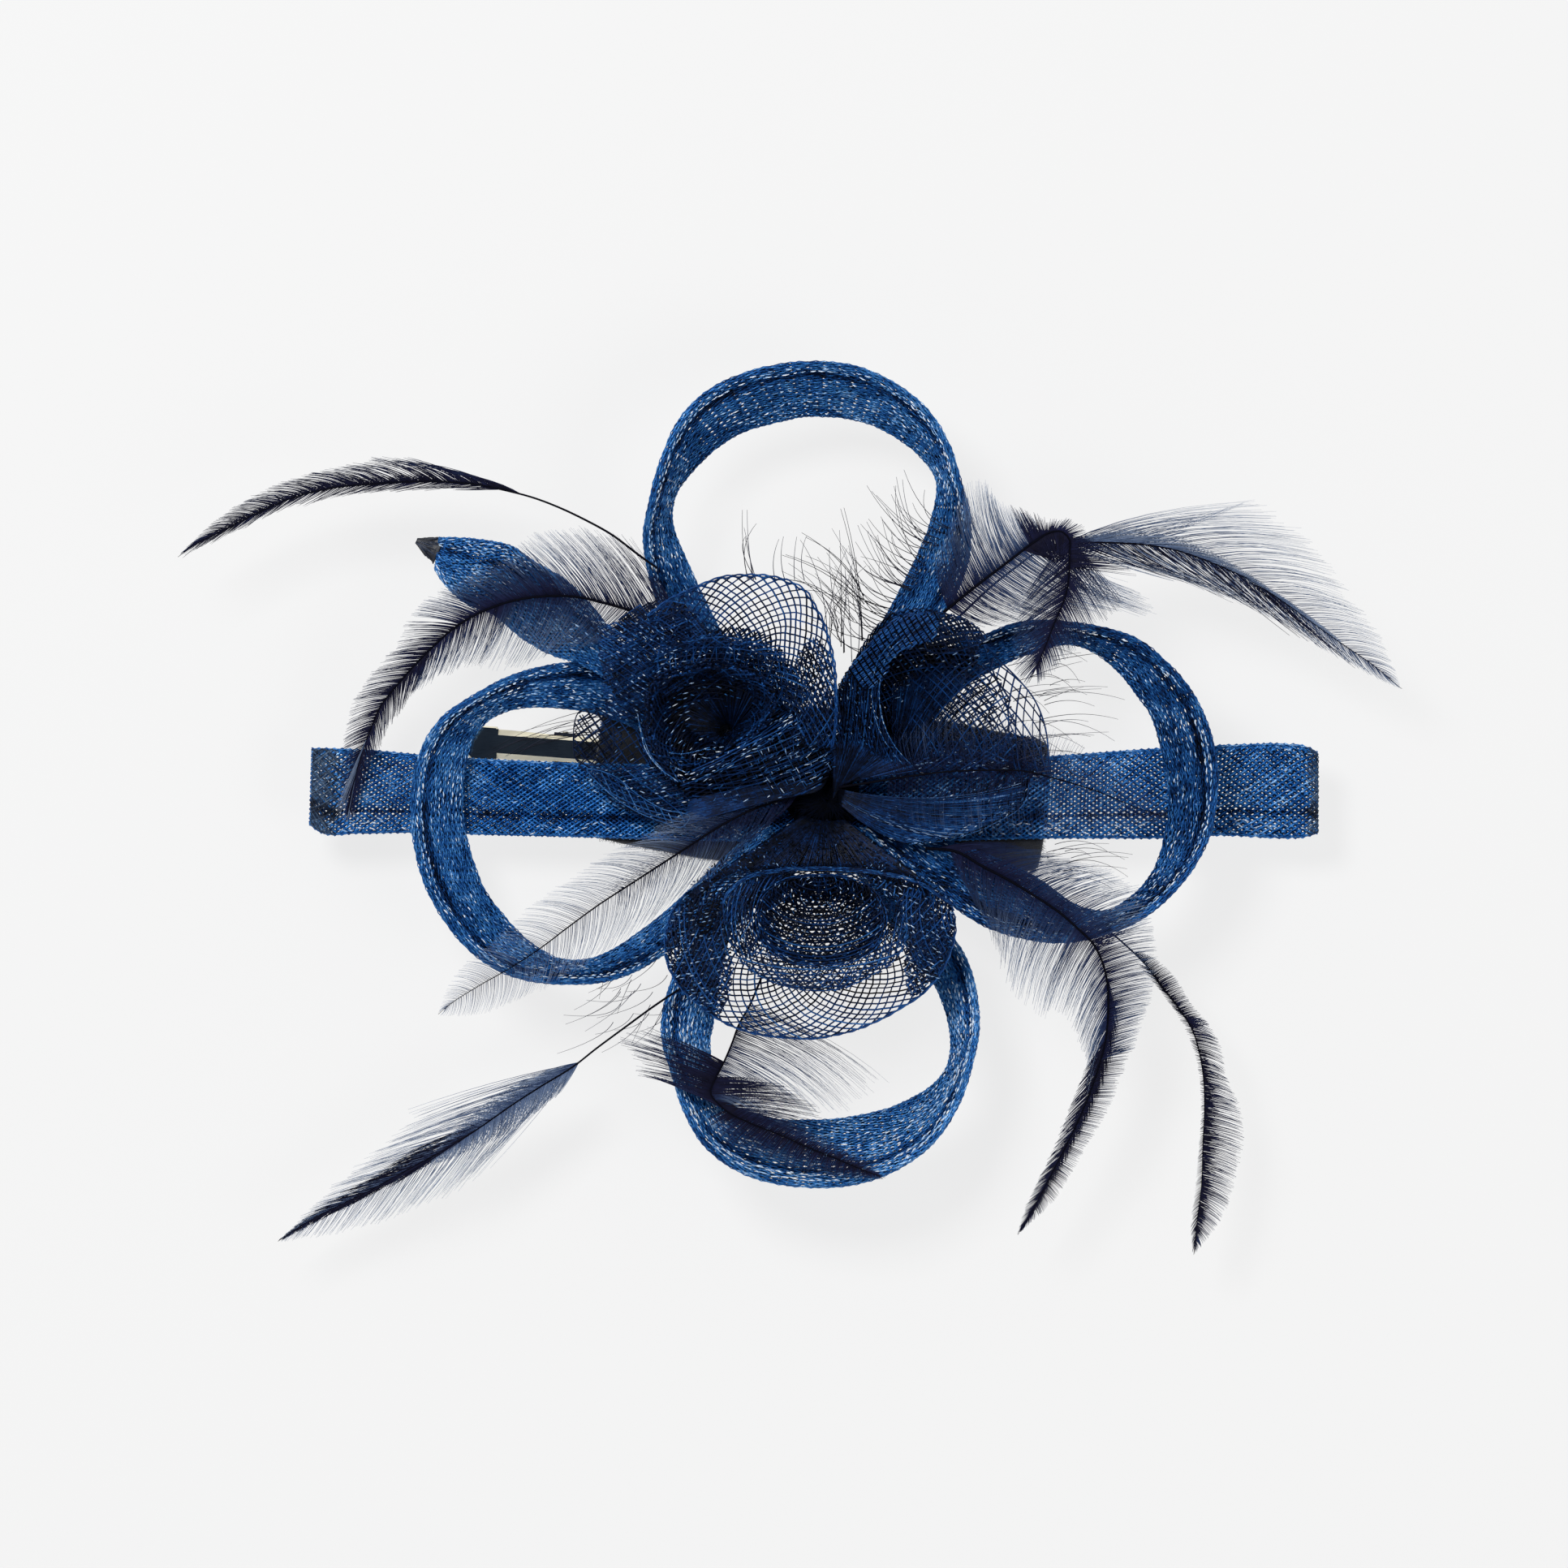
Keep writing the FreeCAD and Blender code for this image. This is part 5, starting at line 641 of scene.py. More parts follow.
# ------------------------------------------------------------------ mesh builder
class Build:
    """Collects vertices, faces, a tone per vertex and a material index per face for one piece."""

    def __init__(self):
        self.v, self.q, self.t, self.tone, self.mq, self.mt, self.n = [], [], [], [], [], [], 0

    def strands(self, P, W, N, tone, mat=0, flat=0.36, cap=True):
        """Tapering filaments of shallow triangular section.
        P (m, k, 3) points, W (m, k) widths, N (m, k, 3) outward normals, tone (m,) or (m, k)."""
        m, k = P.shape[:2]
        if m == 0:
            return
        D = np.empty_like(P)
        D[:, 1:-1] = P[:, 2:] - P[:, :-2]
        D[:, 0], D[:, -1] = P[:, 1] - P[:, 0], P[:, -1] - P[:, -2]
        D = unit(D)
        S = unit(np.cross(D, N))
        U = unit(np.cross(S, D))
        w = W[..., None]
        ring = np.stack([P - S * w * 0.5 - U * w * flat * 0.4, P + S * w * 0.5 - U * w * flat * 0.4,
                         P + U * w * flat * 0.75], axis=2)
        self.v.append(ring.reshape(-1, 3))
        tone = np.asarray(tone, float)
        tt = np.broadcast_to(tone if tone.ndim != 1 else tone[:, None], (m, k))
        self.tone.append(np.repeat(tt[..., None], 3, axis=2).reshape(-1))
        base = self.n + (np.arange(m) * k * 3)[:, None, None] + (np.arange(k - 1) * 3)[None, :, None]
        a = base + np.arange(3)[None, None, :]
        b = base + (np.arange(3)[None, None, :] + 1) % 3
        quads = np.stack([a, a + 3, b + 3, b], axis=-1).reshape(-1, 4)
        self.q.append(quads)
        self.mq.append(np.full(len(quads), mat, np.int32))
        if cap:
            st = self.n + np.arange(m) * k * 3
            en = st + (k - 1) * 3
            tri = np.concatenate([np.stack([st, st + 1, st + 2], 1), np.stack([en, en + 2, en + 1], 1)])
            self.t.append(tri)
            self.mt.append(np.full(len(tri), mat, np.int32))
        self.n += m * k * 3

    def tube(self, C, R, tone=0.5, mat=0, sides=6, N=None, flat=1.0):
        """Round rod along a polyline with closed ends. C (k, 3), R scalar or (k,)."""
        C = np.asarray(C, float)
        k = len(C)
        R = np.broadcast_to(np.asarray(R, float), (k,))
        D = np.empty_like(C)
        D[1:-1] = C[2:] - C[:-2]
        D[0], D[-1] = C[1] - C[0], C[-1] - C[-2]
        D = unit(D)
        if N is None:
            ref = np.array([0, 0, 1.0])
            N = np.where(np.abs((D @ ref))[:, None] > 0.95, np.array([[1.0, 0, 0]]), ref[None])
        S = unit(np.cross(D, N))
        U = unit(np.cross(S, D))
        ang = np.linspace(0, 2 * np.pi, sides, endpoint=False)
        ring = (C[:, None] + (S[:, None] * np.cos(ang)[None, :, None] + U[:, None] * np.sin(ang)[None, :, None] * flat)
                * R[:, None, None])
        self.v.append(ring.reshape(-1, 3))
        self.tone.append(np.full(k * sides, tone, float))
        i = np.arange(k - 1)[:, None] * sides
        j = np.arange(sides)[None]
        a = self.n + i + j
        b = self.n + i + (j + 1) % sides
        quads = np.stack([a, a + sides, b + sides, b], -1).reshape(-1, 4)
        self.q.append(quads)
        self.mq.append(np.full(len(quads), mat, np.int32))
        st, en = self.n, self.n + (k - 1) * sides
        tri = [[st, st + x, st + x + 1] for x in range(1, sides - 1)] + [[en, en + x + 1, en + x] for x in range(1, sides - 1)]
        self.t.append(np.array(tri))
        self.mt.append(np.full(len(tri), mat, np.int32))
        self.n += k * sides

    def grid(self, G, tone=0.5, mat=0, wrap_u=False, wrap_v=False):
        """Quads over a (u, v, 3) grid."""
        nu, nv = G.shape[:2]
        self.v.append(G.reshape(-1, 3))
        self.tone.append(np.broadcast_to(np.asarray(tone, float), (nu, nv)).reshape(-1).copy())
        iu = np.arange(nu if wrap_u else nu - 1)
        iv = np.arange(nv if wrap_v else nv - 1)
        A, B = np.meshgrid(iu, iv, indexing="ij")
        A2, B2 = (A + 1) % nu, (B + 1) % nv
        quads = self.n + np.stack([A * nv + B, A2 * nv + B, A2 * nv + B2, A * nv + B2], -1).reshape(-1, 4)
        self.q.append(quads)
        self.mq.append(np.full(len(quads), mat, np.int32))
        self.n += nu * nv

    def make(self, name, mats, body="headpiece", replaces=(), slot=None, smooth=True):
        v = np.concatenate(self.v) * MM
        q = np.concatenate(self.q) if self.q else np.zeros((0, 4), np.int64)
        t = np.concatenate(self.t) if self.t else np.zeros((0, 3), np.int64)
        mi = np.concatenate(self.mq + self.mt)
        me = bpy.data.meshes.new(name)
        me.vertices.add(len(v))
        me.vertices.foreach_set("co", v.astype(np.float32).ravel())
        loops = np.concatenate([q.ravel(), t.ravel()]).astype(np.int32)
        me.loops.add(len(loops))
        me.loops.foreach_set("vertex_index", loops)
        me.polygons.add(len(q) + len(t))
        starts = np.concatenate([np.arange(len(q)) * 4, len(q) * 4 + np.arange(len(t)) * 3]).astype(np.int32)
        me.polygons.foreach_set("loop_start", starts)
        me.polygons.foreach_set("material_index", mi)
        for m in mats:
            me.materials.append(m)
        att = me.attributes.new("tone", "FLOAT", "POINT")
        att.data.foreach_set("value", np.concatenate(self.tone).astype(np.float32))
        me.update(calc_edges=True)
        me.validate()
        me.polygons.foreach_set("use_smooth", np.full(len(me.polygons), smooth))
        o = bpy.data.objects.new(name, me)
        SCENE.collection.objects.link(o)
        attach(o, body)
        if replaces:
            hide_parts(*replaces)
        return o


def area_length(st, closed=False):
    """Mean width, length of the strip through stations, and its flat area, mm."""
    S = hermite(st, 200, closed)
    w = np.linalg.norm(S[:, 3:] - S[:, :3], axis=1)
    mid = (S[:, 3:] + S[:, :3]) / 2
    d = np.linalg.norm(np.diff(mid, axis=0), axis=1)
    return w.mean(), d.sum(), float((d * (w[1:] + w[:-1]) / 2).sum())


class Strip:
    """Smooth strip surface through stations; s in mm along its middle, v from 0 at edge a to 1 at edge b."""

    def __init__(self, st, closed=False, samples=400, bow=0.0, wave=0.0, seed=1, ref=0.5):
        S = hermite(st, samples, closed)
        self.a, self.b = S[:, :3].copy(), S[:, 3:6].copy()
        if closed:
            self.a[-1], self.b[-1] = self.a[0], self.b[0]
        mid = self.a * (1 - ref) + self.b * ref
        D = np.gradient(mid, axis=0)
        if closed:
            D[0] = D[-1] = mid[1] - mid[-2]
        U = unit(self.b - self.a)
        self.n = unit(np.cross(U, unit(D)))
        self.d = unit(D)
        self.s = np.concatenate([[0], np.cumsum(np.linalg.norm(np.diff(mid, axis=0), axis=1))])
        self.L = self.s[-1]
        self.w = np.linalg.norm(self.b - self.a, axis=1)
        self.closed, self.bow, self.wave, self.seed = closed, bow, wave, seed

    def at(self, s, v, off=0.0):
        """Points and normals at arrays s, v."""
        s = np.mod(s, self.L) if self.closed else np.clip(s, 0, self.L)
        x = np.interp(s, self.s, np.arange(len(self.s)))
        i = np.clip(x.astype(int), 0, len(self.s) - 2)
        f = (x - i)[..., None]
        a = self.a[i] * (1 - f) + self.a[i + 1] * f
        b = self.b[i] * (1 - f) + self.b[i + 1] * f
        n = unit(self.n[i] * (1 - f) + self.n[i + 1] * f)
        vv = np.asarray(v)[..., None]
        lift = self.bow * 4 * vv * (1 - vv)
        if self.wave:
            lift = lift + self.wave * noise1(s / 9.0 + 3.1 * np.asarray(v), self.seed)[..., None]
        return a * (1 - vv) + b * vv + n * (lift + np.asarray(off)[..., None]), n


def tubular(B, st, thick=1.25, pitch=0.86, alpha=26.0, alpha_end=None, fil=0.36, seed=3, mat=0, wave=0.25, tone=0.5, closed=False, full=17.5, seam=None, spread=0.07):
    """Flattened braided tube: two families of helical filaments woven over and under each other."""
    rng = np.random.default_rng(seed)
    strip = Strip(st, closed, wave=wave, seed=seed)
    L = strip.L
    per_full = 2 * (full - thick) + math.pi * thick
    n = max(10, int(round(per_full * math.cos(math.radians(alpha)) / pitch)))
    # turn of the helix along s, from the local angle
    ss = np.linspace(0, L, 600)
    w = np.interp(ss, strip.s, strip.w)
    per = 2 * np.maximum(w - thick, 0.5) + math.pi * thick
    al = np.full_like(ss, alpha)
    if alpha_end is not None:
        e = np.minimum(ss, L - ss)
        al = alpha + (alpha_end - alpha) * np.exp(-((e / 9.0) ** 2))
    turn = np.concatenate([[0], np.cumsum((np.tan(np.radians(al)) / np.maximum(per, per_full * 0.8))[:-1] * np.diff(ss))])
    total = turn[-1]
    count = max(8, int(total * n * 2))
    # a point at each crossing: turn + i/n and j/n - turn meet where turn = (j - i) / 2n
    tk = np.arange(count + 1) / (2.0 * n)
    sk = np.interp(tk, turn, ss)

    def section(u, s):
        """Cross coordinate (-1..1), height and outward direction of a stadium at u in [0, 1)."""
        u = np.mod(u, 1.0)
        wl = np.interp(s, strip.s, strip.w)
        r = thick / 2
        flat = np.maximum(wl - thick, 0.3)
        per = 2 * flat + 2 * math.pi * r
        x = u * per
        c = np.empty_like(x)
        z = np.empty_like(x)
        nc = np.zeros_like(x)
        nz = np.zeros_like(x)
        m1 = x < flat
        c[m1] = -flat[m1] / 2 + x[m1]; z[m1] = r; nz[m1] = 1
        m2 = (x >= flat) & (x < flat + math.pi * r)
        g = (x[m2] - flat[m2]) / r
        c[m2] = flat[m2] / 2 + r * np.sin(g); z[m2] = r * np.cos(g); nc[m2] = np.sin(g); nz[m2] = np.cos(g)
        m3 = (x >= flat + math.pi * r) & (x < 2 * flat + math.pi * r)
        c[m3] = flat[m3] / 2 - (x[m3] - flat[m3] - math.pi * r); z[m3] = -r; nz[m3] = -1
        m4 = x >= 2 * flat + math.pi * r
        g = (x[m4] - 2 * flat[m4] - math.pi * r) / r
        c[m4] = -flat[m4] / 2 - r * np.sin(g); z[m4] = -r * np.cos(g); nc[m4] = -np.sin(g); nz[m4] = -np.cos(g)
        return c, z, nc, nz, wl

    for fam in (1, -1):
        i = np.arange(n)[:, None]
        k = np.arange(len(tk))[None]
        u = i / n + fam * tk[None] + rng.normal(0, 0.0012, (n, 1)) + 0.0009 * noise1(sk[None] / 3.0 + i * 7.3, seed + fam)
        s = np.broadcast_to(sk[None], u.shape)
        c, z, nc, nz, wl = section(u, s)
        P, nn = strip.at(s, np.clip(0.5 + c / np.maximum(wl, 1e-3), -0.2, 1.2))
        x = np.interp(s, strip.s, np.arange(len(strip.s)))
        ii = np.clip(x.astype(int), 0, len(strip.s) - 2)
        U = unit(strip.b[ii] - strip.a[ii])
        N = unit(nn * nz[..., None] + U * nc[..., None])
        over = np.where((i + k) % 2 == 0, 1, -1) * fam
        pinch = np.zeros_like(c) if seam is None else np.exp(-(((0.5 + c / np.maximum(wl, 1e-3)) - seam) * wl / 0.9) ** 2)
        pinch = pinch * (0.75 + 0.25 * noise1(s / 2.2, seed + 21))
        P = P + nn * (z * (0.92 - 0.62 * pinch))[..., None] + N * (over * 0.13)[..., None]
        W = np.full(u.shape, fil) * (1 + 0.16 * noise1(s / 2.0 + i * 3.7, seed + 5)) * (1 - 0.25 * pinch)
        # painted light and shade: strands passing over are 0.12 lighter and those passing under 0.12 darker, and the
        # tone drops by 0.40 along the pinched crease
        T = tone + rng.normal(0, spread, (n, 1)) + 0.12 * over - 0.40 * pinch + 0.10 * noise1(s / 5.0 + i * 0.05, seed + 8) + 0.14 * noise1(s / 0.8 + i * 5.3, seed + 9)
        B.strands(P, W, N, np.clip(T, 0, 1), mat)
    return strip


def crease_shade_thread(B, strip, v, s0=0.0, s1=1.0, r=0.22, lift=0.8, mat=1, tone=0.2, step=1.2):
    """Gathering thread run through the braid at share v of its width, dipping in and out; its near-black line is also
    painted shade for the shadow in the braid's crease.
    """
    s = np.arange(s0 * strip.L, s1 * strip.L, step)
    P, N = strip.at(s, np.full_like(s, v))
    up = np.sign(N[:, 2:3] + 1e-6)
    P = P + N * up * (lift + 0.16 * np.where(np.arange(len(s)) % 2 == 0, 1, -1))[:, None]
    B.tube(P, r, tone=tone, mat=mat, sides=5)


def open_mesh(B, strip, pitch=1.85, fil=0.33, mat=0, tone=0.5, off=0.0, phase=0.0, skew=1.0, v0=0.0, v1=1.0, seed=1, edge=0.34, edges=(True, True), sub=2, weave=0.07, jitter=0.035, width=None, section=0.75, curl=0.0):
    """One layer of flat braid: two crossing families of filaments on a strip and its bound edges."""
    rng = np.random.default_rng(seed)
    tone_a, tone_b = tone if isinstance(tone, tuple) else (tone, tone)
    tone = tone_a
    L = strip.L
    w = width or float(np.mean(strip.w)) * (v1 - v0)
    dx = pitch * math.sqrt(1 + skew * skew)        # spacing of one family along s
    rows = max(2, int(round(w / (dx / 2 / skew))))  # crossings across the width
    n = max(4, int(round(L / dx)))
    dx = L / n
    run = rows * dx / 2.0                          # how far a filament runs along s while it crosses
    k = rows * sub + 1
    vv = np.linspace(0, 1, k)
    for fam in (1, -1):
        lo = 0 if strip.closed else -int(math.ceil(run / dx)) - 1
        i = np.arange(lo, n + (0 if strip.closed else int(math.ceil(run / dx)) + 1))[:, None]
        s = (i + phase) * dx + (vv[None] * run if fam > 0 else (1 - vv[None]) * run)
        s = s + rng.normal(0, jitter, (len(i), 1)) * dx + 0.06 * dx * noise1(vv[None] * 3.0 + i * 1.7, seed)
        v = np.broadcast_to(v0 + (v1 - v0) * vv[None], s.shape)
        ok = np.ones(len(i), bool)
        if not strip.closed:
            inside = (s > 0) & (s < L)
            ok = inside.any(axis=1)
        s, v = s[ok], v[ok]
        ik = i[ok]
        wv = weave * np.cos(math.pi * (vv[None] * rows + ik)) * fam
        P, N = strip.at(s, v, off + wv)
        W = np.full(s.shape, fil) * (1 + 0.15 * rng.normal(0, 1, (len(ik), 1)).clip(-1, 1))
        # painted shade: tone runs from tone_a at edge a to tone_b at edge b, so a petal darkens towards the flower's
        # heart
        T = np.clip(tone_a + (tone_b - tone_a) * v + rng.normal(0, 0.13, (len(ik), 1)), 0, 1)
        if strip.closed:
            B.strands(P, W, N, T, mat, flat=section)
        else:
            full = ((s >= 0) & (s <= L)).all(axis=1)
            B.strands(P[full], W[full], N[full], T[full], mat, flat=section)
            for r in np.where(~full)[0]:
                g = (s[r] >= 0) & (s[r] <= L)
                if g.sum() >= 3:
                    B.strands(P[r][g][None], W[r][g][None], N[r][g][None], T[r][g][None], mat, flat=section)
    ns = max(20, int(L / 0.45))
    s = np.linspace(0, L, ns)
    for which, v in ((0, v0), (1, v1)):
        if not edges[which]:
            continue
        for q, (dv, dz) in enumerate(((0.0, 0.0), (0.30, 0.08))):
            inset = (dv + 0.10 * np.cos(2 * np.pi * s / dx + q * np.pi)) / max(w, 1.0) * (1 if which == 0 else -1)
            P, N = strip.at(s, v + inset, off + dz + 0.05 * np.sin(s * 2.4 + q * 2))
            tw = tone + 0.10 - 0.06 * q + 0.12 * noise1(s / 1.7, seed + q)
            B.strands(P[None], np.full((1, ns), edge) * (1 + 0.2 * noise1(s * 1.3, seed + 3 + q))[None], N[None], np.clip(tw, 0, 1)[None], mat, flat=section)


def fan(B, near, far, n=80, shift=0.08, curve=0.0, lift=0.0, w=0.3, tone=(0.1, 0.5), k=11, mat=0, seed=1, edge=0.3, jitter=0.004, section=0.6, z_wave=0.3, shrink=0.75, vary=0.14):
    """Gathered crin: filaments from a near line fanning out to a far line, two crossing families."""
    rng = np.random.default_rng(seed)
    A, F = hermite(near, 240), hermite(far, 240)

    def on(C, u):
        x = np.clip(u, 0, 1) * 239
        i = np.clip(x.astype(int), 0, 238)
        f = (x - i)[:, None]
        return C[i] * (1 - f) + C[i + 1] * f

    for fam in (1, -1):
        u = (np.arange(n) + 0.5) / n + rng.normal(0, jitter, n)
        a, b = on(A, u - fam * shift / 2), on(F, u + fam * shift / 2)
        c = b - a
        side = np.stack([-c[:, 1], c[:, 0], np.zeros(n)], 1)
        s = np.linspace(0, 1, k)[None, :, None]
        ctrl = (a + b) / 2 + side * curve
        ctrl[:, 2] += 2 * lift + z_wave * noise1(u * 9.0, seed)
        P = (1 - s) ** 2 * a[:, None] + 2 * s * (1 - s) * ctrl[:, None] + s**2 * b[:, None]
        P[..., 2] += 0.07 * fam * np.cos(np.arange(k) * np.pi)[None]
        # painted shade: the tone rises from tone[0] at the gathered near end to tone[1] at the far end, so the crin
        # darkens into its gather
        T = tone[0] + (tone[1] - tone[0]) * s[..., 0] + rng.normal(0, vary, (n, 1))
        W = w * (shrink + (1 - shrink) * s[..., 0]) * (1 + 0.12 * rng.normal(0, 1, (n, 1)).clip(-1.5, 1.5))
        N = np.broadcast_to(np.array([0, 0, 1.0]), P.shape)
        B.strands(P, np.broadcast_to(W, P.shape[:2]), N, np.clip(T, 0, 1), mat, flat=section)
    if edge:
        m = 120
        for q in range(2):
            E = on(F, np.linspace(0, 1, m))
            E = E + np.array([0, 0, 0.12 * q])
            E[:, :2] += 0.12 * noise1(np.arange(m) * 0.8 + 9 * q, seed)[:, None]
            B.strands(E[None], np.full((1, m), edge), np.broadcast_to(np.array([0, 0, 1.0]), E[None].shape), np.full((1, m), min(1, tone[1] + 0.15)), mat, flat=section)


def inside(poly, x, y):
    """Which points lie in the polygon, in plan."""
    poly = np.asarray(poly, float)
    res = np.zeros(x.shape, bool)
    j = len(poly) - 1
    for i in range(len(poly)):
        xi, yi, xj, yj = poly[i, 0], poly[i, 1], poly[j, 0], poly[j, 1]
        hit = ((yi > y) != (yj > y)) & (x < (xj - xi) * (y - yi) / (yj - yi + 1e-12) + xi)
        res ^= hit
        j = i
    return res


def region(B, poly, arcs, w=0.27, tone=0.4, pts=(), mat=0, seed=1, off=0.0, section=0.7, rim=None, smooth=True, step=0.8, spread=0.13):
    """Mesh trimmed to an outline. poly rows (x, y, z); arcs is a list of (cx, cy, pitch): one family of
    concentric filaments each, or ("line", angle, pitch) for straight ones; pts are more heights inside."""
    rng = np.random.default_rng(seed)
    O = hermite(poly, 160, True)[:-1] if smooth else np.asarray(poly, float)
    H = np.asarray(list(map(tuple, O[::4])) + list(map(tuple, pts)), float)

    def height(x, y):
        d = (x[:, None] - H[None, :, 0]) ** 2 + (y[:, None] - H[None, :, 1]) ** 2 + 0.6
        k = 1 / d**1.6
        return (k * H[None, :, 2]).sum(1) / k.sum(1)

    lo, hi = O[:, :2].min(0), O[:, :2].max(0)
    cen = (lo + hi) / 2
    rad = np.linalg.norm(hi - lo) / 2
    for fi, fam in enumerate(arcs):
        if fam[0] == "line":
            a = math.radians(fam[1])
            d, nrm = np.array([math.cos(a), math.sin(a)]), np.array([-math.sin(a), math.cos(a)])
            rows = np.arange(-rad, rad, fam[2]) + rng.uniform(0, fam[2])
            t = np.arange(-rad, rad, step)
            curves = [cen + nrm * r + d * t[:, None] for r in rows]
        else:
            c = np.array(fam[:2], float)
            D = np.linalg.norm(cen - c)
            rows = np.arange(max(fam[2], D - rad), D + rad, fam[2]) + rng.uniform(0, fam[2])
            a0 = math.atan2(*(cen - c)[::-1])
            curves = []
            for r in rows:
                half = math.pi if D < rad else min(math.pi, math.asin(min(1.0, rad / D)) + 0.2)
                t = np.arange(-half, half, step / r) + a0
                curves.append(c + r * np.stack([np.cos(t), np.sin(t)], 1))
        for ci, C in enumerate(curves):
            C = C + 0.09 * rng.normal(0, 1, 2)
            ok = inside(O, C[:, 0], C[:, 1])
            idx = np.where(ok)[0]
            if len(idx) < 2:
                continue
            for run in np.split(idx, np.where(np.diff(idx) > 1)[0] + 1):
                if len(run) < 2:
                    continue
                q = C[run]
                z = height(q[:, 0], q[:, 1]) + off + 0.07 * (1 if fi % 2 else -1) * np.cos(np.pi * np.arange(len(run)))
                P = np.c_[q, z][None]
                ww = w * (1 + 0.1 * rng.normal())
                B.strands(P, np.full((1, len(run)), ww), np.broadcast_to(np.array([0, 0, 1.0]), P.shape), np.full((1, len(run)), np.clip(tone + rng.normal(0, spread), 0, 1)), mat, flat=section)
    if rim:
        E = np.vstack([O, O[:1]])
        z = E[:, 2] + off
        P = np.c_[E[:, :2], z][None]
        B.strands(P, np.full((1, len(E)), rim), np.broadcast_to(np.array([0, 0, 1.0]), P.shape), np.full((1, len(E)), min(1.0, tone + 0.12)), mat, flat=section)


def strip_dashes(B, strip, rows=0.6, along=1.1, ln=0.7, w=0.17, tone=(0.6, 1.0), keep=0.35, lift=0.8, angle=20.0, v0=0.04, v1=0.96, mat=0, seed=1, seam=None, s0=0.0, s1=1.0, patch=0.8):
    """Short lit lengths of filament in rows along the upper side of a strip, away from its seam."""
    rng = np.random.default_rng(seed)
    wm = float(np.mean(strip.w))
    nr = max(2, int(wm * (v1 - v0) / rows))
    sv, vv = [], []
    for i in range(nr):
        x = np.arange(s0 * strip.L + 0.8, s1 * strip.L - 0.8, along) + (i % 2) * along / 2
        sv.append(x)
        vv.append(np.full_like(x, v0 + (v1 - v0) * (i + 0.5) / nr))
    s, v = np.concatenate(sv), np.concatenate(vv)
    s = s + rng.normal(0, 0.12, len(s))
    v = v + rng.normal(0, 0.008, len(s))
    ok = rng.uniform(0, 1, len(s)) < keep * (1 + patch * noise1(s / 5.0 + v * 3.0, seed))
    if seam is not None:
        ok &= np.abs(v - seam) * wm > 0.7
    s, v = s[ok], v[ok]
    m = len(s)
    a = np.radians(angle) * rng.choice([-1, 1], m) + rng.normal(0, 0.08, m)
    L = ln * rng.uniform(0.5, 1.3, m)
    t = np.array([-0.5, 0.0, 0.5])
    wl = np.interp(s, strip.s, strip.w)
    S = s[:, None] + np.cos(a)[:, None] * L[:, None] * t[None]
    V = np.clip(v[:, None] + np.sin(a)[:, None] * L[:, None] * t[None] / wl[:, None], 0.01, 0.99)
    P, N = strip.at(S, V)
    up = np.sign(N[..., 2:3] + 1e-6)
    P = P + N * up * (lift + np.array([-0.12, 0.0, -0.12])[None, :, None])
    W = w * rng.uniform(0.6, 1.25, m)[:, None] * np.array([0.6, 1.0, 0.6])[None]
    T = (tone[0] + (tone[1] - tone[0]) * rng.uniform(0, 1, m) ** 1.3)[:, None] * np.ones((1, 3))
    B.strands(P, W, N * up, np.clip(T, 0, 1), mat, flat=0.6)


def heights(H):
    H = np.asarray(H, float)

    def f(x, y):
        d = (x[:, None] - H[None, :, 0]) ** 2 + (y[:, None] - H[None, :, 1]) ** 2 + 0.6
        k = 1 / d**1.6
        return (k * H[None, :, 2]).sum(1) / k.sum(1)
    return f


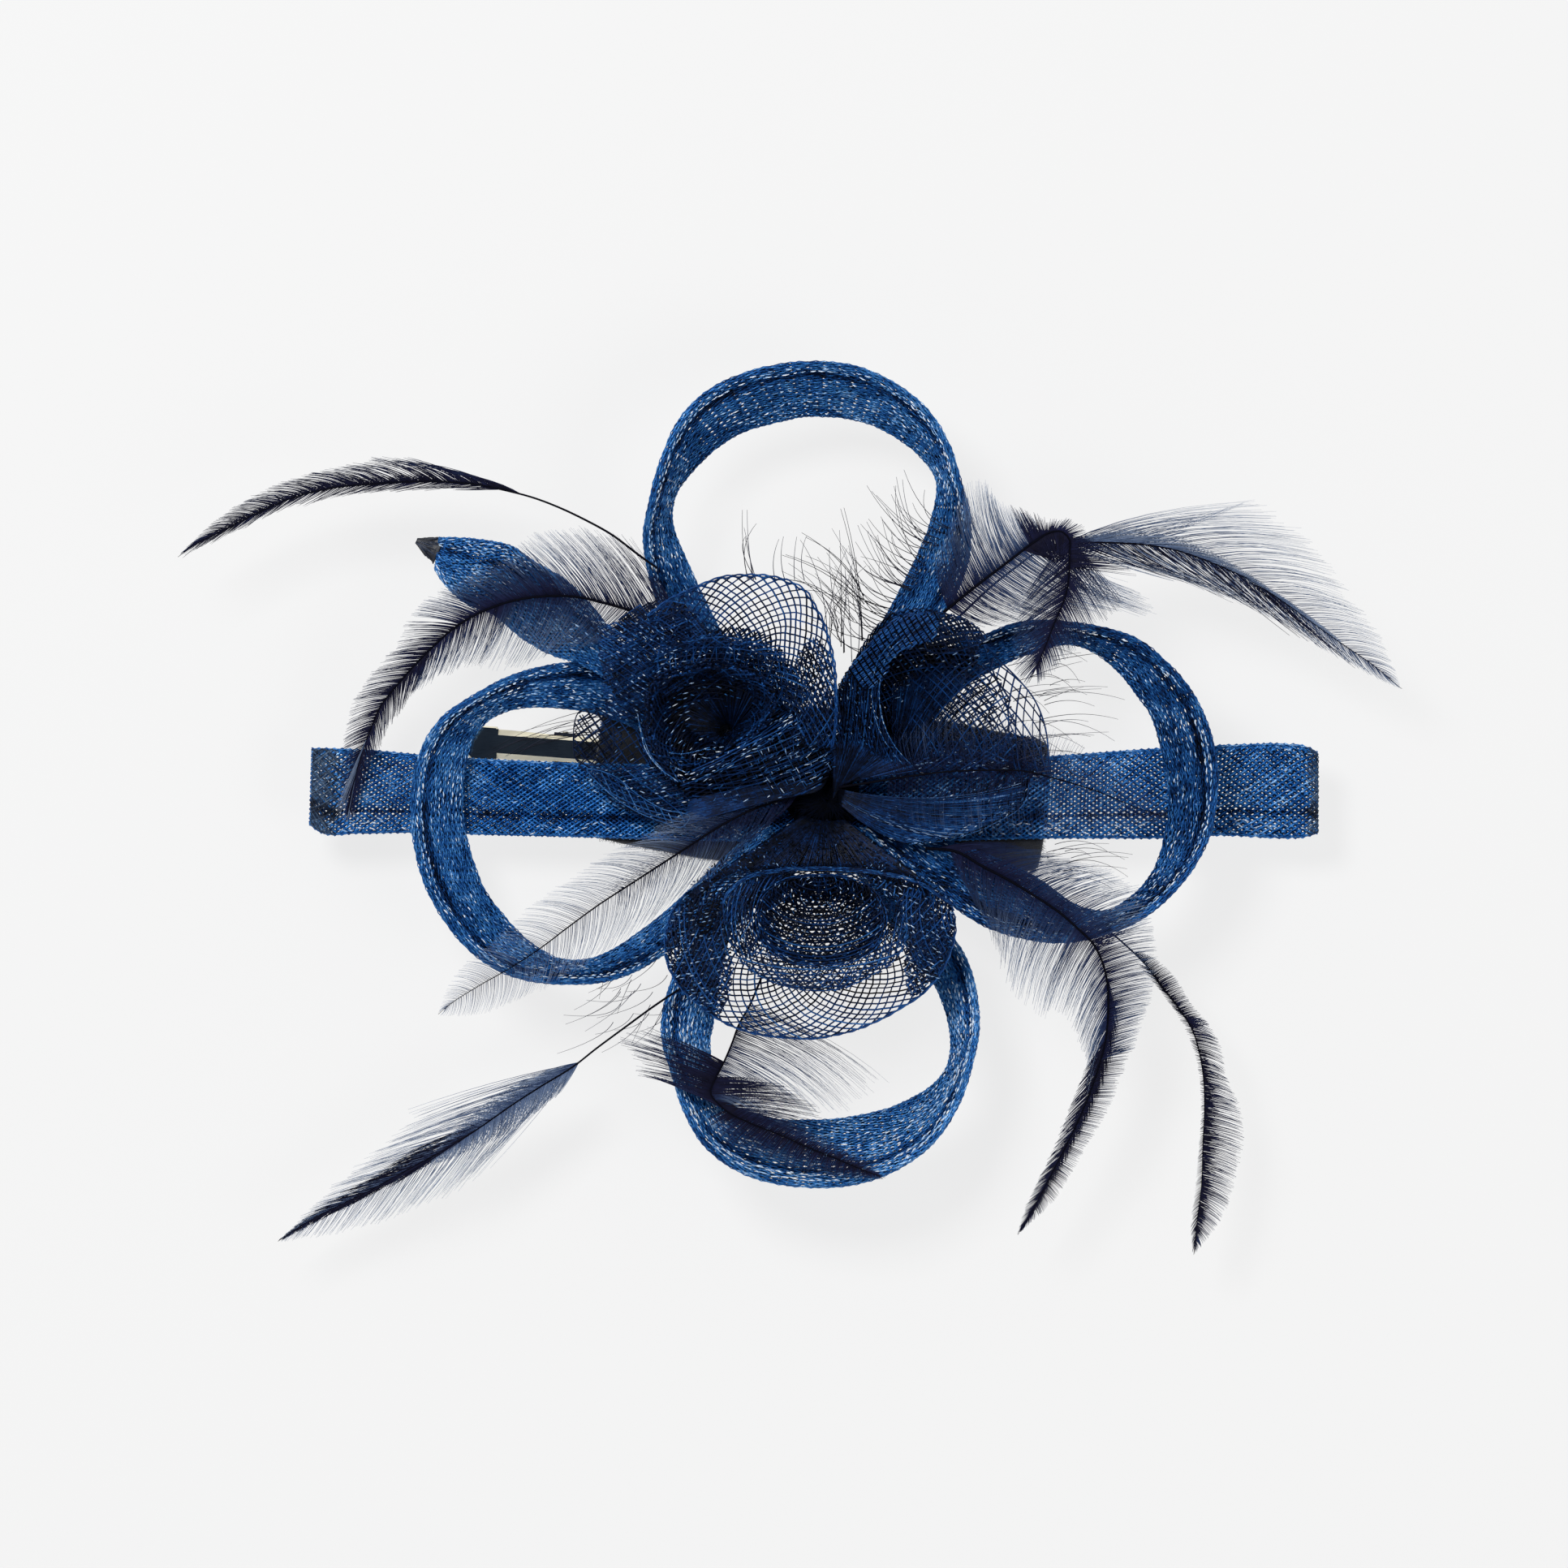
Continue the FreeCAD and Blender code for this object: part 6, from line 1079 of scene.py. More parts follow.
def dashes(B, poly, fam, along=1.1, ln=0.7, w=0.2, tone=(0.5, 1.0), keep=0.5, off=0.35, pts=(), mat=0, seed=1, tilt=0.0, fade=None, smooth=True, loose=0.25, spark=0.2):
    """Short lit lengths of filament in rows, where crin lies several layers deep. fam is (cx, cy, pitch) for
    rows round a centre or ("line", angle, pitch); fade is (cx, cy, r0, r1): none inside r0, all beyond r1."""
    w, ln = w * 1.2, ln * 1.12
    rng = np.random.default_rng(seed)
    O = hermite(poly, 160, True)[:-1] if smooth else np.asarray(poly, float)
    height = heights(list(map(tuple, O[::4])) + list(map(tuple, pts)))
    lo, hi = O[:, :2].min(0), O[:, :2].max(0)
    cen = (lo + hi) / 2
    rad = np.linalg.norm(hi - lo) / 2
    C, D = [], []
    if fam[0] == "line":
        a = math.radians(fam[1])
        d, nrm = np.array([math.cos(a), math.sin(a)]), np.array([-math.sin(a), math.cos(a)])
        for i, r in enumerate(np.arange(-rad, rad, fam[2])):
            t = np.arange(-rad, rad, along) + (i % 2) * along / 2
            C.append(cen + nrm * r + d * t[:, None])
            D.append(np.repeat(d[None], len(t), 0))
    else:
        c = np.array(fam[:2], float)
        far = np.linalg.norm(cen - c) + rad
        for i, r in enumerate(np.arange(fam[2], far, fam[2])):
            t = np.arange(0, 2 * np.pi, along / r) + (i % 2) * along / r / 2
            C.append(c + r * np.stack([np.cos(t), np.sin(t)], 1))
            D.append(np.stack([-np.sin(t), np.cos(t)], 1))
    C, D = np.vstack(C), np.vstack(D)
    C = C + rng.normal(0, loose * 0.5, C.shape)
    ok = inside(O, C[:, 0], C[:, 1]) & (rng.uniform(0, 1, len(C)) < keep)
    g = np.ones(len(C))
    if fade:
        g = np.clip((np.hypot(C[:, 0] - fade[0], C[:, 1] - fade[1]) - fade[2]) / (fade[3] - fade[2]), 0, 1)
        ok &= rng.uniform(0, 1, len(C)) < g
    C, D, g = C[ok], D[ok], g[ok]
    if not len(C):
        return
    m = len(C)
    a = math.radians(tilt) + rng.normal(0, 0.2, m)
    D = np.stack([D[:, 0] * np.cos(a) - D[:, 1] * np.sin(a), D[:, 0] * np.sin(a) + D[:, 1] * np.cos(a)], 1)
    L = ln * rng.uniform(0.5, 1.3, m)
    t = np.array([-0.5, 0.0, 0.5])
    P = C[:, None] + D[:, None] * (L[:, None] * t[None])[..., None]
    z = height(C[:, 0], C[:, 1])[:, None] + off + np.array([-0.12, 0.0, -0.12])[None]
    P = np.concatenate([P, z[..., None]], -1)
    W = w * rng.uniform(0.6, 1.25, m)[:, None] * np.array([0.6, 1.0, 0.6])[None]
    # painted shade: towards the fade centre, deep in a flower, the dashes thin out and dim
    T = (tone[0] + (tone[1] - tone[0]) * rng.uniform(0, 1, m) * (0.4 + 0.6 * g))[:, None] * np.ones((1, 3))
    lit = (rng.uniform(0, 1, m) < spark * g) & (mat == 0) & (tone[1] > 0.3)
    for q, mt in ((~lit, mat), (lit, 2)):
        if q.any():
            B.strands(P[q], W[q] * (0.85 if mt == 2 else 1.0), np.broadcast_to(np.array([0, 0, 1.0]), P[q].shape), np.clip(T[q], 0, 1), mt, flat=0.6)


def lip(B, pts, w=0.24, tone=0.7, off=0.0, mat=0, seed=1, gaps=0.35):
    """A bound edge seen along its length: one filament whose loops catch the light unevenly."""
    C = hermite(pts, max(24, 6 * len(pts) * 3))
    n = len(C)
    C = C + np.array([0, 0, off])
    C[:, 0] += 0.08 * noise1(np.arange(n) * 0.9, seed)
    C[:, 1] += 0.08 * noise1(np.arange(n) * 0.9, seed + 4)
    T = np.clip(tone + gaps * noise1(np.arange(n) * 0.55, seed + 7), 0, 1)
    B.strands(C[None], (w * (1 + 0.35 * noise1(np.arange(n) * 0.8, seed + 2)))[None], np.broadcast_to(np.array([0, 0, 1.0]), C[None].shape), T[None], mat, flat=0.7)


# ------------------------------------------------------------------ materials
def hexlin(h):
    """sRGB hex to linear rgba."""
    c = [int(h[i:i + 2], 16) / 255 for i in (1, 3, 5)]
    return [x / 12.92 if x <= 0.04045 else ((x + 0.055) / 1.055) ** 2.4 for x in c] + [1.0]


class Nodes:
    def __init__(self, name):
        self.m = bpy.data.materials.new(name)
        self.m.use_nodes = True
        self.t = self.m.node_tree
        self.t.nodes.clear()
        self.out = self.t.nodes.new("ShaderNodeOutputMaterial")

    def add(self, kind, **props):
        n = self.t.nodes.new(kind)
        for k, v in props.items():
            setattr(n, k, v)
        return n

    def link(self, a, b):
        self.t.links.new(a, b)

    def math(self, op, a, b=None, clamp=False):
        n = self.add("ShaderNodeMath", operation=op, use_clamp=clamp)
        for i, x in enumerate((a, b)):
            if x is None:
                continue
            if isinstance(x, (int, float)):
                n.inputs[i].default_value = x
            else:
                self.link(x, n.inputs[i])
        return n.outputs[0]

    def noise(self, scale, detail=2.0, rough=0.5, vector=None):
        n = self.add("ShaderNodeTexNoise")
        n.inputs["Scale"].default_value = scale
        n.inputs["Detail"].default_value = detail
        n.inputs["Roughness"].default_value = rough
        if vector is None:
            vector = self.add("ShaderNodeTexCoord").outputs["Object"]
        self.link(vector, n.inputs["Vector"])
        return n.outputs["Fac"]

    def ramp(self, fac, stops):
        n = self.add("ShaderNodeValToRGB")
        r = n.color_ramp
        while len(r.elements) > 1:
            r.elements.remove(r.elements[-1])
        r.elements[0].position = stops[0][0]
        r.elements[0].color = hexlin(stops[0][1])
        for p, c in stops[1:]:
            e = r.elements.new(p)
            e.color = hexlin(c)
        self.link(fac, n.inputs["Fac"])
        return n.outputs["Color"]

    def shader(self, color, rough, metallic=0.0, spec=0.5, sheen=0.0, sheen_rough=0.5, coat=0.0, bump=None, bump_strength=0.2, bump_distance=0.0001, anis=0.0, sss=0.0, rough_link=None):
        p = self.add("ShaderNodeBsdfPrincipled")
        self.link(color, p.inputs["Base Color"])
        p.inputs["Roughness"].default_value = rough
        if rough_link is not None:
            self.link(rough_link, p.inputs["Roughness"])
        p.inputs["Metallic"].default_value = metallic
        p.inputs["Specular IOR Level"].default_value = spec
        p.inputs["Sheen Weight"].default_value = sheen
        p.inputs["Sheen Roughness"].default_value = sheen_rough
        p.inputs["Coat Weight"].default_value = coat
        if anis:
            p.inputs["Anisotropic"].default_value = anis
        if bump is not None:
            b = self.add("ShaderNodeBump")
            b.inputs["Strength"].default_value = bump_strength
            b.inputs["Distance"].default_value = bump_distance
            self.link(bump, b.inputs["Height"])
            self.link(b.outputs["Normal"], p.inputs["Normal"])
        self.link(p.outputs["BSDF"], self.out.inputs["Surface"])
        return self.m


def fibre(name, stops, rough=0.35, spec=0.5, metallic=0.0, coarse=260.0, fine=1900.0, amount=0.45, gain=1.0, coat=0.0, sheen=0.0):
    """Thread or filament: colour from its own tone, broken up by a broad and a fine noise."""
    N = Nodes(name)
    a = N.add("ShaderNodeAttribute", attribute_name="tone", attribute_type="GEOMETRY").outputs["Fac"]
    broad = N.noise(coarse, 2.0)
    small = N.noise(fine, 1.0)
    v = N.math("SUBTRACT", broad, 0.5)
    w = N.math("SUBTRACT", small, 0.5)
    t = N.math("ADD", N.math("MULTIPLY", a, gain), N.math("MULTIPLY", v, amount))
    t = N.math("ADD", t, N.math("MULTIPLY", w, amount * 0.9), clamp=True)
    color = N.ramp(t, stops)
    r = N.math("ADD", N.math("MULTIPLY", small, 0.25), rough - 0.12)
    return N.shader(color, rough, metallic, spec=spec, sheen=sheen, coat=coat, bump=small, bump_strength=0.25, bump_distance=0.00005, rough_link=r)


M_BRAID = fibre("crin_filament_royal_navy", [(0.0, "#010814"), (0.25, "#06224c"), (0.5, "#124a8e"), (0.75, "#3074ba"), (1.0, "#94bfe8")], rough=0.40, spec=0.1, metallic=0.5, amount=0.65)
M_LOOP = fibre("crin_filament_stretched", [(0.0, "#010814"), (0.25, "#08234c"), (0.5, "#174b8a"), (0.75, "#3a76b2"), (1.0, "#a8c8e8")], rough=0.40, spec=0.1, metallic=0.5, amount=0.65)
M_MESH = fibre("crin_mesh_filament", [(0.0, "#01040e"), (0.25, "#061838"), (0.5, "#0e3a74"), (0.75, "#2f68a8"), (1.0, "#a9c6e4")], rough=0.46, spec=0.12, metallic=0.28, amount=0.45)
M_DULL = fibre("crin_filament_dull_grey", [(0.0, "#060d1a"), (0.25, "#1b2c44"), (0.5, "#3f546e"), (0.75, "#5f7690"), (1.0, "#8fa2b6")], rough=0.5, spec=0.2, amount=0.3)
# painted highlight: a near-white filament colour for short strands standing in for glints and for light through the
# braid's holes
M_SPARK = fibre("crin_filament_lit", [(0.0, "#4279b8"), (0.5, "#93bce6"), (1.0, "#f0f6fc")], rough=0.4, spec=0.25, amount=0.5, gain=1.0)
# near-black thread colour, also given to strands and sheets in cup bottoms, gathers and under petals as painted shade
M_THREAD_AND_SHADE = fibre("gathering_thread_and_painted_shade", [(0.0, "#010206"), (0.5, "#050d20"), (1.0, "#12294f")], rough=0.8, spec=0.03, amount=0.25)
M_BARB = fibre("feather_barbs_dyed", [(0.0, "#0b0a1c"), (0.25, "#161a3a"), (0.5, "#263659"), (0.75, "#5a6b89"), (1.0, "#8c9ab2")], rough=0.7, spec=0.1, coarse=140.0, fine=900.0, amount=0.2)
M_QUILL = fibre("feather_quill_dyed", [(0.0, "#030308"), (0.5, "#070813"), (1.0, "#161824")], rough=0.75, spec=0.04, amount=0.25)
M_DOWN = fibre("feather_down_wisps", [(0.0, "#12131a"), (0.5, "#343647"), (1.0, "#6d6f7d")], rough=0.7, spec=0.1, amount=0.4)
M_SEAL = fibre("heat_sealed_braid_end", [(0.0, "#04060c"), (0.5, "#0a1120"), (1.0, "#1d2a40")], rough=0.45, spec=0.5, amount=0.5)
M_WIRE = fibre("spring_wire_bright", [(0.0, "#6f6f70"), (0.5, "#a9a8a5"), (1.0, "#dcdad4")], rough=0.28, spec=0.5, metallic=1.0, amount=0.2)


def felt_material():
    N = Nodes("wool_felt_black_navy")
    n1, n2, n3 = N.noise(420.0, 5.0, 0.7), N.noise(2600.0, 3.0, 0.7), N.noise(70.0, 2.0)
    t = N.math("ADD", N.math("MULTIPLY", n1, 0.5), N.math("ADD", N.math("MULTIPLY", n2, 0.35), N.math("MULTIPLY", n3, 0.15)))
    c = N.ramp(t, [(0.25, "#07090e"), (0.5, "#10141c"), (0.7, "#1a202c"), (0.9, "#2b3444")])
    h = N.math("ADD", n1, n2)
    return N.shader(c, 0.95, spec=0.15, sheen=0.35, sheen_rough=0.6, bump=h, bump_strength=0.8, bump_distance=0.0004)


def steel_material(name, stops, rough=0.10, gold=False, scratch=1.0):
    N = Nodes(name)
    co = N.add("ShaderNodeTexCoord").outputs["Object"]
    mp = N.add("ShaderNodeMapping")
    mp.inputs["Scale"].default_value = (1.0, 14.0, 14.0)
    mp.inputs["Rotation"].default_value = (0, 0, math.radians(4.3))
    N.link(co, mp.inputs["Vector"])
    brush = N.noise(420.0, 4.0, 0.6, mp.outputs["Vector"])
    cloud = N.noise(160.0, 3.0, 0.6, co)
    c = N.ramp(N.math("ADD", N.math("MULTIPLY", brush, 0.5), N.math("MULTIPLY", cloud, 0.5)), stops)
    if gold:
        # tilted flange and rims, picked by the face's tilt, turn pale gold-cream: partly the plating's own colour,
        # partly a painted reflection of the softbox; the flat face stays a mirror
        g = N.add("ShaderNodeNewGeometry").outputs["True Normal"]
        sep = N.add("ShaderNodeSeparateXYZ")
        N.link(g, sep.inputs[0])
        k = N.math("MULTIPLY", N.math("SUBTRACT", 0.965, N.math("ABSOLUTE", sep.outputs[2], 0.0)), 18.0, clamp=True)
        w = N.math("ADD", N.math("MULTIPLY", cloud, 0.35), 0.72)
        mix = N.add("ShaderNodeMixShader")
        face = N.add("ShaderNodeBsdfPrincipled")
        N.link(c, face.inputs["Base Color"])
        face.inputs["Metallic"].default_value = 1.0
        face.inputs["Roughness"].default_value = rough
        edge = N.add("ShaderNodeBsdfPrincipled")
        rim_reflection_tint = N.ramp(w, [(0.0, "#8f7f55"), (0.6, "#d9cda4"), (1.0, "#f6efd6")])
        N.link(rim_reflection_tint, edge.inputs["Base Color"])
        edge.inputs["Metallic"].default_value = 0.15
        edge.inputs["Roughness"].default_value = 0.45
        N.link(k, mix.inputs[0])
        N.link(face.outputs[0], mix.inputs[1])
        N.link(edge.outputs[0], mix.inputs[2])
        N.link(mix.outputs[0], N.out.inputs["Surface"])
        return N.m
    r = N.math("ADD", N.math("MULTIPLY", cloud, 0.18 * scratch), rough - 0.06)
    return N.shader(c, rough, metallic=1.0, bump=brush, bump_strength=0.12 * scratch, bump_distance=0.00003, rough_link=r)


M_FELT = felt_material()
M_STEEL = steel_material("clip_plated_steel", [(0.3, "#a09c92"), (0.5, "#c6c0b0"), (0.7, "#e2dac4")], rough=0.09, scratch=0.5, gold=True)
M_STEEL_DARK = steel_material("clip_steel_channel_shaded", [(0.3, "#0c1418"), (0.5, "#1c2a31"), (0.7, "#3c4b50")], rough=0.22)
M_PIN = steel_material("hinge_pin_steel", [(0.3, "#77756f"), (0.5, "#a4a199"), (0.7, "#cfcabc")], rough=0.22)


# ------------------------------------------------------------------ camera, floor, lights
PLANE = 8.0
FRAME_W = 318.8
LENS = 250.0
cam_data = bpy.data.cameras.new("camera")
cam_data.lens, cam_data.sensor_width = LENS, 36.0
cam_data.clip_start, cam_data.clip_end = 0.05, 20.0
cam = bpy.data.objects.new("camera", cam_data)
cam.location = Vector((-7.59, 1.155, PLANE + FRAME_W * LENS / 36.0)) * MM
SCENE.collection.objects.link(cam)
SCENE.camera = cam
SCENE.view_settings.view_transform = "Standard"
SCENE.view_settings.look = "None"

world = bpy.data.worlds.new("studio")
world.use_nodes = True
bg = world.node_tree.nodes["Background"]
wn = world.node_tree
w_co = wn.nodes.new("ShaderNodeTexCoord")
w_xyz = wn.nodes.new("ShaderNodeSeparateXYZ")
w_ramp = wn.nodes.new("ShaderNodeValToRGB")
wn.links.new(w_co.outputs["Generated"], w_xyz.inputs[0])
wn.links.new(w_xyz.outputs["Z"], w_ramp.inputs["Fac"])
w_ramp.color_ramp.elements[0].position = 0.18
w_ramp.color_ramp.elements[0].color = (0.905, 0.905, 0.905, 1)
w_ramp.color_ramp.elements[1].position = 0.97
w_ramp.color_ramp.elements[1].color = (0.018, 0.03, 0.058, 1)
for at, g in ((0.62, 0.42), (0.86, 0.24)):
    e = w_ramp.color_ramp.elements.new(at)
    e.color = (g, g, g, 1)
wn.links.new(w_ramp.outputs["Color"], bg.inputs[0])
bg.inputs[1].default_value = 1.0
SCENE.world = world


def area_light(name, loc, target, size, watts, color=(1, 1, 1)):
    d = bpy.data.lights.new(name, "AREA")
    d.shape, d.size, d.energy, d.color = "DISK", size, watts, color
    o = bpy.data.objects.new(name, d)
    o.location = Vector(loc)
    o.rotation_euler = (Vector(target) - Vector(loc)).to_track_quat("-Z", "Y").to_euler()
    SCENE.collection.objects.link(o)


area_light("key_softbox", (-0.45, 0.55, 1.15), (0, 0, 0), 0.45, 14.0)
area_light("fill_softbox", (0.75, -0.35, 0.95), (0, 0, 0), 0.6, 4.0)

FLOOR_Z = -9.6
me = bpy.data.meshes.new("floor")
R = 6.0
me.from_pydata([(-R, -R, FLOOR_Z * MM), (R, -R, FLOOR_Z * MM), (R, R, FLOOR_Z * MM), (-R, R, FLOOR_Z * MM)], [], [(0, 1, 2, 3)])
floor = bpy.data.objects.new("floor", me)
SCENE.collection.objects.link(floor)
F = Nodes("floor_pale")
em = F.add("ShaderNodeEmission")
em.inputs[0].default_value = hexlin("#f4f4f4")
em.inputs[1].default_value = 0.85
df = F.add("ShaderNodeBsdfDiffuse")
df.inputs[0].default_value = (0.12, 0.12, 0.12, 1)
ad = F.add("ShaderNodeAddShader")
F.link(em.outputs[0], ad.inputs[0])
F.link(df.outputs[0], ad.inputs[1])
F.link(ad.outputs[0], F.out.inputs["Surface"])
me.materials.append(F.m)


# ------------------------------------------------------------------ helpers for the pieces
def st_of(name):
    return STRIPS[name][2]


def mesh_area(o):
    a = np.zeros(len(o.data.polygons))
    o.data.polygons.foreach_get("area", a)
    return a.sum()


def sub_station(st, f):
    """Stations with the edges changed by f(a, b, i, n) -> (a, b)."""
    out = []
    for i, p in enumerate(st):
        a, b = np.array(p[:3], float), np.array(p[3:], float)
        a, b = f(a, b, i, len(st))
        out.append(tuple(a) + tuple(b))
    return out


def rotz(p, deg, c=(0, 0)):
    r = math.radians(deg)
    x, y = p[0] - c[0], p[1] - c[1]
    return (c[0] + x * math.cos(r) - y * math.sin(r), c[1] + x * math.sin(r) + y * math.cos(r))


# ------------------------------------------------------------------ tubular crin braid
def braid(name, width=17.5, alpha=20.0, mat=M_LOOP, tone=0.5, thread=0.24, seed=1, thick=1.25, pitch=1.05, fil=0.60, extra=None, alpha_end=None, keep=0.3, spark=0.16):
    B, G = Build(), Build()
    strip = tubular(B, st_of(name), thick=thick, pitch=pitch, alpha=alpha, alpha_end=alpha_end, fil=fil, seed=seed, tone=tone, full=width, seam=thread)
    if thread:
        crease_shade_thread(B, strip, thread, 0.02, 0.98, r=0.13, lift=0.16, tone=0.5)
        crease_shade_thread(B, strip, thread, 0.02, 0.98, r=0.13, lift=-0.30, tone=0.3)
    strip_dashes(G, strip, rows=0.62, along=1.05, ln=0.65, w=0.16, tone=(0.6, 1.0), keep=keep * 0.8, angle=alpha, seam=thread, seed=seed + 40)
    strip_dashes(G, strip, rows=0.85, along=1.6, ln=1.05, w=0.27, tone=(0.2, 1.0), keep=spark, angle=alpha * 0.6, seam=thread, seed=seed + 60, lift=0.84, mat=3, patch=1.6)
    r0, r1 = (thread + 0.07, 0.97) if thread > 0.5 else (0.03, thread - 0.05)
    strip_dashes(G, strip, rows=0.6, along=1.55, ln=1.1, w=0.3, tone=(0.4, 1.0), keep=min(0.9, spark * 2.5), angle=alpha * 0.6, seed=seed + 70, lift=0.84, mat=3, v0=r0, v1=r1, patch=1.2)
    # painted shade: near-black short strands stand in for the shaded gaps between cords
    strip_dashes(G, strip, rows=0.75, along=1.3, ln=0.9, w=0.24, tone=(0.0, 0.16), keep=0.42, angle=alpha, seam=thread, seed=seed + 50, lift=0.78)
    if extra:
        extra(G, strip)
    o = B.make(name + "_braid", [mat, M_THREAD_AND_SHADE, M_DULL, M_SPARK], replaces=[name], slot="crin_braid")
    G.make(name + "_lit_strands", [mat, M_THREAD_AND_SHADE, M_DULL, M_SPARK], slot="crin_braid")
    w, L, A = area_length(st_of(name))
    return o, w, L, A


def band_ends(B, strip):
    """The band's two folded ends: the braid turns under there, so finer strands cross over each other."""
    rng = np.random.default_rng(41)
    for side, deep in ((0, 6.4), (1, 2.4)):
        n = 46 if side == 0 else 30
        for fam in (1, -1):
            i = np.arange(n)[:, None]
            s = np.linspace(0, 1, 9)[None]
            v = (i + rng.uniform(0.2, 0.8, (n, 1))) / n + fam * s * (0.30 if side == 0 else 0.12)
            v = np.abs((v + 1) % 2 - 1)
            ss = np.broadcast_to(s * deep * rng.uniform(0.65, 1.15, (n, 1)) + 0.15, v.shape)
            pos = ss if side == 0 else strip.L - ss
            P, N = strip.at(pos, v, 0.82)
            P[..., 2] -= 0.5 * np.clip(s - 0.6, 0, 1)
            # painted shade: the folded-end strands darken where they cross the crease at v 0.73
            T = 0.35 + rng.normal(0, 0.16, (n, 1)) + 0.2 * noise1(ss * 2.0 + i, 6) - 0.35 * np.exp(-(((v - 0.73) * 16.0) / 1.6) ** 2)
            B.strands(P, np.full(v.shape, 0.19), N * np.sign(N[..., 2:3]), np.clip(T, 0, 1), 2)
        v = np.linspace(0.01, 0.99, 130)
        for q in range(4):
            pos = 0.12 + 0.16 * q + 0.22 * np.abs(np.sin(v * 52 + q * 1.3))
            pos = pos if side == 0 else strip.L - pos
            P, N = strip.at(pos, v, 0.7 - 0.35 * q)
            B.strands(P[None], np.full((1, 130), 0.2), N[None], np.clip(0.5 + 0.3 * noise1(v * 40 + q, 3), 0, 1)[None], 2 if q < 2 else 0)
    for v, t, w in ((0.012, 0.72, 0.3), (0.035, 0.62, 0.28), (0.06, 0.5, 0.24), (0.985, 0.6, 0.26)):
        s = np.linspace(0.5, strip.L - 0.5, 560)
        P, N = strip.at(s, np.clip(v + 0.006 * np.sin(s * 5.5 + v * 80), 0.004, 0.996), 0.62)
        B.strands(P[None], np.full((1, 560), w), N[None] * np.sign(N[None][..., 2:3]), np.clip(t + 0.25 * noise1(s * 1.4, 8 + int(v * 90)), 0, 1)[None], 0)


report = {}
o, w, L, A = braid("flat_band", alpha=34.0, mat=M_BRAID, tone=0.58, thread=0.73, seed=11, extra=band_ends, pitch=0.84, fil=0.53, keep=0.34, spark=0.10)
report["flat_band"] = (w, L, A)
def open_rim(B, strip):
    """Where the bottom loop opens out, larger pale dashes over its outer half are painted highlights for the light
    showing through the braid's holes.
    """
    strip_dashes(B, strip, rows=0.8, along=1.9, ln=1.2, w=0.36, tone=(0.55, 1.0), keep=0.42, angle=11.0, seam=0.24, seed=97, lift=0.88, mat=3, v0=0.03, v1=0.62, s0=0.22, s1=0.78, patch=1.8)


for nm, seed, al, th, tn, sp in (("top_loop", 12, 12.0, 0.22, 0.52, 0.34), ("left_loop", 13, 12.5, 0.24, 0.52, 0.42), ("right_loop", 14, 12.5, 0.24, 0.42, 0.28), ("bottom_loop", 15, 14.0, 0.24, 0.6, 0.62)):
    o, w, L, A = braid(nm, alpha=al, tone=tn, thread=th, seed=seed, alpha_end=9.0, pitch=0.70, fil=0.445, keep=0.3, spark=sp, extra=open_rim if nm == "bottom_loop" else None)
    report[nm] = (w, L, A)
o, w, L, A = braid("pointed_tail", alpha=20.0, tone=0.6, thread=0.3, seed=16, pitch=0.8, fil=0.5, spark=0.45)
report["pointed_tail"] = (w, L, A)


# ------------------------------------------------------------------ roses of flat open-mesh crin
def rose(name, layers, pitch=1.28, fil=0.36, seed=1, ref=0.0, area_k=0.8, tone=0.5, extra=None, main=None):
    stt = st_of(name)
    closed = STRIPS[name][1]
    B = Build()
    area = 0.0
    length = 0.0
    depth = 0.0
    for i, d in enumerate(layers):
        st = stt
        if d.get("f"):
            st = sub_station(stt, d["f"])
        strip = Strip(st, closed, bow=d.get("bow", 0.0), wave=d.get("wave", 0.5), seed=seed + i, ref=ref)
        # painted shade: the layers lying lower are given lower tones
        open_mesh(B, strip, pitch=d.get("pitch", pitch), fil=fil, tone=d.get("tone", tone), off=d.get("off", 0.0), phase=d.get("phase", 0.0),
                  skew=d.get("skew", 1.0), v0=d.get("v0", 0.0), v1=d.get("v1", 1.0), seed=seed + i, edges=d.get("edges", (True, False)), edge=d.get("edge", 0.22))
        w, L, A = area_length(st, closed)
        k = d.get("v1", 1.0) - d.get("v0", 0.0)
        area += A * k
        length += L
        depth = max(depth, w * k)
    if main:
        main(B)
    o = B.make(name + "_mesh", [M_MESH, M_THREAD_AND_SHADE, M_SPARK], replaces=[name], slot="crin_mesh")
    trims = []
    if extra:
        G = Build()
        extra(G)
        trims = [G.make(name + "_gathers", [M_MESH, M_THREAD_AND_SHADE, M_SPARK], slot="crin_mesh")]
    surf = mesh_area(o) * 1e6 / 2
    w, L, A = area_length(stt, closed)
    w, L = max(w, 10.5), max(L, 10.5)
    lay = max(1, round(surf / (w * L) / 1.1))
    share = surf / (w * L * lay)
    report[name] = (w, L, lay, share)
    return o


def toward(cx, cy, k, dz=0.0, kb=None):
    """Pull both edges towards (cx, cy) by k and drop them by dz."""
    kb = k if kb is None else kb

    def f(a, b, i, n):
        a = a.copy(); b = b.copy()
        a[0], a[1], a[2] = cx + (a[0] - cx) * k, cy + (a[1] - cy) * k, a[2] + dz
        b[0], b[1] = cx + (b[0] - cx) * kb, cy + (b[1] - cy) * kb
        return a, b
    return f


LC = (-22.28, 14.02)
BC = (-0.33, -27.06)


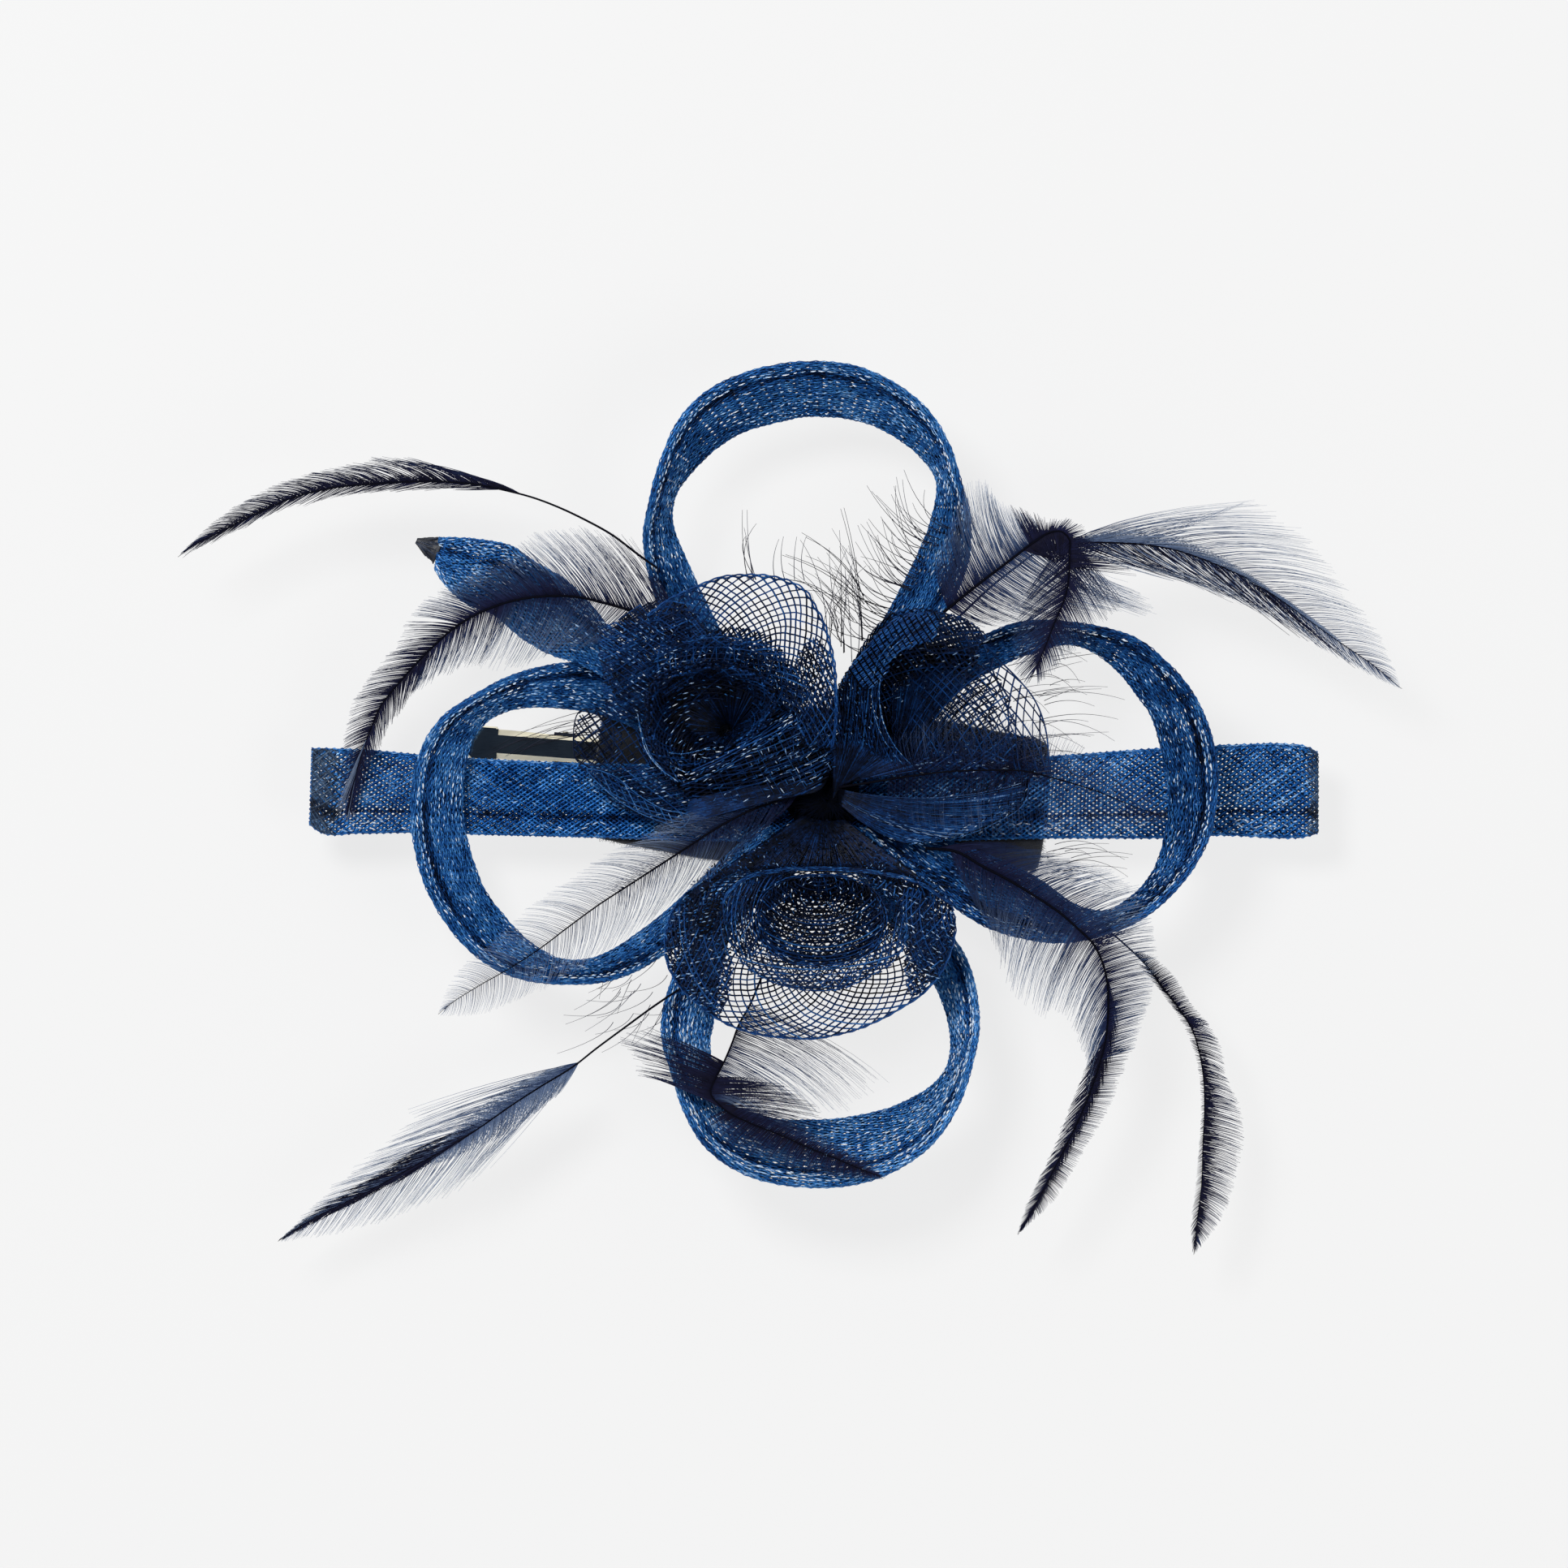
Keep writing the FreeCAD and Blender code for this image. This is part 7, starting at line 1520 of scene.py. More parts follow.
def left_outer(B):
    # the petal's left shoulder runs on under the loop leg and the feathers
    P1 = [(-36.3, 34.82, 23), (-39.93, 30.2, 22), (-42.08, 26.07, 21), (-42.9, 20.3, 20), (-39.11, 15.35, 19), (-34.98, 15.35, 19), (-33.33, 20.3, 22), (-32.51, 26.07, 23), (-30.03, 30.2, 24), (-26.73, 33.5, 24)]
    region(B, P1, [(-61.38, 54.95, 1.35), (-8.58, 68.15, 1.35)], w=0.27, tone=0.3, seed=71)
    region(B, P1, [(-51.48, 61.55, 0.8), (-1.98, 45.05, 0.9)], w=0.30, tone=0.3, seed=72, off=-0.9)
    Ps = [(-44.55, 32.67, 20), (-39.93, 34.32, 21), (-34.98, 35.48, 23), (-28.38, 35.64, 24), (-26.4, 33.16, 24), (-27.39, 28.55, 23), (-32.51, 26.57, 22), (-34.48, 20.3, 20), (-34.98, 14.69, 17.6), (-39.11, 14.03, 17), (-42.9, 15.35, 17), (-44.55, 23.6, 19)]
    region(B, Ps, [("line", -34, 0.62), ("line", 24, 0.7)], w=0.36, tone=0.33, seed=171, off=0.3)
    dashes(B, [(-51.48, 32.67, 17), (-44.88, 34.32, 19), (-36.63, 33.5, 23), (-30.03, 30.2, 24), (-33, 20.3, 22), (-34.98, 14.52, 18), (-42.41, 15.02, 17), (-50.66, 18.64, 17), (-52.8, 26.07, 17)], ("line", -32, 1.15), along=1.25, ln=0.75, w=0.24, tone=(0.6, 1.0), keep=0.5, off=0.9, seed=73, tilt=8)
    Pr = [(-4.62, 28.21, 27), (-1.49, 30.86, 28), (0.99, 28.55, 28), (2.31, 23.6, 27.6), (3.14, 18.98, 27), (3.47, 13.37, 25), (0, 14.69, 24), (-2.97, 20.3, 25.5), (-5.61, 24.59, 26.5)]
    region(B, Pr, [(-21.78, 12.04, 0.95), ("line", -74, 0.9), ("line", 20, 1.2)], w=0.3, tone=0.24, seed=172, off=-0.4)
    dashes(B, Pr, ("line", -78, 0.9), along=1.1, ln=0.65, w=0.2, tone=(0.4, 0.9), keep=0.4, off=0.2, seed=173)
    Pq = [(-41.58, 33.83, 20), (-34.98, 38.12, 22), (-28.38, 38.12, 23), (-22.77, 30.2, 24), (-25.08, 23.6, 23.4), (-32.51, 18.64, 22), (-38.28, 20.3, 20), (-42.24, 26.89, 19)]
    region(B, Pq, [("line", -50, 0.5), ("line", 34, 0.6)], w=0.36, tone=0.27, seed=174, off=-0.5)
    dashes(B, [(-36.3, 34.82, 23), (-30.03, 37.62, 23), (-23.43, 30.2, 24), (-26.73, 26.07, 24), (-32.51, 26.07, 23), (-34.98, 28.55, 23)], ("line", -50, 1.0), along=1.0, ln=0.6, w=0.2, tone=(0.4, 0.8), keep=0.6, off=0.6, seed=74)


rose("left_rose_outer_petal", [dict(bow=1.5, wave=0.4, skew=1.45, pitch=1.42, edge=0.4, tone=(0.4, 0.26)), dict(v0=0.55, v1=1.0, off=-0.8, phase=0.4, pitch=1.3, edges=(False, False), tone=0.15)], fil=0.36, seed=21, extra=left_outer)


def left_middle(B):
    P1 = [(-33.66, 26.57, 24), (-26.73, 29.87, 26), (-18.48, 30.53, 27), (-10.23, 28.05, 27), (-4.46, 22.28, 26), (-1.98, 17, 24), (-1.16, 12.04, 20), (-4.46, 11.22, 18), (-9.41, 15.35, 20), (-11.05, 21.12, 23), (-16, 24.42, 25), (-21.78, 25.25, 26), (-28.38, 23.6, 25), (-33, 20.3, 24)]
    region(B, P1, [(-21.78, -7.76, 1.1), (-41.58, 35.15, 1.2), (12.87, 28.55, 1.2)], w=0.32, tone=0.34, seed=75, off=-0.6)
    dashes(B, P1, (-21.78, 12.04, 1), along=1.15, ln=0.7, w=0.2, tone=(0.5, 0.95), keep=0.42, off=0.4, seed=76, tilt=-12)
    lip(B, [(-33.99, 26.07, 24), (-26.73, 29.87, 26.4), (-18.48, 30.69, 27.4), (-10.23, 28.21, 27.4), (-3.96, 21.95, 26.4), (-1.32, 15.35, 24)], w=0.22, tone=0.45, seed=3)


rose("left_rose_middle_petal", [dict(bow=1.0, skew=1.25, pitch=1.35, tone=(0.4, 0.2), edges=(False, False)), dict(off=-0.9, phase=0.5, skew=0.9, edges=(False, False), tone=(0.35, 0.1))], fil=0.3, seed=24, extra=left_middle)


def left_cup(B):
    rim = [(-34.48, 15.35, 17.5), (-33.66, 19.96, 19.5), (-30.86, 22.61, 21), (-26.73, 24.09, 22), (-21.78, 24.75, 22.5), (-16.5, 24.42, 22.5), (-12.71, 22.28, 21.5), (-10.56, 19.3, 20), (-10.23, 16.66, 19), (-12.21, 13.37, 18.6), (-16, 10.07, 18), (-20.96, 6.77, 17.6), (-25.41, 3.8, 17), (-28.71, 2.48, 16.4), (-32.01, 5.45, 16.4), (-33.66, 9.57, 16.8)]
    cup_shade_floor = [(x, y, 10.5 + 0.12 * i) for i, (x, y, z) in enumerate(rim)]
    # painted shade: a near-black sheet of strands laid at the bottom of the cup
    region(B, cup_shade_floor, [("line", 20, 0.5), ("line", 110, 0.5)], w=0.55, tone=0.0, mat=1, seed=6)
    low = [(-17.66, 12.87, 11.4), (-20.96, 11.22, 11.4), (-16, 15.35, 11.6), (-23.43, 13.7, 12)]
    region(B, rim, [(-22.11, 5.45, 0.95), (-8.58, 2.15, 1)], w=0.34, tone=0.1, seed=77, pts=low, off=-1.2)
    # painted shade: the fan into the cup's heart runs near black
    fan(B, [(-18.48, 11.55, 11.2), (-18.98, 11.05, 11.2), (-19.64, 11.22, 11.2), (-19.96, 11.88, 11.2), (-19.64, 12.54, 11.2), (-18.98, 12.71, 11.2), (-18.48, 12.21, 11.2), (-18.48, 11.55, 11.2)], [(-11.05, 15.35, 18), (-16, 10.07, 17.6), (-24.26, 4.62, 16.6), (-30.36, 4.62, 16), (-33.66, 11.22, 16.6), (-33.66, 18.32, 19), (-26.73, 23.93, 21.6), (-16.5, 24.26, 22), (-10.89, 18.32, 19.6)], n=190, shift=0.05, w=0.34, tone=(0.0, 0.12), seed=5, edge=0, mat=0)
    region(B, [(-34.48, 15.35, 17.6), (-33.66, 19.96, 19.6), (-30.86, 22.61, 21.2), (-26.73, 24.09, 22.2), (-21.78, 24.75, 22.7), (-16.5, 24.42, 22.7), (-12.21, 21.62, 21.5), (-17.66, 21.12, 19), (-23.1, 19.96, 17.5), (-28.05, 16.66, 16), (-30.36, 12.04, 15), (-30.69, 6.27, 15), (-33.33, 9.57, 16.5)], [(-22.11, 5.45, 1), (-51.48, -4.46, 1.1)], w=0.3, tone=0.3, seed=78, off=-0.3)
    dashes(B, rim, (-22.11, 5.78, 1.25), along=1.35, ln=0.8, w=0.19, tone=(0.5, 1.0), keep=0.9, off=1.0, pts=low, seed=79, tilt=-10, fade=(-17.16, 11.55, 3.96, 15.68))
    dashes(B, [(-31.02, 7.43, 16.5), (-26.73, 7.1, 16.5), (-22.11, 8.58, 17), (-18.48, 9.74, 17.5), (-20.96, 6.44, 17.4), (-25.41, 3.8, 17), (-28.71, 2.81, 16.4)], ("line", 8, 0.9), along=1.2, ln=1.0, w=0.22, tone=(0.6, 1.0), keep=0.6, off=0.5, seed=80)
    lip(B, [(-31.35, 7.59, 17), (-28.38, 7.26, 17), (-25.41, 7.76, 17.2), (-22.61, 8.58, 17.6)], w=0.22, tone=0.75, seed=5)
    lip(B, [(-33.99, 12.38, 18), (-33.33, 9.57, 17.4), (-32.01, 7.1, 17), (-29.7, 4.62, 17), (-27.39, 3.47, 17)], w=0.24, tone=0.85, seed=6)
    lip(B, [(-37.29, 15.68, 18.5), (-36.63, 12.04, 18), (-35.48, 7.92, 17.6), (-33, 4.62, 17.4), (-29.04, 1.65, 17)], w=0.24, tone=0.85, seed=7)
    lip(B, [(-36.8, 13.7, 18.4), (-35.97, 10.4, 18), (-34.48, 6.77, 17.6), (-31.68, 3.63, 17.4)], w=0.18, tone=0.7, seed=8)
    lip(B, [(-33.66, 18.64, 20), (-31.68, 21.62, 21.4), (-26.73, 23.93, 22.6), (-21.45, 24.75, 23), (-16, 24.26, 22.9), (-11.88, 21.62, 21.8), (-10.07, 17.66, 20), (-11.22, 14.52, 19)], w=0.2, tone=0.42, seed=9)
    P2 = [(-37.29, 15.68, 17.5), (-34.48, 15.35, 17.6), (-33.66, 11.22, 17), (-32.01, 7.1, 16.6), (-28.71, 3.8, 16.4), (-27.55, 2.15, 16), (-29.7, 1.32, 15), (-33, 4.12, 16), (-35.48, 7.43, 16.6), (-36.8, 12.04, 17)]
    region(B, P2, [("line", -62, 0.7), ("line", -20, 0.8)], w=0.34, tone=0.3, seed=81)
    dashes(B, P2, ("line", -58, 0.7), along=1.1, ln=0.7, w=0.2, tone=(0.5, 0.9), keep=0.5, off=0.5, seed=82)


rose("left_rose_inner_cup", [dict(bow=-1.0, skew=1.1, pitch=1.2, tone=(0.3, 0.02), edges=(False, False)), dict(off=-0.8, phase=0.5, skew=0.85, edges=(False, False), pitch=1.15, tone=(0.25, 0.0)),
                             dict(off=-1.5, phase=0.2, skew=1.5, edges=(False, False), pitch=1.1, tone=(0.15, 0.0))], fil=0.34, seed=27, extra=left_cup)


def left_front(B):
    P1 = [(-10.56, 16.66, 20), (-14.36, 11.71, 18.5), (-20.96, 6.6, 17.5), (-27.55, 2.97, 16.8), (-29.21, 0.83, 15), (-25.08, -1.98, 13.2), (-17.66, -2.81, 12.6), (-8.58, -1.98, 12.4), (-0.33, 0.83, 12.6), (3.3, 5.45, 14), (3.47, 12.04, 18), (0.49, 14.52, 20), (-4.46, 15.35, 20)]
    # painted shade: a near-black layer laid under the front petal
    region(B, P1, [("line", 22, 0.55), ("line", -60, 0.6)], w=0.45, tone=0.0, mat=1, seed=83, off=-0.9)
    region(B, P1, [("line", 27, 0.8), (-21.78, 45.05, 0.85)], w=0.36, tone=0.16, seed=84, off=-0.4)
    region(B, [(-6.11, 14.52, 20), (-11.05, 9.57, 18.6), (-17.66, 5.45, 17.8), (-23.43, 1.82, 16), (-21.78, -1.49, 13.4), (-14.36, -2.15, 12.8), (-6.11, -0.83, 12.6), (0.49, 2.15, 13), (3.14, 7.1, 15), (2.97, 12.04, 18)], [(-33.99, 68.48, 1.5), (64.02, 43.4, 1.5)], w=0.12, tone=0.42, seed=85, off=0.5, spread=0.2)
    P2 = [(-10.56, 17, 20.6), (-14.36, 11.71, 19), (-20.96, 6.6, 18), (-27.55, 2.97, 17.2), (-28.71, 1.16, 16), (-23.43, 1.82, 16.4), (-16.83, 5.45, 17), (-10.23, 10.07, 18.5), (-4.46, 14.52, 20), (-6.93, 15.68, 20)]
    region(B, P2, [(-51.48, 68.15, 0.75), (-41.58, 74.75, 0.8)], w=0.3, tone=0.36, seed=86, off=0.6)
    Pg = [(-4.46, 14.03, 20), (-8.58, 11.22, 19), (-13.53, 7.92, 18), (-14.36, 2.97, 16), (-11.05, -0.33, 14), (-4.46, 0.17, 13), (0.49, 2.97, 13.4), (2.64, 7.92, 15.5), (2.31, 12.04, 18)]
    dashes(B, Pg, (-33.99, 68.48, 1.5), along=1.5, ln=1.1, w=0.15, tone=(0.55, 0.95), keep=0.6, off=0.75, seed=187, spark=0.1)
    dashes(B, Pg, (64.02, 43.4, 1.5), along=1.5, ln=1.1, w=0.15, tone=(0.55, 0.95), keep=0.6, off=0.75, seed=188, spark=0.1)
    dashes(B, P1, ("line", 24, 1.0), along=1.3, ln=0.95, w=0.2, tone=(0.45, 0.85), keep=0.3, off=0.9, seed=87)
    dashes(B, P2, ("line", 30, 0.8), along=1.2, ln=0.9, w=0.22, tone=(0.6, 1.0), keep=0.55, off=1.1, seed=88)
    region(B, [(-4.46, 22.28, 25), (0, 20.3, 23), (2.97, 17, 21), (3.63, 11.22, 18.5), (1.65, 12.04, 18), (-1.98, 14.03, 19), (-5.28, 16.66, 21), (-6.11, 20.3, 24)], [(-18.48, -4.46, 0.95), ("line", -70, 0.95)], w=0.3, tone=0.3, seed=89)
    dashes(B, [(-4.46, 22.28, 25), (0, 20.3, 23), (2.97, 17, 21), (3.63, 11.22, 18.5), (1.65, 12.04, 18), (-1.98, 14.03, 19), (-5.28, 16.66, 21), (-6.11, 20.3, 24)], ("line", -70, 0.9), along=1.0, ln=0.6, w=0.2, tone=(0.5, 1.0), keep=0.5, off=0.5, seed=90)


rose("left_rose_front_petal", [dict(bow=0.6, edges=(False, False), tone=0.12, pitch=1.1), dict(off=-0.8, phase=0.5, edges=(False, False), tone=0.04, pitch=1.05)], fil=0.34, seed=30, extra=left_front)


def left_flap_main(B):
    P2 = [(-47.52, 4.12, 11.5), (-41.58, 4.29, 12), (-33.33, 4.62, 13), (-28.38, 1.32, 12.6), (-25.08, -2.81, 11.5), (-28.05, -6.93, 10.5), (-32.51, -6.44, 10.2), (-38.61, -3.8, 10.6), (-44.05, 0.17, 11)]
    region(B, P2, [("line", 12, 0.8), ("line", -38, 0.85)], w=0.4, tone=0.3, seed=94, off=-0.2)
    region(B, [(-48.84, 16, 14), (-44.05, 15.68, 14), (-43.56, 5.45, 12.5), (-49.5, 5.78, 12), (-50.33, 10.4, 13)], [("line", 34, 1.75), ("line", -58, 1.75)], w=0.27, tone=0.12, seed=91, off=0.4, rim=0.24)


def left_flap(B):
    Pd = [(-44.22, 15.35, 14), (-34.98, 14.69, 14), (-33.99, 7.1, 13), (-34.98, 4.12, 12), (-44.22, 5.28, 12)]
    region(B, Pd, [("line", 34, 1.7), ("line", -56, 1.7)], w=0.2, tone=0.42, seed=92, off=0.3)
    dashes(B, Pd, ("line", 34, 1.7), along=1.7, ln=0.8, w=0.22, tone=(0.5, 0.95), keep=0.4, off=0.5, seed=93)
    P2 = [(-47.52, 4.12, 11.5), (-41.58, 4.29, 12), (-33.33, 4.62, 13), (-28.38, 1.32, 12.6), (-25.08, -2.81, 11.5), (-28.05, -6.93, 10.5), (-32.51, -6.44, 10.2), (-38.61, -3.8, 10.6), (-44.05, 0.17, 11)]
    dashes(B, P2, ("line", 10, 0.9), along=1.2, ln=0.75, w=0.22, tone=(0.45, 0.95), keep=0.5, off=0.4, seed=95)
    region(B, [(-47.52, 4.12, 12), (-44.05, 0.17, 11.8), (-38.61, -3.8, 11.4), (-32.51, -6.44, 11), (-28.05, -7.43, 11), (-26.73, -5.78, 11.4), (-32.51, -3.8, 11.8), (-37.45, -0.83, 12), (-42.41, 2.97, 12.4)], [("line", -64, 1.1), (-21.78, 35.15, 0.9)], w=0.2, tone=0.58, seed=96, off=0.5, rim=0.22)
    fan(B, [(1.32, 2.48, 11.5), (0.49, 0.83, 11.5), (-1.16, -0.49, 11.5)], [(-26.73, -1.98, 12.6), (-27.39, -4.46, 12), (-28.05, -7.43, 11.2)], n=70, shift=0.08, curve=-0.04, lift=0.6, w=0.32, tone=(0.0, 0.3), seed=97, edge=0, k=18)


rose("left_rose_flap", [dict(bow=0.6, edges=(False, False), tone=0.25, v0=0.05, v1=1.0)], fil=0.28, seed=33, extra=left_flap, main=left_flap_main)


def right_outer(B):
    P1 = [(2.64, 2.97, 12), (2.31, 11.22, 17), (2.97, 19.3, 22), (5.45, 23.93, 24), (8.75, 28.55, 25.5), (12.04, 32.34, 26.5), (15.18, 34.65, 27), (15.02, 30.2, 26.5), (12.87, 26.4, 25), (11.71, 21.45, 23), (11.88, 16.34, 20), (13.37, 11.38, 17), (15.51, 7.92, 15), (18.48, 5.12, 13), (12.87, 2.48, 12.4)]
    region(B, P1, [("line", 84, 0.62), (37.62, 18.64, 0.7)], w=0.32, tone=0.3, seed=101, off=0.5)
    region(B, P1, [("line", 96, 0.7), ("line", 40, 0.8)], w=0.36, tone=0.22, seed=102, off=-0.5)
    dashes(B, P1, (37.62, 18.64, 0.7), along=0.9, ln=0.6, w=0.2, tone=(0.35, 0.8), keep=0.5, off=0.95, seed=103, tilt=20, fade=(3.8, 1.32, 3.3, 18.15))
    dashes(B, P1, (37.62, 18.64, 0.7), along=0.8, ln=0.5, w=0.26, tone=(0.0, 0.1), keep=0.5, off=0.9, seed=104, tilt=-25)
    P2 = [(5.45, 23.93, 24.6), (8.75, 28.55, 26), (12.04, 32.34, 27), (15.18, 34.65, 27.5), (19.3, 35.8, 27.5), (23.1, 35.48, 27.5), (22.77, 30.2, 27), (17.82, 28.55, 26.5), (14.52, 26.57, 26), (12.87, 22.77, 24.5), (8.75, 20.3, 24)]
    region(B, P2, [("line", 30, 0.5), ("line", 44, 0.55)], w=0.3, tone=0.52, seed=105, off=0.4)
    region(B, P2, [(50, 51.65, 1.2)], w=0.3, tone=0.02, mat=1, seed=106, off=1.0, spread=0.02)
    lip(B, [(18.48, 4.79, 13.5), (15.51, 7.92, 15.6), (13.37, 11.38, 17.6), (11.88, 16.34, 20.6), (11.71, 21.45, 23.6), (12.87, 26.4, 25.6), (14.19, 28.55, 26.4), (16.5, 30.53, 26.8)], off=0.9, w=0.24, tone=0.7, seed=11)
    lip(B, [(16.5, 5.12, 13.5), (13.53, 8.75, 15.6), (11.71, 12.04, 17.6), (10.4, 16.66, 20.6), (10.23, 21.12, 23.6), (11.38, 26.07, 25.6), (13.04, 28.55, 26.4), (15.51, 31.02, 26.8)], off=0.9, w=0.2, tone=0.6, seed=12)
    region(B, [(22.44, 35.48, 27), (27.72, 34.65, 27), (31.85, 32.18, 26), (33.33, 30.86, 25), (29.37, 28.55, 25), (25.25, 27.55, 25.5), (21.45, 28.05, 26)], [("line", 12, 1.6), ("line", -62, 1.5)], w=0.27, tone=0.15, seed=107, off=0.8, rim=0.24)
    fan(B, [(2.31, -1.98, 10.5), (3.3, -0.33, 10.8), (4.95, 1.82, 11)], [(2.48, 12.04, 17), (7.92, 11.22, 17), (14.52, 7.92, 15), (19.47, 3.8, 13)], n=90, shift=0.1, lift=0.8, w=0.34, tone=(0.0, 0.28), seed=108, edge=0)


rose("right_rose_outer_petal", [dict(bow=0.8, edges=(False, False), tone=(0.3, 0.15), pitch=1.2), dict(off=-0.7, phase=0.5, skew=0.85, edges=(False, False), tone=0.15, pitch=1.15)], fil=0.34, seed=36, extra=right_outer)


def right_main(B):
    P1 = [(13.2, 22.77, 13), (14.52, 26.57, 15), (18.64, 28.55, 17), (25.25, 27.23, 17), (31.02, 26.57, 16), (36.3, 22.77, 15), (38.61, 17.66, 14.6), (39.6, 12.21, 14), (39.27, 7.92, 13.4), (33.5, 6.27, 11.5), (24.42, 6.27, 11), (18.64, 6.27, 11), (15.35, 9.57, 12), (13.2, 15.35, 12.5)]
    region(B, P1, [(-1.98, -6.11, 1.2), (52.47, -6.11, 1.3)], w=0.31, tone=0.34, seed=111)
    region(B, P1, [("line", 66, 2.4), ("line", -34, 2.6)], w=0.25, tone=0.26, seed=112, off=-1.2)


def right_inner(B):
    # back wall of the flower: painted shade of near-black strands at the left, opening to clear mesh at the right
    P2 = [(10.89, 21.12, 14), (12.21, 25.58, 17), (14.52, 28.55, 20), (19.47, 30.2, 21), (25.25, 28.88, 20), (31.85, 26.57, 17), (29.04, 23.27, 14.5), (25.25, 20.96, 13), (23.1, 17, 12), (21.45, 10.4, 10.8), (17.49, 7.92, 10.6), (14.19, 11.22, 12), (11.88, 15.35, 13)]
    region(B, P2, [("line", 50, 0.5), ("line", 130, 0.55)], w=0.5, tone=0.0, mat=1, seed=113, off=-2.0)
    region(B, P2, [(24.42, -4.46, 0.85), (-0.33, 12.04, 0.9)], w=0.34, tone=0.17, seed=114, off=-0.8)
    dashes(B, P2, ("line", 28, 1.05), along=1.3, ln=0.75, w=0.2, tone=(0.35, 0.95), keep=0.55, off=0.2, seed=115, fade=(14.19, 11.22, 3.3, 14.85))
    fan(B, [(14.19, 7.92, 10.5), (16.17, 6.27, 10.4), (18.64, 5.45, 10.4)], [(14.52, 23.6, 14.5), (21.12, 25.25, 15), (27.72, 23.6, 14), (31.85, 19.47, 12.6)], n=44, shift=0.08, lift=0.3, w=0.13, tone=(0.1, 0.45), seed=116, edge=0)
    P3 = [(16.17, 10.07, 10.4), (27.72, 10.07, 10.6), (38.94, 9.74, 12), (39.27, 7.1, 12.5), (35.15, 2.97, 11.5), (24.42, 2.97, 10.4), (18.64, 4.62, 10.4)]
    region(B, P3, [("line", 35, 0.85), ("line", -25, 0.8)], w=0.34, tone=0.3, seed=117)
    dashes(B, P3, ("line", 14, 0.8), along=1.0, ln=0.6, w=0.2, tone=(0.3, 0.75), keep=0.5, off=0.3, seed=118)
    P5 = [(17.82, 11.71, 10.4), (22.77, 17.32, 12), (28.55, 21.62, 13.6), (33.5, 23.93, 14.6), (35.31, 20.3, 14.4), (35.64, 15.35, 14), (35.31, 10.4, 13), (26.07, 9.08, 10.8)]
    region(B, P5, [(-0.33, -20.96, 1.1), (47.52, -17.66, 1.2)], w=0.3, tone=0.26, seed=216, off=-0.6)
    P4 = [(11.22, 15.35, 7.2), (19.47, 13.37, 7.2), (31.02, 11.55, 7.2), (45.21, 9.08, 7.2), (46.04, 4.62, 7.2), (31.02, 3.8, 7.2), (16.17, 5.45, 7.2)]
    region(B, P4, [("line", 40, 0.6), ("line", -30, 0.62)], w=0.36, tone=0.2, seed=119)
    dashes(B, P4, ("line", 20, 0.85), along=1.0, ln=0.65, w=0.22, tone=(0.25, 0.7), keep=0.6, off=0.3, seed=120, spark=0.05)


rose("right_rose_inner_petal", [], fil=0.27, seed=39, extra=right_inner, main=right_main)


def right_right_main(B):
    P1 = [(33.16, 29.37, 14), (36.3, 26.07, 13), (40.09, 22.28, 12), (43.23, 18.32, 11.4), (45.38, 12.87, 11), (46.04, 7.92, 11.5), (45.54, 2.48, 11.5), (41.25, 1.82, 11), (38.45, 8.75, 12), (37.62, 17, 12), (35.31, 22.77, 13)]
    region(B, P1, [(16.17, -4.46, 1.7), (77.22, 12.04, 1.7)], w=0.32, tone=0.34, seed=119, rim=0.34)
    P4 = [(19.47, -1.98, 11.5), (24.42, 0.17, 12), (31.85, 1.16, 12.4), (38.94, 2.97, 12.6), (42.24, 1.82, 12.4), (41.25, -2.48, 12), (35.15, -6.77, 11.6), (26.07, -10.07, 11.2), (17.82, -11.05, 10.8), (12.87, -8.58, 10.8), (14.52, -4.46, 11)]
    region(B, P4, [(11.22, 18.64, 0.75), (29.37, 12.04, 0.85)], w=0.36, tone=0.3, seed=120, off=-0.6)


def right_right(B):
    # lower lobe: gathers sweep round from the knot
    ends = [(42.24, 1.82, 12.5), (41.25, -2.48, 12.2), (35.15, -6.77, 11.8), (26.07, -10.07, 11.4), (17.82, -11.05, 11)]
    knot = [(3.63, 0.17, 11.8), (3.47, -1.16, 11.6), (3.63, -2.81, 11.3)]
    # painted shade: a near-black under-layer beneath the gathers from the knot
    fan(B, knot, ends, n=120, shift=0.12, curve=-0.13, lift=1.0, w=0.36, tone=(0.0, 0.12), seed=122, edge=0, k=20, mat=1)
    fan(B, knot, ends, n=96, shift=0.06, curve=-0.13, lift=1.7, w=0.17, tone=(0.08, 0.56), seed=121, edge=0.24, k=20, vary=0.2, shrink=0.5)
    P5 = [(19.47, -1.98, 12.5), (24.42, 0.49, 13), (31.85, 1.82, 13), (39.27, 3.47, 13), (42.57, 1.82, 12.6), (41.25, -2.48, 12.4), (35.15, -6.77, 12), (26.07, -10.07, 11.8), (17.82, -11.05, 11.4), (11.22, -7.76, 12), (12.87, -4.46, 12.4)]
    dashes(B, P5, (17.82, 15.35, 0.75), along=0.9, ln=0.6, w=0.2, tone=(0.45, 0.85), keep=0.45, off=0.9, seed=123)
    dashes(B, P5, (17.82, 15.35, 0.75), along=0.9, ln=0.6, w=0.24, tone=(0.0, 0.08), keep=0.4, off=0.85, seed=124, tilt=20)


rose("right_rose_right_petal", [], fil=0.28, seed=42, extra=right_right, main=right_right_main)


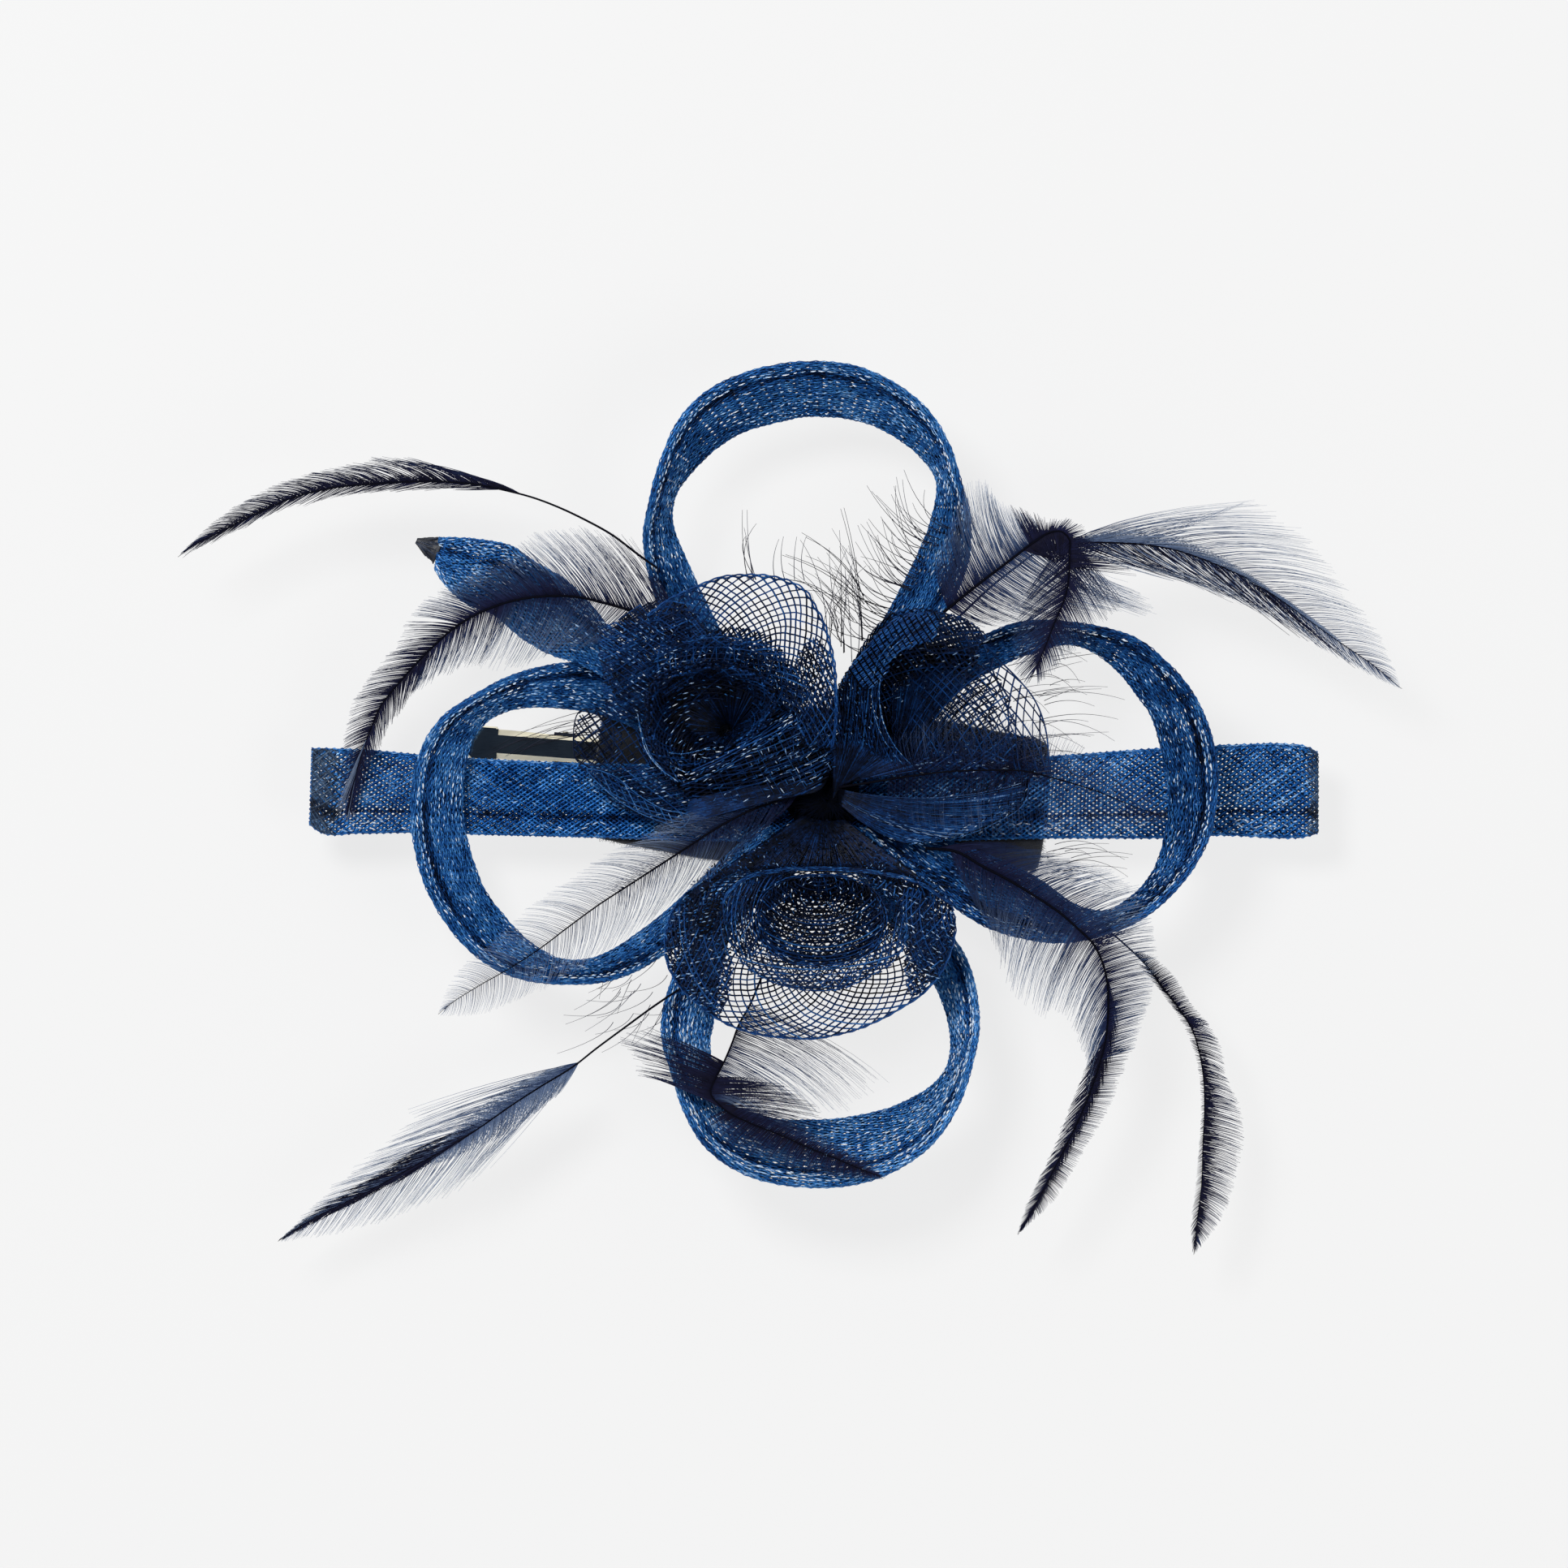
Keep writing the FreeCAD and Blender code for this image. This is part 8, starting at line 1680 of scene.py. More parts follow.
def bottom_outer(B):
    for q, (t0, t1) in enumerate(((0.0, 0.13), (0.0, 0.08))):
        fan(B, [(-3.63, -5.28, 11.5), (-1.16, -6.11, 11.8), (1.65, -6.44, 11.8), (4.62, -6.11, 11.6)], [(-28.38, -23.43, 18), (-25.08, -19.64, 18), (-18.48, -17, 17.5), (-8.58, -15.84, 17), (-0.33, -15.51, 16.8), (9.57, -16, 17), (19.47, -18.15, 17.5), (26.4, -22.94, 18.5)], n=190, shift=0.05 + 0.05 * q, lift=1.2 - 0.8 * q, w=0.4, tone=(t0, t1), seed=131 + q, edge=0, k=14)
    body = [(-4.46, -6.44, 13), (-11.88, -9.41, 15), (-20.13, -14.03, 17.4), (-26.73, -19.64, 18.4), (-28.71, -23.93, 18.6), (-24.26, -20.62, 18.6), (-18.48, -17.98, 18.2), (-8.58, -16.66, 17.8), (-0.33, -16.34, 17.6), (9.57, -16.83, 17.8), (19.47, -18.98, 18.2), (26.07, -23.6, 19), (24.42, -19.3, 18.4), (18.64, -14.36, 17.4), (11.22, -10.23, 15), (5.45, -6.93, 13)]
    dashes(B, body, (-0.33, -1.16, 0.7), along=0.85, ln=0.5, w=0.18, tone=(0.2, 0.7), keep=0.5, off=1.3, seed=133, tilt=35, fade=(0, -5.28, 4.12, 18.15), spark=0.12)
    dashes(B, body, (-0.33, -1.16, 0.7), along=0.85, ln=0.5, w=0.2, tone=(0.3, 0.75), keep=0.4, off=1.32, seed=233, tilt=-30, fade=(0, -5.28, 4.12, 18.15), spark=0.05)
    dashes(B, body, (-0.33, -1.16, 0.75), along=0.8, ln=0.55, w=0.28, tone=(0.0, 0.1), keep=0.55, off=1.25, seed=134, tilt=-35)
    for side, P1 in enumerate(([(-28.38, -22.94, 18.5), (-31.35, -28.38, 19.5), (-31.68, -34.16, 20.4), (-29.37, -39.11, 21), (-24.75, -43.56, 21.2), (-20.96, -45.71, 21.2), (-18.48, -41.09, 20), (-17.66, -35.8, 19), (-19.3, -29.21, 19), (-19.3, -20.96, 18.6), (-24.26, -20.13, 18)],
                               [(25.74, -21.78, 19), (27.06, -25.91, 20), (26.89, -30.03, 20.4), (24.92, -36.14, 21), (21.12, -40.43, 21.2), (18.64, -42.08, 21.2), (16.5, -36.63, 20), (17.49, -29.21, 20), (16.5, -22.61, 19.4), (21.12, -19.3, 18.6)])):
        region(B, P1, [(-1.98 + 6.6 * side, -25.9, 0.9), ("line", 62 - 124 * side, 0.9)], w=0.34, tone=0.36, seed=135 + side, off=-0.5)
        region(B, P1, [(-8.6 + 13.2 * side, -14.4, 1.0), ("line", 20 - 40 * side, 1.0)], w=0.32, tone=0.2, seed=137 + side, off=-1.5)
        dashes(B, P1, ("line", 14 - 28 * side, 0.85), along=1.1, ln=0.7, w=0.2, tone=(0.5, 1.0), keep=0.5, off=0.4, seed=139 + side)
    # painted shade: a near-black patch of strands where the lobe folds under
    fold_shade_patch = [(-23.76, -22.94, 19), (-21.78, -21.29, 19), (-19.8, -21.62, 19.4), (-20.79, -25.58, 19.4), (-22.11, -28.88, 19.4), (-24.09, -29.21, 19.2), (-25.41, -27.23, 19), (-25.08, -24.92, 19)]
    region(B, fold_shade_patch, [("line", 70, 0.7), ("line", -20, 0.75)], w=0.36, tone=0.05, seed=141, off=0.2)
    dashes(B, fold_shade_patch, ("line", 20, 0.8), along=1.0, ln=0.6, w=0.18, tone=(0.25, 0.7), keep=0.7, off=0.6, seed=142)
    gap = [(-16.5, -18.98, 17.6), (-11.88, -17, 17.6), (-6.6, -16.34, 17.2), (-5.94, -18.98, 17), (-8.91, -21.62, 17), (-11.88, -24.26, 17), (-14.36, -23.93, 17.4)]
    region(B, gap, [("line", 60, 0.6), ("line", -30, 0.62)], w=0.4, tone=0.12, seed=174, off=-1.0)
    gap2 = [(7.92, -16.66, 17), (14.52, -17.66, 17.6), (21.12, -19.64, 18), (22.77, -22.94, 18), (17.82, -22.94, 18), (12.87, -20.3, 17.4)]
    region(B, gap2, [("line", -60, 0.6), ("line", 30, 0.62)], w=0.4, tone=0.12, seed=175, off=-1.0)


rose("bottom_rose_outer_petal", [dict(bow=0.8, v1=1.0, skew=1.45, pitch=1.6, tone=(0.42, 0.28), edge=0.34)], fil=0.34, seed=45, extra=bottom_outer)


def bottom_middle(B):
    P1 = [(-19.64, -20.96, 20), (-19.64, -25.91, 21.6), (-18.48, -30.86, 22), (-14.85, -35.8, 22), (-8.58, -39.27, 22), (-1.98, -40.59, 22), (4.62, -39.93, 22), (10.4, -37.29, 22), (15.35, -33.66, 22), (17.49, -29.21, 21.8), (16.66, -23.43, 21), (12.87, -28.38, 20), (6.27, -34.16, 20), (-1.49, -35.48, 20), (-8.58, -33.5, 20), (-12.71, -29.21, 20), (-13.53, -24.26, 20)]
    region(B, P1, [(-1.98, 12.04, 1.15), (-23.43, -20.96, 1.25), (21.12, -20.96, 1.25)], w=0.3, tone=0.33, seed=143, off=-0.6)
    dashes(B, P1, (-1.16, -20.96, 0.95), along=1.15, ln=0.7, w=0.2, tone=(0.5, 1.0), keep=0.4, off=0.3, seed=144, tilt=10)
    for q in range(3):
        lip(B, [(x, y - 0.3 * q, z + 0.2 * q) for x, y, z in [(-19.64, -26.73, 22.3), (-19.64, -21.78, 21.5), (-16, -17.98, 20.5), (-8.58, -16, 19), (-0.33, -15.68, 18.6), (10.4, -16.34, 19), (19.47, -18.48, 19.6), (26.4, -22.94, 20.4)]], w=0.24, tone=0.5, off=0.4, seed=21 + q)
    lip(B, [(-19.64, -25.91, 22), (-18.48, -30.86, 22.2), (-14.85, -35.8, 22.2), (-8.58, -39.27, 22.2), (-1.98, -40.59, 22.2), (4.62, -39.93, 22.2), (10.4, -37.29, 22.2), (15.35, -33.66, 22.2), (17.49, -29.21, 22)], w=0.22, tone=0.45, off=0.3, seed=25)
    side = [(7.92, -17.32, 19), (16.17, -18.98, 19.6), (22.77, -21.78, 20), (26.4, -25.08, 20.4), (25.74, -30.86, 20.6), (22.77, -35.8, 20.6), (18.64, -36.63, 20.6), (17.82, -29.21, 21), (15.35, -23.43, 20.5), (11.22, -20.13, 19.6)]
    region(B, side, [(-0.33, -6.11, 0.8), (37.62, -24.26, 0.9)], w=0.34, tone=0.36, seed=145, off=0.1)
    dashes(B, side, ("line", -30, 0.9), along=1.2, ln=0.75, w=0.22, tone=(0.5, 1.0), keep=0.5, off=0.8, seed=146)
    left = [(-14.36, -17.98, 20), (-18.48, -20.13, 21), (-19.3, -25.08, 21.6), (-17.66, -30.86, 21.8), (-14.36, -34.16, 21.6), (-12.71, -30.03, 20.8), (-13.86, -25.08, 20.6), (-11.88, -20.62, 20), (-7.76, -17.66, 19.6)]
    region(B, left, [(-0.33, -25.91, 0.75), ("line", 60, 0.9)], w=0.34, tone=0.33, seed=147, off=0.2)
    dashes(B, left, (-0.33, -25.91, 0.75), along=1.1, ln=0.6, w=0.2, tone=(0.4, 0.85), keep=0.5, off=0.7, seed=148)


rose("bottom_rose_middle_petal", [dict(bow=0.8, skew=1.3, pitch=1.4, tone=(0.4, 0.2), edges=(False, False))], fil=0.3, seed=48, extra=bottom_middle)


def bottom_main(B):
    P1 = [(-13.53, -25.08, 20), (-12.54, -30.03, 20), (-8.25, -34.16, 20), (-1.49, -35.8, 20), (6.27, -34.82, 20), (11.88, -30.86, 20), (13.2, -25.41, 20), (11.22, -20.96, 19), (6.27, -17.98, 18.6), (-1.49, -17.16, 18.6), (-8.91, -18.64, 19), (-12.21, -21.29, 19.5)]
    low = [(x, y, 12.4) for x, y, z in [(-0.33, -25.91, 0), (-4.46, -25.91, 0), (3.8, -25.91, 0), (-0.33, -22.94, 0), (-0.33, -29.21, 0)]]
    region(B, P1, [(-0.66, -12.04, 0.88)], w=0.34, tone=0.24, seed=151, pts=low, off=-0.4, spread=0.12)
    region(B, P1, [(-21.78, -4.46, 1), (21.12, -4.46, 1)], w=0.32, tone=0.22, seed=152, pts=low, off=-1.0)
    region(B, P1, [(-0.66, -58.91, 1.02)], w=0.32, tone=0.24, seed=153, pts=low, off=-1.5)


def bottom_cup(B):
    ring = [(-13.53, -25.08, 20), (-12.54, -30.03, 20), (-8.25, -34.16, 20), (-1.49, -35.8, 20), (6.27, -34.82, 20), (11.88, -30.86, 20), (13.2, -25.41, 20), (11.22, -20.96, 19), (6.27, -17.98, 18.6), (-1.49, -17.16, 18.6), (-8.91, -18.64, 19), (-12.21, -21.29, 19.5)]
    c = np.array((-0.66, -26.24, 0)[:2])
    # painted shade: each ring of edge steps down into the cup and is given a lower tone
    for q, k in enumerate((1.0, 0.96, 0.92, 0.88, 0.84, 0.8)):
        lip(B, [(c[0] + (x - c[0]) * k, c[1] + (y - c[1]) * k, z - 0.5 * q) for x, y, z in ring + ring[:1]], w=0.3, tone=0.42 - 0.05 * q, off=0.3, seed=31 + q)
    deep = [(x, y, 12.4) for x, y, z in [(-0.33, -25.91, 0), (-4.46, -25.91, 0), (3.8, -25.91, 0), (-0.33, -22.94, 0), (-0.33, -29.21, 0)]]
    region(B, ring, [(-0.66, -12.04, 0.84)], w=0.36, tone=0.26, seed=251, pts=deep, off=-1.9, spread=0.14)
    region(B, ring, [("line", 68, 1.3), ("line", -64, 1.4)], w=0.3, tone=0.2, seed=252, pts=deep, off=-2.3)
    edge_l = [(-13.86, -25.08, 20), (-12.71, -30.53, 20), (-9.41, -33.5, 20), (-8.91, -30.86, 18), (-10.23, -26.73, 17.5), (-9.41, -22.94, 17.5), (-7.76, -20.13, 18), (-10.23, -19.3, 19), (-12.71, -21.78, 19.5)]
    edge_r = [(13.2, -25.41, 20), (12.21, -30.53, 20), (9.24, -33.16, 20), (8.91, -30.03, 18), (9.9, -26.24, 17.5), (9.24, -22.94, 17.5), (7.59, -20.13, 18), (10.89, -20.62, 19)]
    for q, E in enumerate((edge_l, edge_r)):
        region(B, E, [("line", 80 - 20 * q, 0.7), ("line", -70 + 40 * q, 0.8)], w=0.34, tone=0.2, seed=154 + q, off=-0.2)
    top = [(-12.54, -22.94, 19.5), (-10.23, -19.64, 19), (-4.46, -17.66, 18.6), (2.97, -17.66, 18.6), (8.91, -18.98, 19), (12.21, -22.28, 19.5), (7.92, -22.94, 17), (-0.33, -21.29, 15.6), (-7.76, -22.94, 17)]
    region(B, top, [("line", 82, 0.7), ("line", -76, 0.75)], w=0.3, tone=0.1, seed=158)
    dashes(B, ring, (-0.66, -20.96, 0.9), along=1.0, ln=0.6, w=0.18, tone=(0.5, 0.95), keep=0.4, off=0.2, pts=[(x, y, 12.6) for x, y, z in [(-0.33, -25.91, 0), (-4.46, -25.91, 0), (3.8, -25.91, 0)]], seed=156)
    # painted shade: a near-black layer under the cup's upper rim
    region(B, [(-11.05, -20.62, 19), (-6.11, -18.15, 18.8), (-0.33, -17.49, 18.8), (6.27, -18.15, 18.8), (10.4, -20.46, 19), (6.27, -20.3, 17), (-0.33, -19.47, 16.6), (-6.93, -20.46, 17)], [(-0.33, -53.96, 0.6), ("line", 75, 0.8)], w=0.34, tone=0.04, mat=1, seed=157)


rose("bottom_rose_inner_cup", [], fil=0.29, seed=51, extra=bottom_cup, main=bottom_main)


# ------------------------------------------------------------------ feathers
def feather(name, seed):
    r0, r1, rach, sides = FEATHERS[name]
    rng = np.random.default_rng(seed)
    B = Build()
    C = hermite(rach, 90)
    t = np.linspace(0, 1, 90)
    B.tube(C, r0 * (1 - t) ** 0.8 + r1 * 0.6, tone=0.3, mat=1, sides=6)
    fine = hermite(rach, 400)
    D = unit(np.gradient(fine, axis=0))
    for si, (ta, tb, n, w, bend, jit, t0, t1, ends) in enumerate(sides):
        E = hermite(ends, 300)
        u = (np.arange(n) + rng.uniform(-0.35, 0.35, n)) / n
        clump = noise1(u * 26.0, seed * 3 + si)
        u = np.clip(u + 0.004 * clump, 0, 1)
        tr = ta + (tb - ta) * u
        x = tr * 399
        i = np.clip(x.astype(int), 0, 398)
        f = (x - i)[:, None]
        root = fine[i] * (1 - f) + fine[i + 1] * f
        d = D[i]
        ue = np.clip(u + 0.012 * noise1(u * 41.0, seed * 5 + si), 0, 1)
        x = ue * 299
        i = np.clip(x.astype(int), 0, 298)
        f = (x - i)[:, None]
        end = E[i] * (1 - f) + E[i + 1] * f
        c = end - root
        ln = np.linalg.norm(c, axis=1, keepdims=True)
        scale = 1 - np.abs(rng.normal(0, jit, (n, 1))).clip(0, 0.7)
        c = c * scale
        side = np.stack([-c[:, 1], c[:, 0], np.zeros(n)], 1)
        swing = (0.02 * rng.normal(0, 1, (n, 1)) + 0.035 * clump[:, None])
        c = c + side * swing
        c[:, 2] += rng.normal(0, 0.12, n) * np.minimum(ln[:, 0] * 0.15, 1.2)
        out = unit(c - d * (c * d).sum(1, keepdims=True))
        ctrl = root + 0.5 * c + out * ln * abs(bend) - d * ln * abs(bend) * 0.9
        k = 7
        s = np.linspace(0, 1, k)[None, :, None]
        P = (1 - s) ** 2 * root[:, None] + 2 * s * (1 - s) * ctrl[:, None] + s**2 * (root + c)[:, None]
        P[..., 2] += 0.25 * np.sin(np.pi * s[..., 0]) * (1 if si % 2 else -1) * 0.5
        W = w * (1 - 0.72 * s[..., 0]) * rng.uniform(0.75, 1.2, (n, 1))
        T = t0 + (t1 - t0) * s[..., 0] ** 0.8 + rng.normal(0, 0.06, (n, 1))
        T = T * (0.35 + 0.65 * np.clip(tr / 0.25, 0, 1))[:, None]
        N = np.broadcast_to(np.array([0, 0, 1.0]), P.shape)
        B.strands(P, W, N, np.clip(T, 0, 1), 0, flat=0.3)
    return B.make(name + "_barbs", [M_BARB, M_QUILL], replaces=[name], slot="feather")


for i, nm in enumerate(sorted(FEATHERS)):
    feather(nm, 60 + i)


# ------------------------------------------------------------------ felt base
def felt_piece():
    W, H, rc = 90.75 / 2, 26.6 / 2, 1.6
    pts = []
    for cx, cy, a0 in ((W - rc, H - rc, 0), (-W + rc, H - rc, 90), (-W + rc, -H + rc, 180), (W - rc, -H + rc, 270)):
        for a in np.linspace(0, 90, 6):
            pts.append((cx + rc * math.cos(math.radians(a0 + a)), cy + rc * math.sin(math.radians(a0 + a))))
    pts = np.array(pts)
    ring = hermite(np.c_[pts, np.zeros(len(pts))], 421, True)[:-1, :2]
    n = len(ring)
    nrm = unit(np.stack([np.gradient(ring[:, 1]), -np.gradient(ring[:, 0])], 1))
    lo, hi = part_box("felt_base")
    c = (np.array(lo) + np.array(hi)) / 2 * 1000
    a = math.radians(-4.3)

    def turn(B):
        for arr in B.v:
            x, y = arr[:, 0].copy(), arr[:, 1].copy()
            arr[:, 0] = c[0] + x * math.cos(a) - y * math.sin(a)
            arr[:, 1] = c[1] + x * math.sin(a) + y * math.cos(a)

    B = Build()
    rows = []
    for k in (0.0, 0.12, 0.3, 0.5, 0.7, 0.85, 0.95):
        rows.append(np.c_[ring * k, np.zeros(n)])
    for z, off in ((0.02, -0.5), (0.15, -0.15), (0.5, 0.0), (1.0, 0.04), (1.5, 0.0), (1.85, -0.15), (1.98, -0.5)):
        fuzz = 0.07 * noise1(np.arange(n) * 0.9 + z * 13, 5)[:, None] + 0.06 * noise1(np.arange(n) * 0.21, 9)[:, None]
        rows.append(np.c_[ring + nrm * (off + fuzz), z + 0.05 * noise1(np.arange(n) * 0.7 + z * 5, 3)])
    for k in (0.95, 0.85, 0.7, 0.5, 0.3, 0.12, 0.0):
        rows.append(np.c_[ring * k, np.full(n, 2.0) + 0.04 * noise1(np.arange(n) * 0.5 + k * 31, 6) * (k > 0)])
    B.grid(np.array(rows), wrap_v=True)
    turn(B)
    o = B.make("felt_base_pad", [M_FELT], replaces=["felt_base"], slot="black_felt")
    import bmesh
    bm = bmesh.new()
    bm.from_mesh(o.data)
    bmesh.ops.remove_doubles(bm, verts=bm.verts, dist=1e-6)
    bmesh.ops.recalc_face_normals(bm, faces=bm.faces)
    bm.to_mesh(o.data)
    bm.free()
    fz = Build()
    rng = np.random.default_rng(7)
    m = 2600
    i = rng.integers(0, n, m)
    base = np.c_[ring[i] + nrm[i] * -0.1, rng.uniform(0.1, 1.95, m)]
    dirs = unit(np.c_[nrm[i], rng.normal(0, 0.5, m)] + rng.normal(0, 0.55, (m, 3)))
    ln = rng.uniform(0.25, 0.85, m)[:, None, None]
    s = np.linspace(0, 1, 4)[None, :, None]
    P = base[:, None] + dirs[:, None] * ln * s + rng.normal(0, 0.5, (m, 1, 3)) * ln * s**2 * 0.5
    P[..., 2] = np.clip(P[..., 2], -0.2, 2.3)
    fz.strands(P, np.full((m, 4), 0.05), np.broadcast_to(np.array([0, 0, 1.0]), P.shape), np.full((m, 4), 0.5), 0)
    turn(fz)
    f = fz.make("felt_base_fuzz", [M_FELT], slot="black_felt")


felt_piece()


# ------------------------------------------------------------------ centre binding, tail end, spring
def centre_piece():
    B = Build()
    rng = np.random.default_rng(77)
    cx, cy = -0.33, -1.16
    m = 420
    th = rng.uniform(0, 2 * np.pi, m)
    r1 = rng.uniform(4.5, 8.0, m)
    z0 = rng.uniform(4.2, 7.6, m)
    r0 = rng.uniform(0.2, 2.4, m)
    s = np.linspace(0, 1, 7)[None]
    r = r0[:, None] + (r1 - r0)[:, None] * s
    ang = th[:, None] + rng.normal(0, 0.25, (m, 1)) * s
    z = z0[:, None] + (rng.uniform(-1.5, 0.6, (m, 1))) * s**1.5 + 0.7 * np.sin(np.pi * s) * rng.uniform(-0.3, 1, (m, 1))
    P = np.stack([cx + r * np.cos(ang), cy + r * np.sin(ang), np.clip(z, 3.95, 8.6)], -1)
    # painted shade: the crin drawn into the gather is given the near-black thread colour
    B.strands(P, np.full((m, 7), 0.34), np.broadcast_to(np.array([0, 0, 1.0]), P.shape), np.clip(0.02 + 0.1 * s + rng.normal(0, 0.05, (m, 1)), 0, 1), 1)
    for q in range(9):
        a = np.linspace(0, 2 * np.pi, 60)
        rr = 3.0 + 0.35 * np.sin(a * 3 + q) + 0.5 * rng.normal()
        C = np.c_[cx + rr * np.cos(a), cy + rr * np.sin(a), 4.3 + q * 0.42 + 0.25 * np.sin(a * 2 + q * 1.7)]
        B.tube(C, 0.24, tone=0.1, mat=1, sides=6)
    for q in range(7):
        a = q * 0.9
        s = np.linspace(-1, 1, 26)
        C = np.c_[cx + 3.4 * s * math.cos(a), cy + 3.4 * s * math.sin(a), 8.35 - 2.6 * s**4 + 0.05 * q]
        B.tube(C, 0.2, tone=0.1, mat=1, sides=6)
    a = np.linspace(0, 2 * np.pi, 49)[:-1]
    G = []
    for rr, z in ((0.05, 7.4), (1.5, 7.4), (2.9, 7.0), (3.3, 5.6), (3.9, 4.2), (7.0, 3.95), (7.2, 3.9), (0.05, 3.9)):
        G.append(np.c_[cx + rr * np.cos(a), cy + rr * np.sin(a), np.full(48, z)])
    B.grid(np.array(G), tone=0.1, mat=1, wrap_v=True)
    for rr0, rr1, n2, zz in ((0.3, 7.6, 260, 8.2), (0.3, 7.9, 260, 6.6)):
        th = rng.uniform(0, 2 * np.pi, n2)
        s = np.linspace(0, 1, 7)[None]
        r = rr0 + (rng.uniform(4.0, rr1, n2)[:, None] - rr0) * s
        ang = th[:, None] + rng.normal(0, 0.3, (n2, 1)) * s
        P = np.stack([cx + 1.6 + r * np.cos(ang) * 0.95, cy - 1.0 + r * np.sin(ang) * 0.8, np.broadcast_to(np.minimum(8.7, zz + 0.5 * np.sin(np.pi * s)), r.shape)], -1)
        P[..., 0] = np.clip(P[..., 0], cx - 8.0, cx + 8.0)
        # painted shade: these gathered strands are also given the near-black thread colour
        B.strands(P, np.full(P.shape[:2], 0.4), np.broadcast_to(np.array([0, 0, 1.0]), P.shape), np.clip(0.12 * s + rng.normal(0.0, 0.06, (n2, 1)), 0, 1) * np.ones(P.shape[:2]), 1)
    B.make("centre_binding_gather", [M_MESH, M_THREAD_AND_SHADE, M_SPARK], replaces=["centre_binding"], slot="binding_thread")


def tail_tip():
    B = Build()
    rng = np.random.default_rng(78)
    a = np.array([-82.2, 50.6, 10.2])
    b = np.array([-77.6, 48.6, 10.3])
    d = unit(b - a)
    sd = np.array([-d[1], d[0], 0])
    k = 22
    s = np.linspace(0, 1, k)
    C = a[None] + (b - a)[None] * s[:, None]
    half = 0.35 + 2.6 * s**0.8
    G = []
    for q in range(k):
        ang = np.linspace(0, 2 * np.pi, 25)[:-1]
        wob = 1 + 0.08 * noise1(ang * 4 + q * 2.3, 4)
        G.append(C[q] + sd[None] * (np.cos(ang) * half[q] * wob)[:, None] + np.array([0, 0, 1.0])[None] * (np.sin(ang) * (0.35 + 0.3 * s[q]) * wob)[:, None])
    G.insert(0, np.repeat(C[0][None], 24, 0))
    G.append(np.repeat(C[-1][None], 24, 0))
    B.grid(np.array(G), tone=0.4, wrap_v=True)
    for q in range(26):
        e = rng.uniform(-1, 1)
        p0 = a + sd * e * 0.5
        p1 = a + (b - a) * rng.uniform(0.5, 1.1) + sd * e * 2.5
        s2 = np.linspace(0, 1, 6)[:, None]
        C2 = p0 + (p1 - p0) * s2 + np.array([0, 0, 0.55]) * np.sin(np.pi * s2 * 0.8)
        B.tube(C2, 0.16, tone=0.5 + 0.3 * rng.normal(), sides=5)
    B.make("tail_end_tip", [M_SEAL], replaces=["tail_end_binding"], slot="sealed_end")


CL = (-52.5, 8.3)


def clipw(P):
    P = np.asarray(P, float)
    c, s = math.cos(math.radians(-4.3)), math.sin(math.radians(-4.3))
    return np.c_[CL[0] + c * P[:, 0] - s * P[:, 1], CL[1] + s * P[:, 0] + c * P[:, 1], P[:, 2]]


def spring_piece():
    B = Build()
    turns = 5.5
    a = np.linspace(0, 2 * np.pi * turns, 160)
    y = -1.35 + 2.7 * a / a[-1]
    rc, rw = 1.0, 0.2
    coil = np.c_[rc * np.cos(a + 2.2), y, -3.2 + rc * np.sin(a + 2.2)]
    leg1 = [(7.0, -1.35, -1.05), (4.0, -1.35, -1.05), (1.2, -1.35, -1.35)]
    B.tube(clipw(hermite(np.vstack([leg1, coil[3:]]), 420)), rw, tone=0.5, sides=8)
    B.make("clip_spring_coil", [M_WIRE], replaces=["clip_spring"], slot="spring_wire")


centre_piece()
tail_tip()
spring_piece()


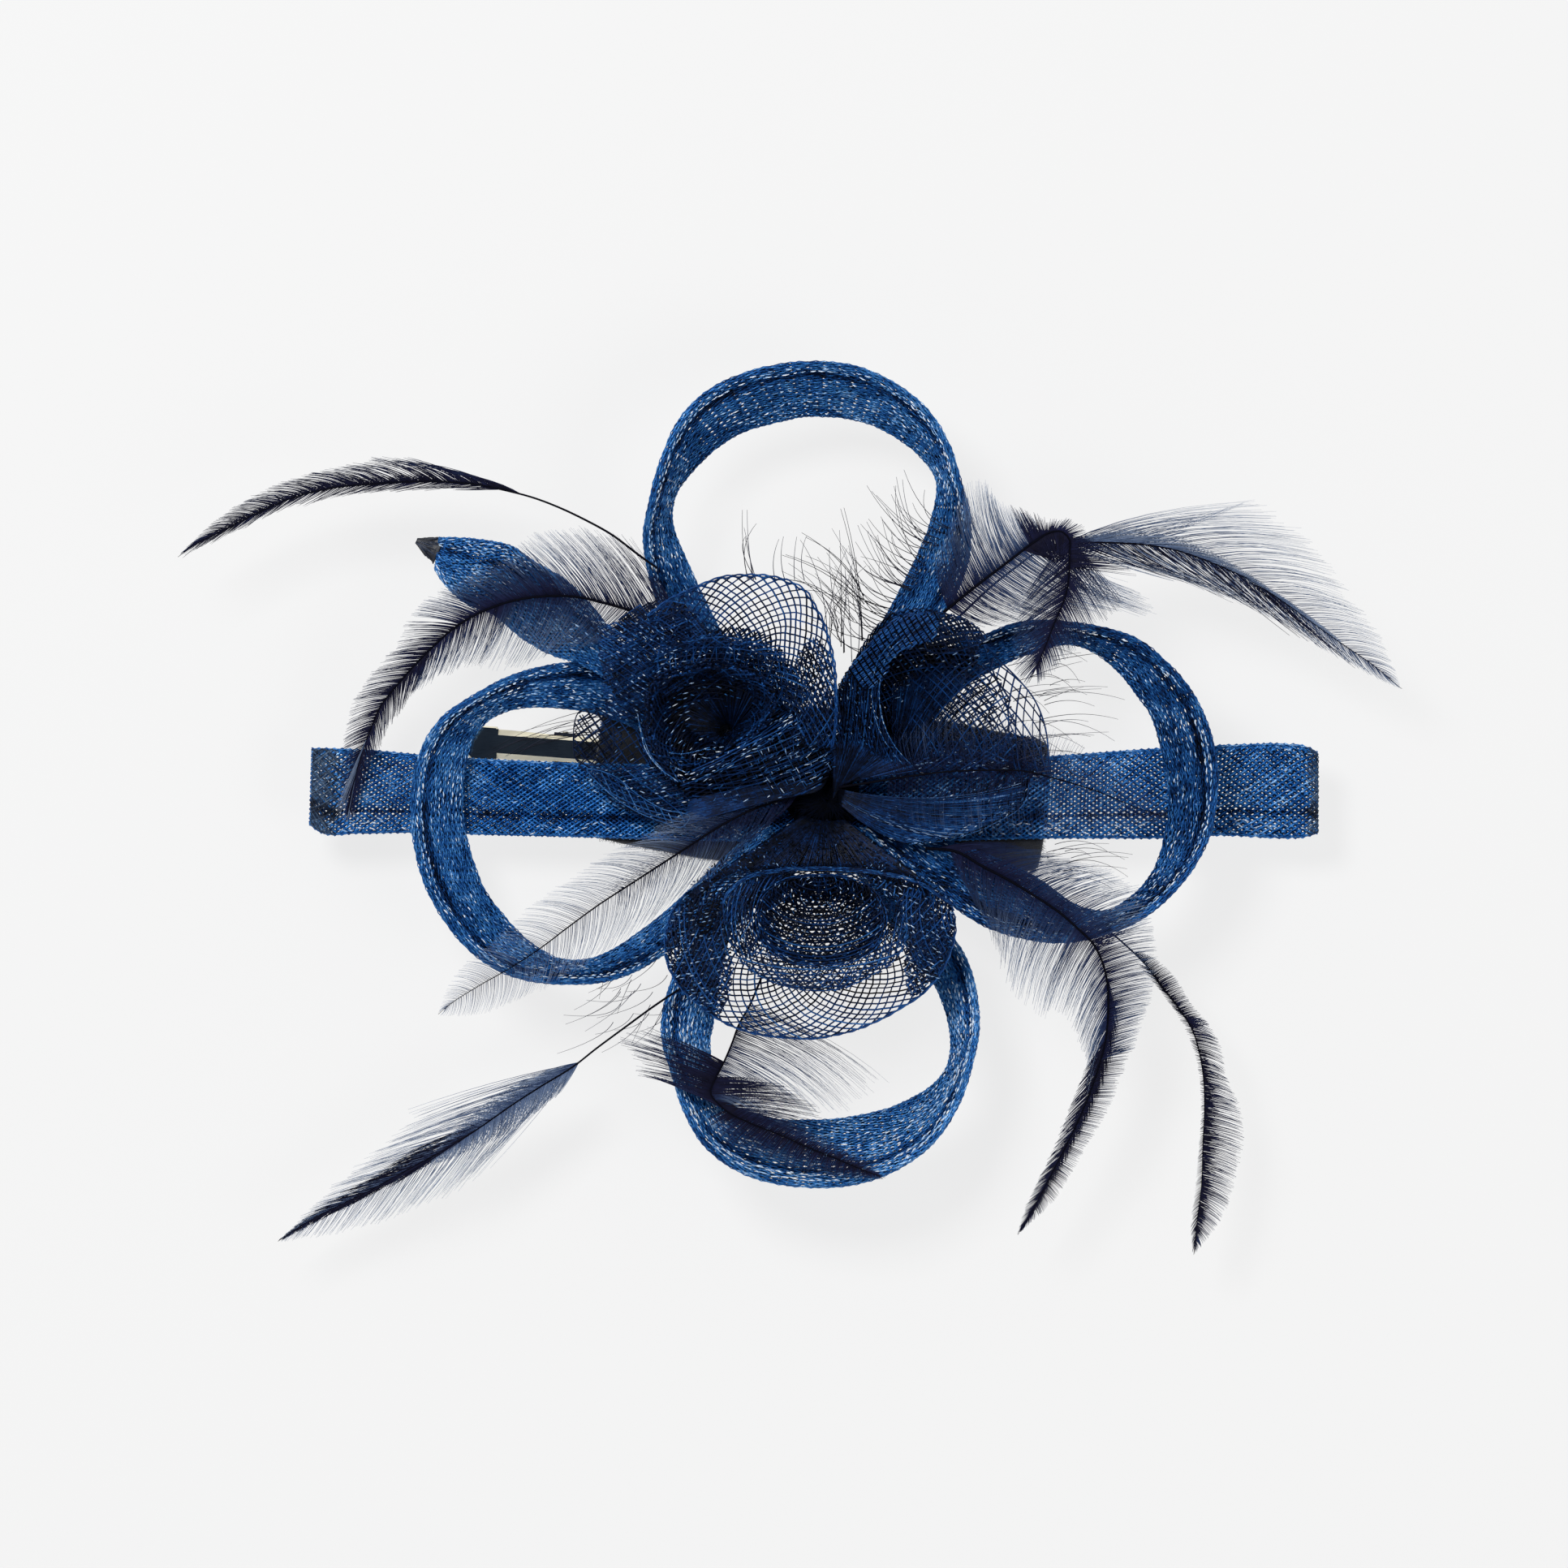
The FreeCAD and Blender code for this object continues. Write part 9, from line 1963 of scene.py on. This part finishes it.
# ------------------------------------------------------------------ down wisps round the feather roots
def wisps():
    B = Build()
    rng = np.random.default_rng(88)

    def px(x, y, z):
        """Layout units of 0.165 mm, counted from the top left of the layout, to millimetres."""
        return np.array([(x - 1012) * 0.165, (973 - y) * 0.165, z])

    def hair(p0, p1, p2, z0, z1, w=0.17, tone=0.5):
        a, b, c = px(*p0, z0), px(*p1, (z0 + z1) / 2 + 1), px(*p2, z1)
        s = np.linspace(0, 1, 10)[:, None]
        P = (1 - s) ** 2 * a + 2 * s * (1 - s) * b + s**2 * c
        W = w * (1 - 0.6 * s[:, 0])
        B.strands(P[None], W[None], np.broadcast_to(np.array([0, 0, 1.0]), P[None].shape), np.full((1, 10), tone), 0, flat=0.5)

    for q in range(6):
        x = 912 + rng.uniform(0, 24)
        hair((925 + rng.uniform(-6, 8), 716), (920 + rng.uniform(-14, 10), 675), (x, 620 + rng.uniform(0, 45)), 22, 16, tone=rng.uniform(0.1, 0.6))
    for q in range(4):
        hair((955 + 12 * q, 716), (950 + 12 * q + rng.uniform(-8, 6), 690), (950 + 13 * q + rng.uniform(-4, 10), 660 + rng.uniform(0, 16)), 22, 16, tone=rng.uniform(0.1, 0.6))
    for a, b, c in (((1060, 790), (1062, 705), (1040, 628)), ((1062, 745), (1030, 700), (967, 683)), ((1050, 765), (1012, 716), (960, 712)), ((1062, 735), (1045, 690), (990, 660))):
        for q in range(2):
            hair((a[0] + rng.uniform(-3, 3), a[1]), (b[0] + rng.uniform(-5, 5), b[1] + rng.uniform(-5, 5)), (c[0] + rng.uniform(-5, 5), c[1] + rng.uniform(-5, 5)), 14, 12, w=0.2, tone=rng.uniform(0.0, 0.3))
    for q in range(18):
        x0 = rng.uniform(1015, 1062); y0 = rng.uniform(745, 830)
        x2 = rng.uniform(960, 1080); y2 = rng.uniform(650, 730)
        hair((x0, y0), (x0 + rng.uniform(-20, 10), (y0 + y2) / 2 - 15), (x2, y2), 14, rng.uniform(10, 16), tone=rng.uniform(0.1, 0.7))
    for q in range(64):
        u = rng.uniform(0, 1)
        x0, y0 = 1165 - 100 * u + rng.uniform(-8, 8), 650 + 155 * u
        x2 = x0 - rng.uniform(25, 85); y2 = y0 - rng.uniform(25, 80)
        hair((x0, y0), (x0 - rng.uniform(18, 45), y0 - rng.uniform(0, 18)), (x2, y2), 12, rng.uniform(8, 13), w=0.18, tone=rng.uniform(0.0, 0.45))
    for q in range(34):
        x0 = rng.uniform(1240, 1300); y0 = rng.uniform(790, 960)
        x2 = x0 + rng.uniform(35, 110); y2 = y0 + rng.uniform(-20, 28)
        hair((x0, y0), ((x0 + x2) / 2, y0 - 12), (x2, y2), 12, 10, w=0.14, tone=rng.uniform(0.1, 0.7))
    for q in range(12):
        x0 = rng.uniform(1285, 1320); y0 = rng.uniform(1040, 1090)
        hair((x0, y0), (x0 + 35, y0 - 12), (x0 + rng.uniform(50, 80), y0 + rng.uniform(-10, 20)), 12, 10, w=0.14, tone=rng.uniform(0.1, 0.7))
    for q in range(26):
        x0 = rng.uniform(750, 835); y0 = rng.uniform(1180, 1260)
        x2 = x0 - rng.uniform(15, 75); y2 = y0 + rng.uniform(10, 50)
        hair((x0, y0), (x0 - 10, y0 + 20), (x2, y2), 10, 8, w=0.14, tone=rng.uniform(0.1, 0.7))
    for q in range(12):
        x0 = rng.uniform(725, 750); y0 = rng.uniform(872, 905)
        hair((x0, y0), (x0 - 60, y0 + 5), (600 + rng.uniform(0, 50), 925 + rng.uniform(-25, 8)), 8, 6, w=0.14, tone=rng.uniform(0.0, 0.5))
    B.make("feather_down_wisps", [M_DOWN], slot="feather")


wisps()

# ------------------------------------------------------------------ clip materials on the CAD pieces
for n in ("clip_upper_plate", "clip_lower_jaw", "clip_hinge_pin"):
    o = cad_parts[n]
    o.data.materials.clear()
    o.data.materials.append(M_PIN if n == "clip_hinge_pin" else M_STEEL)
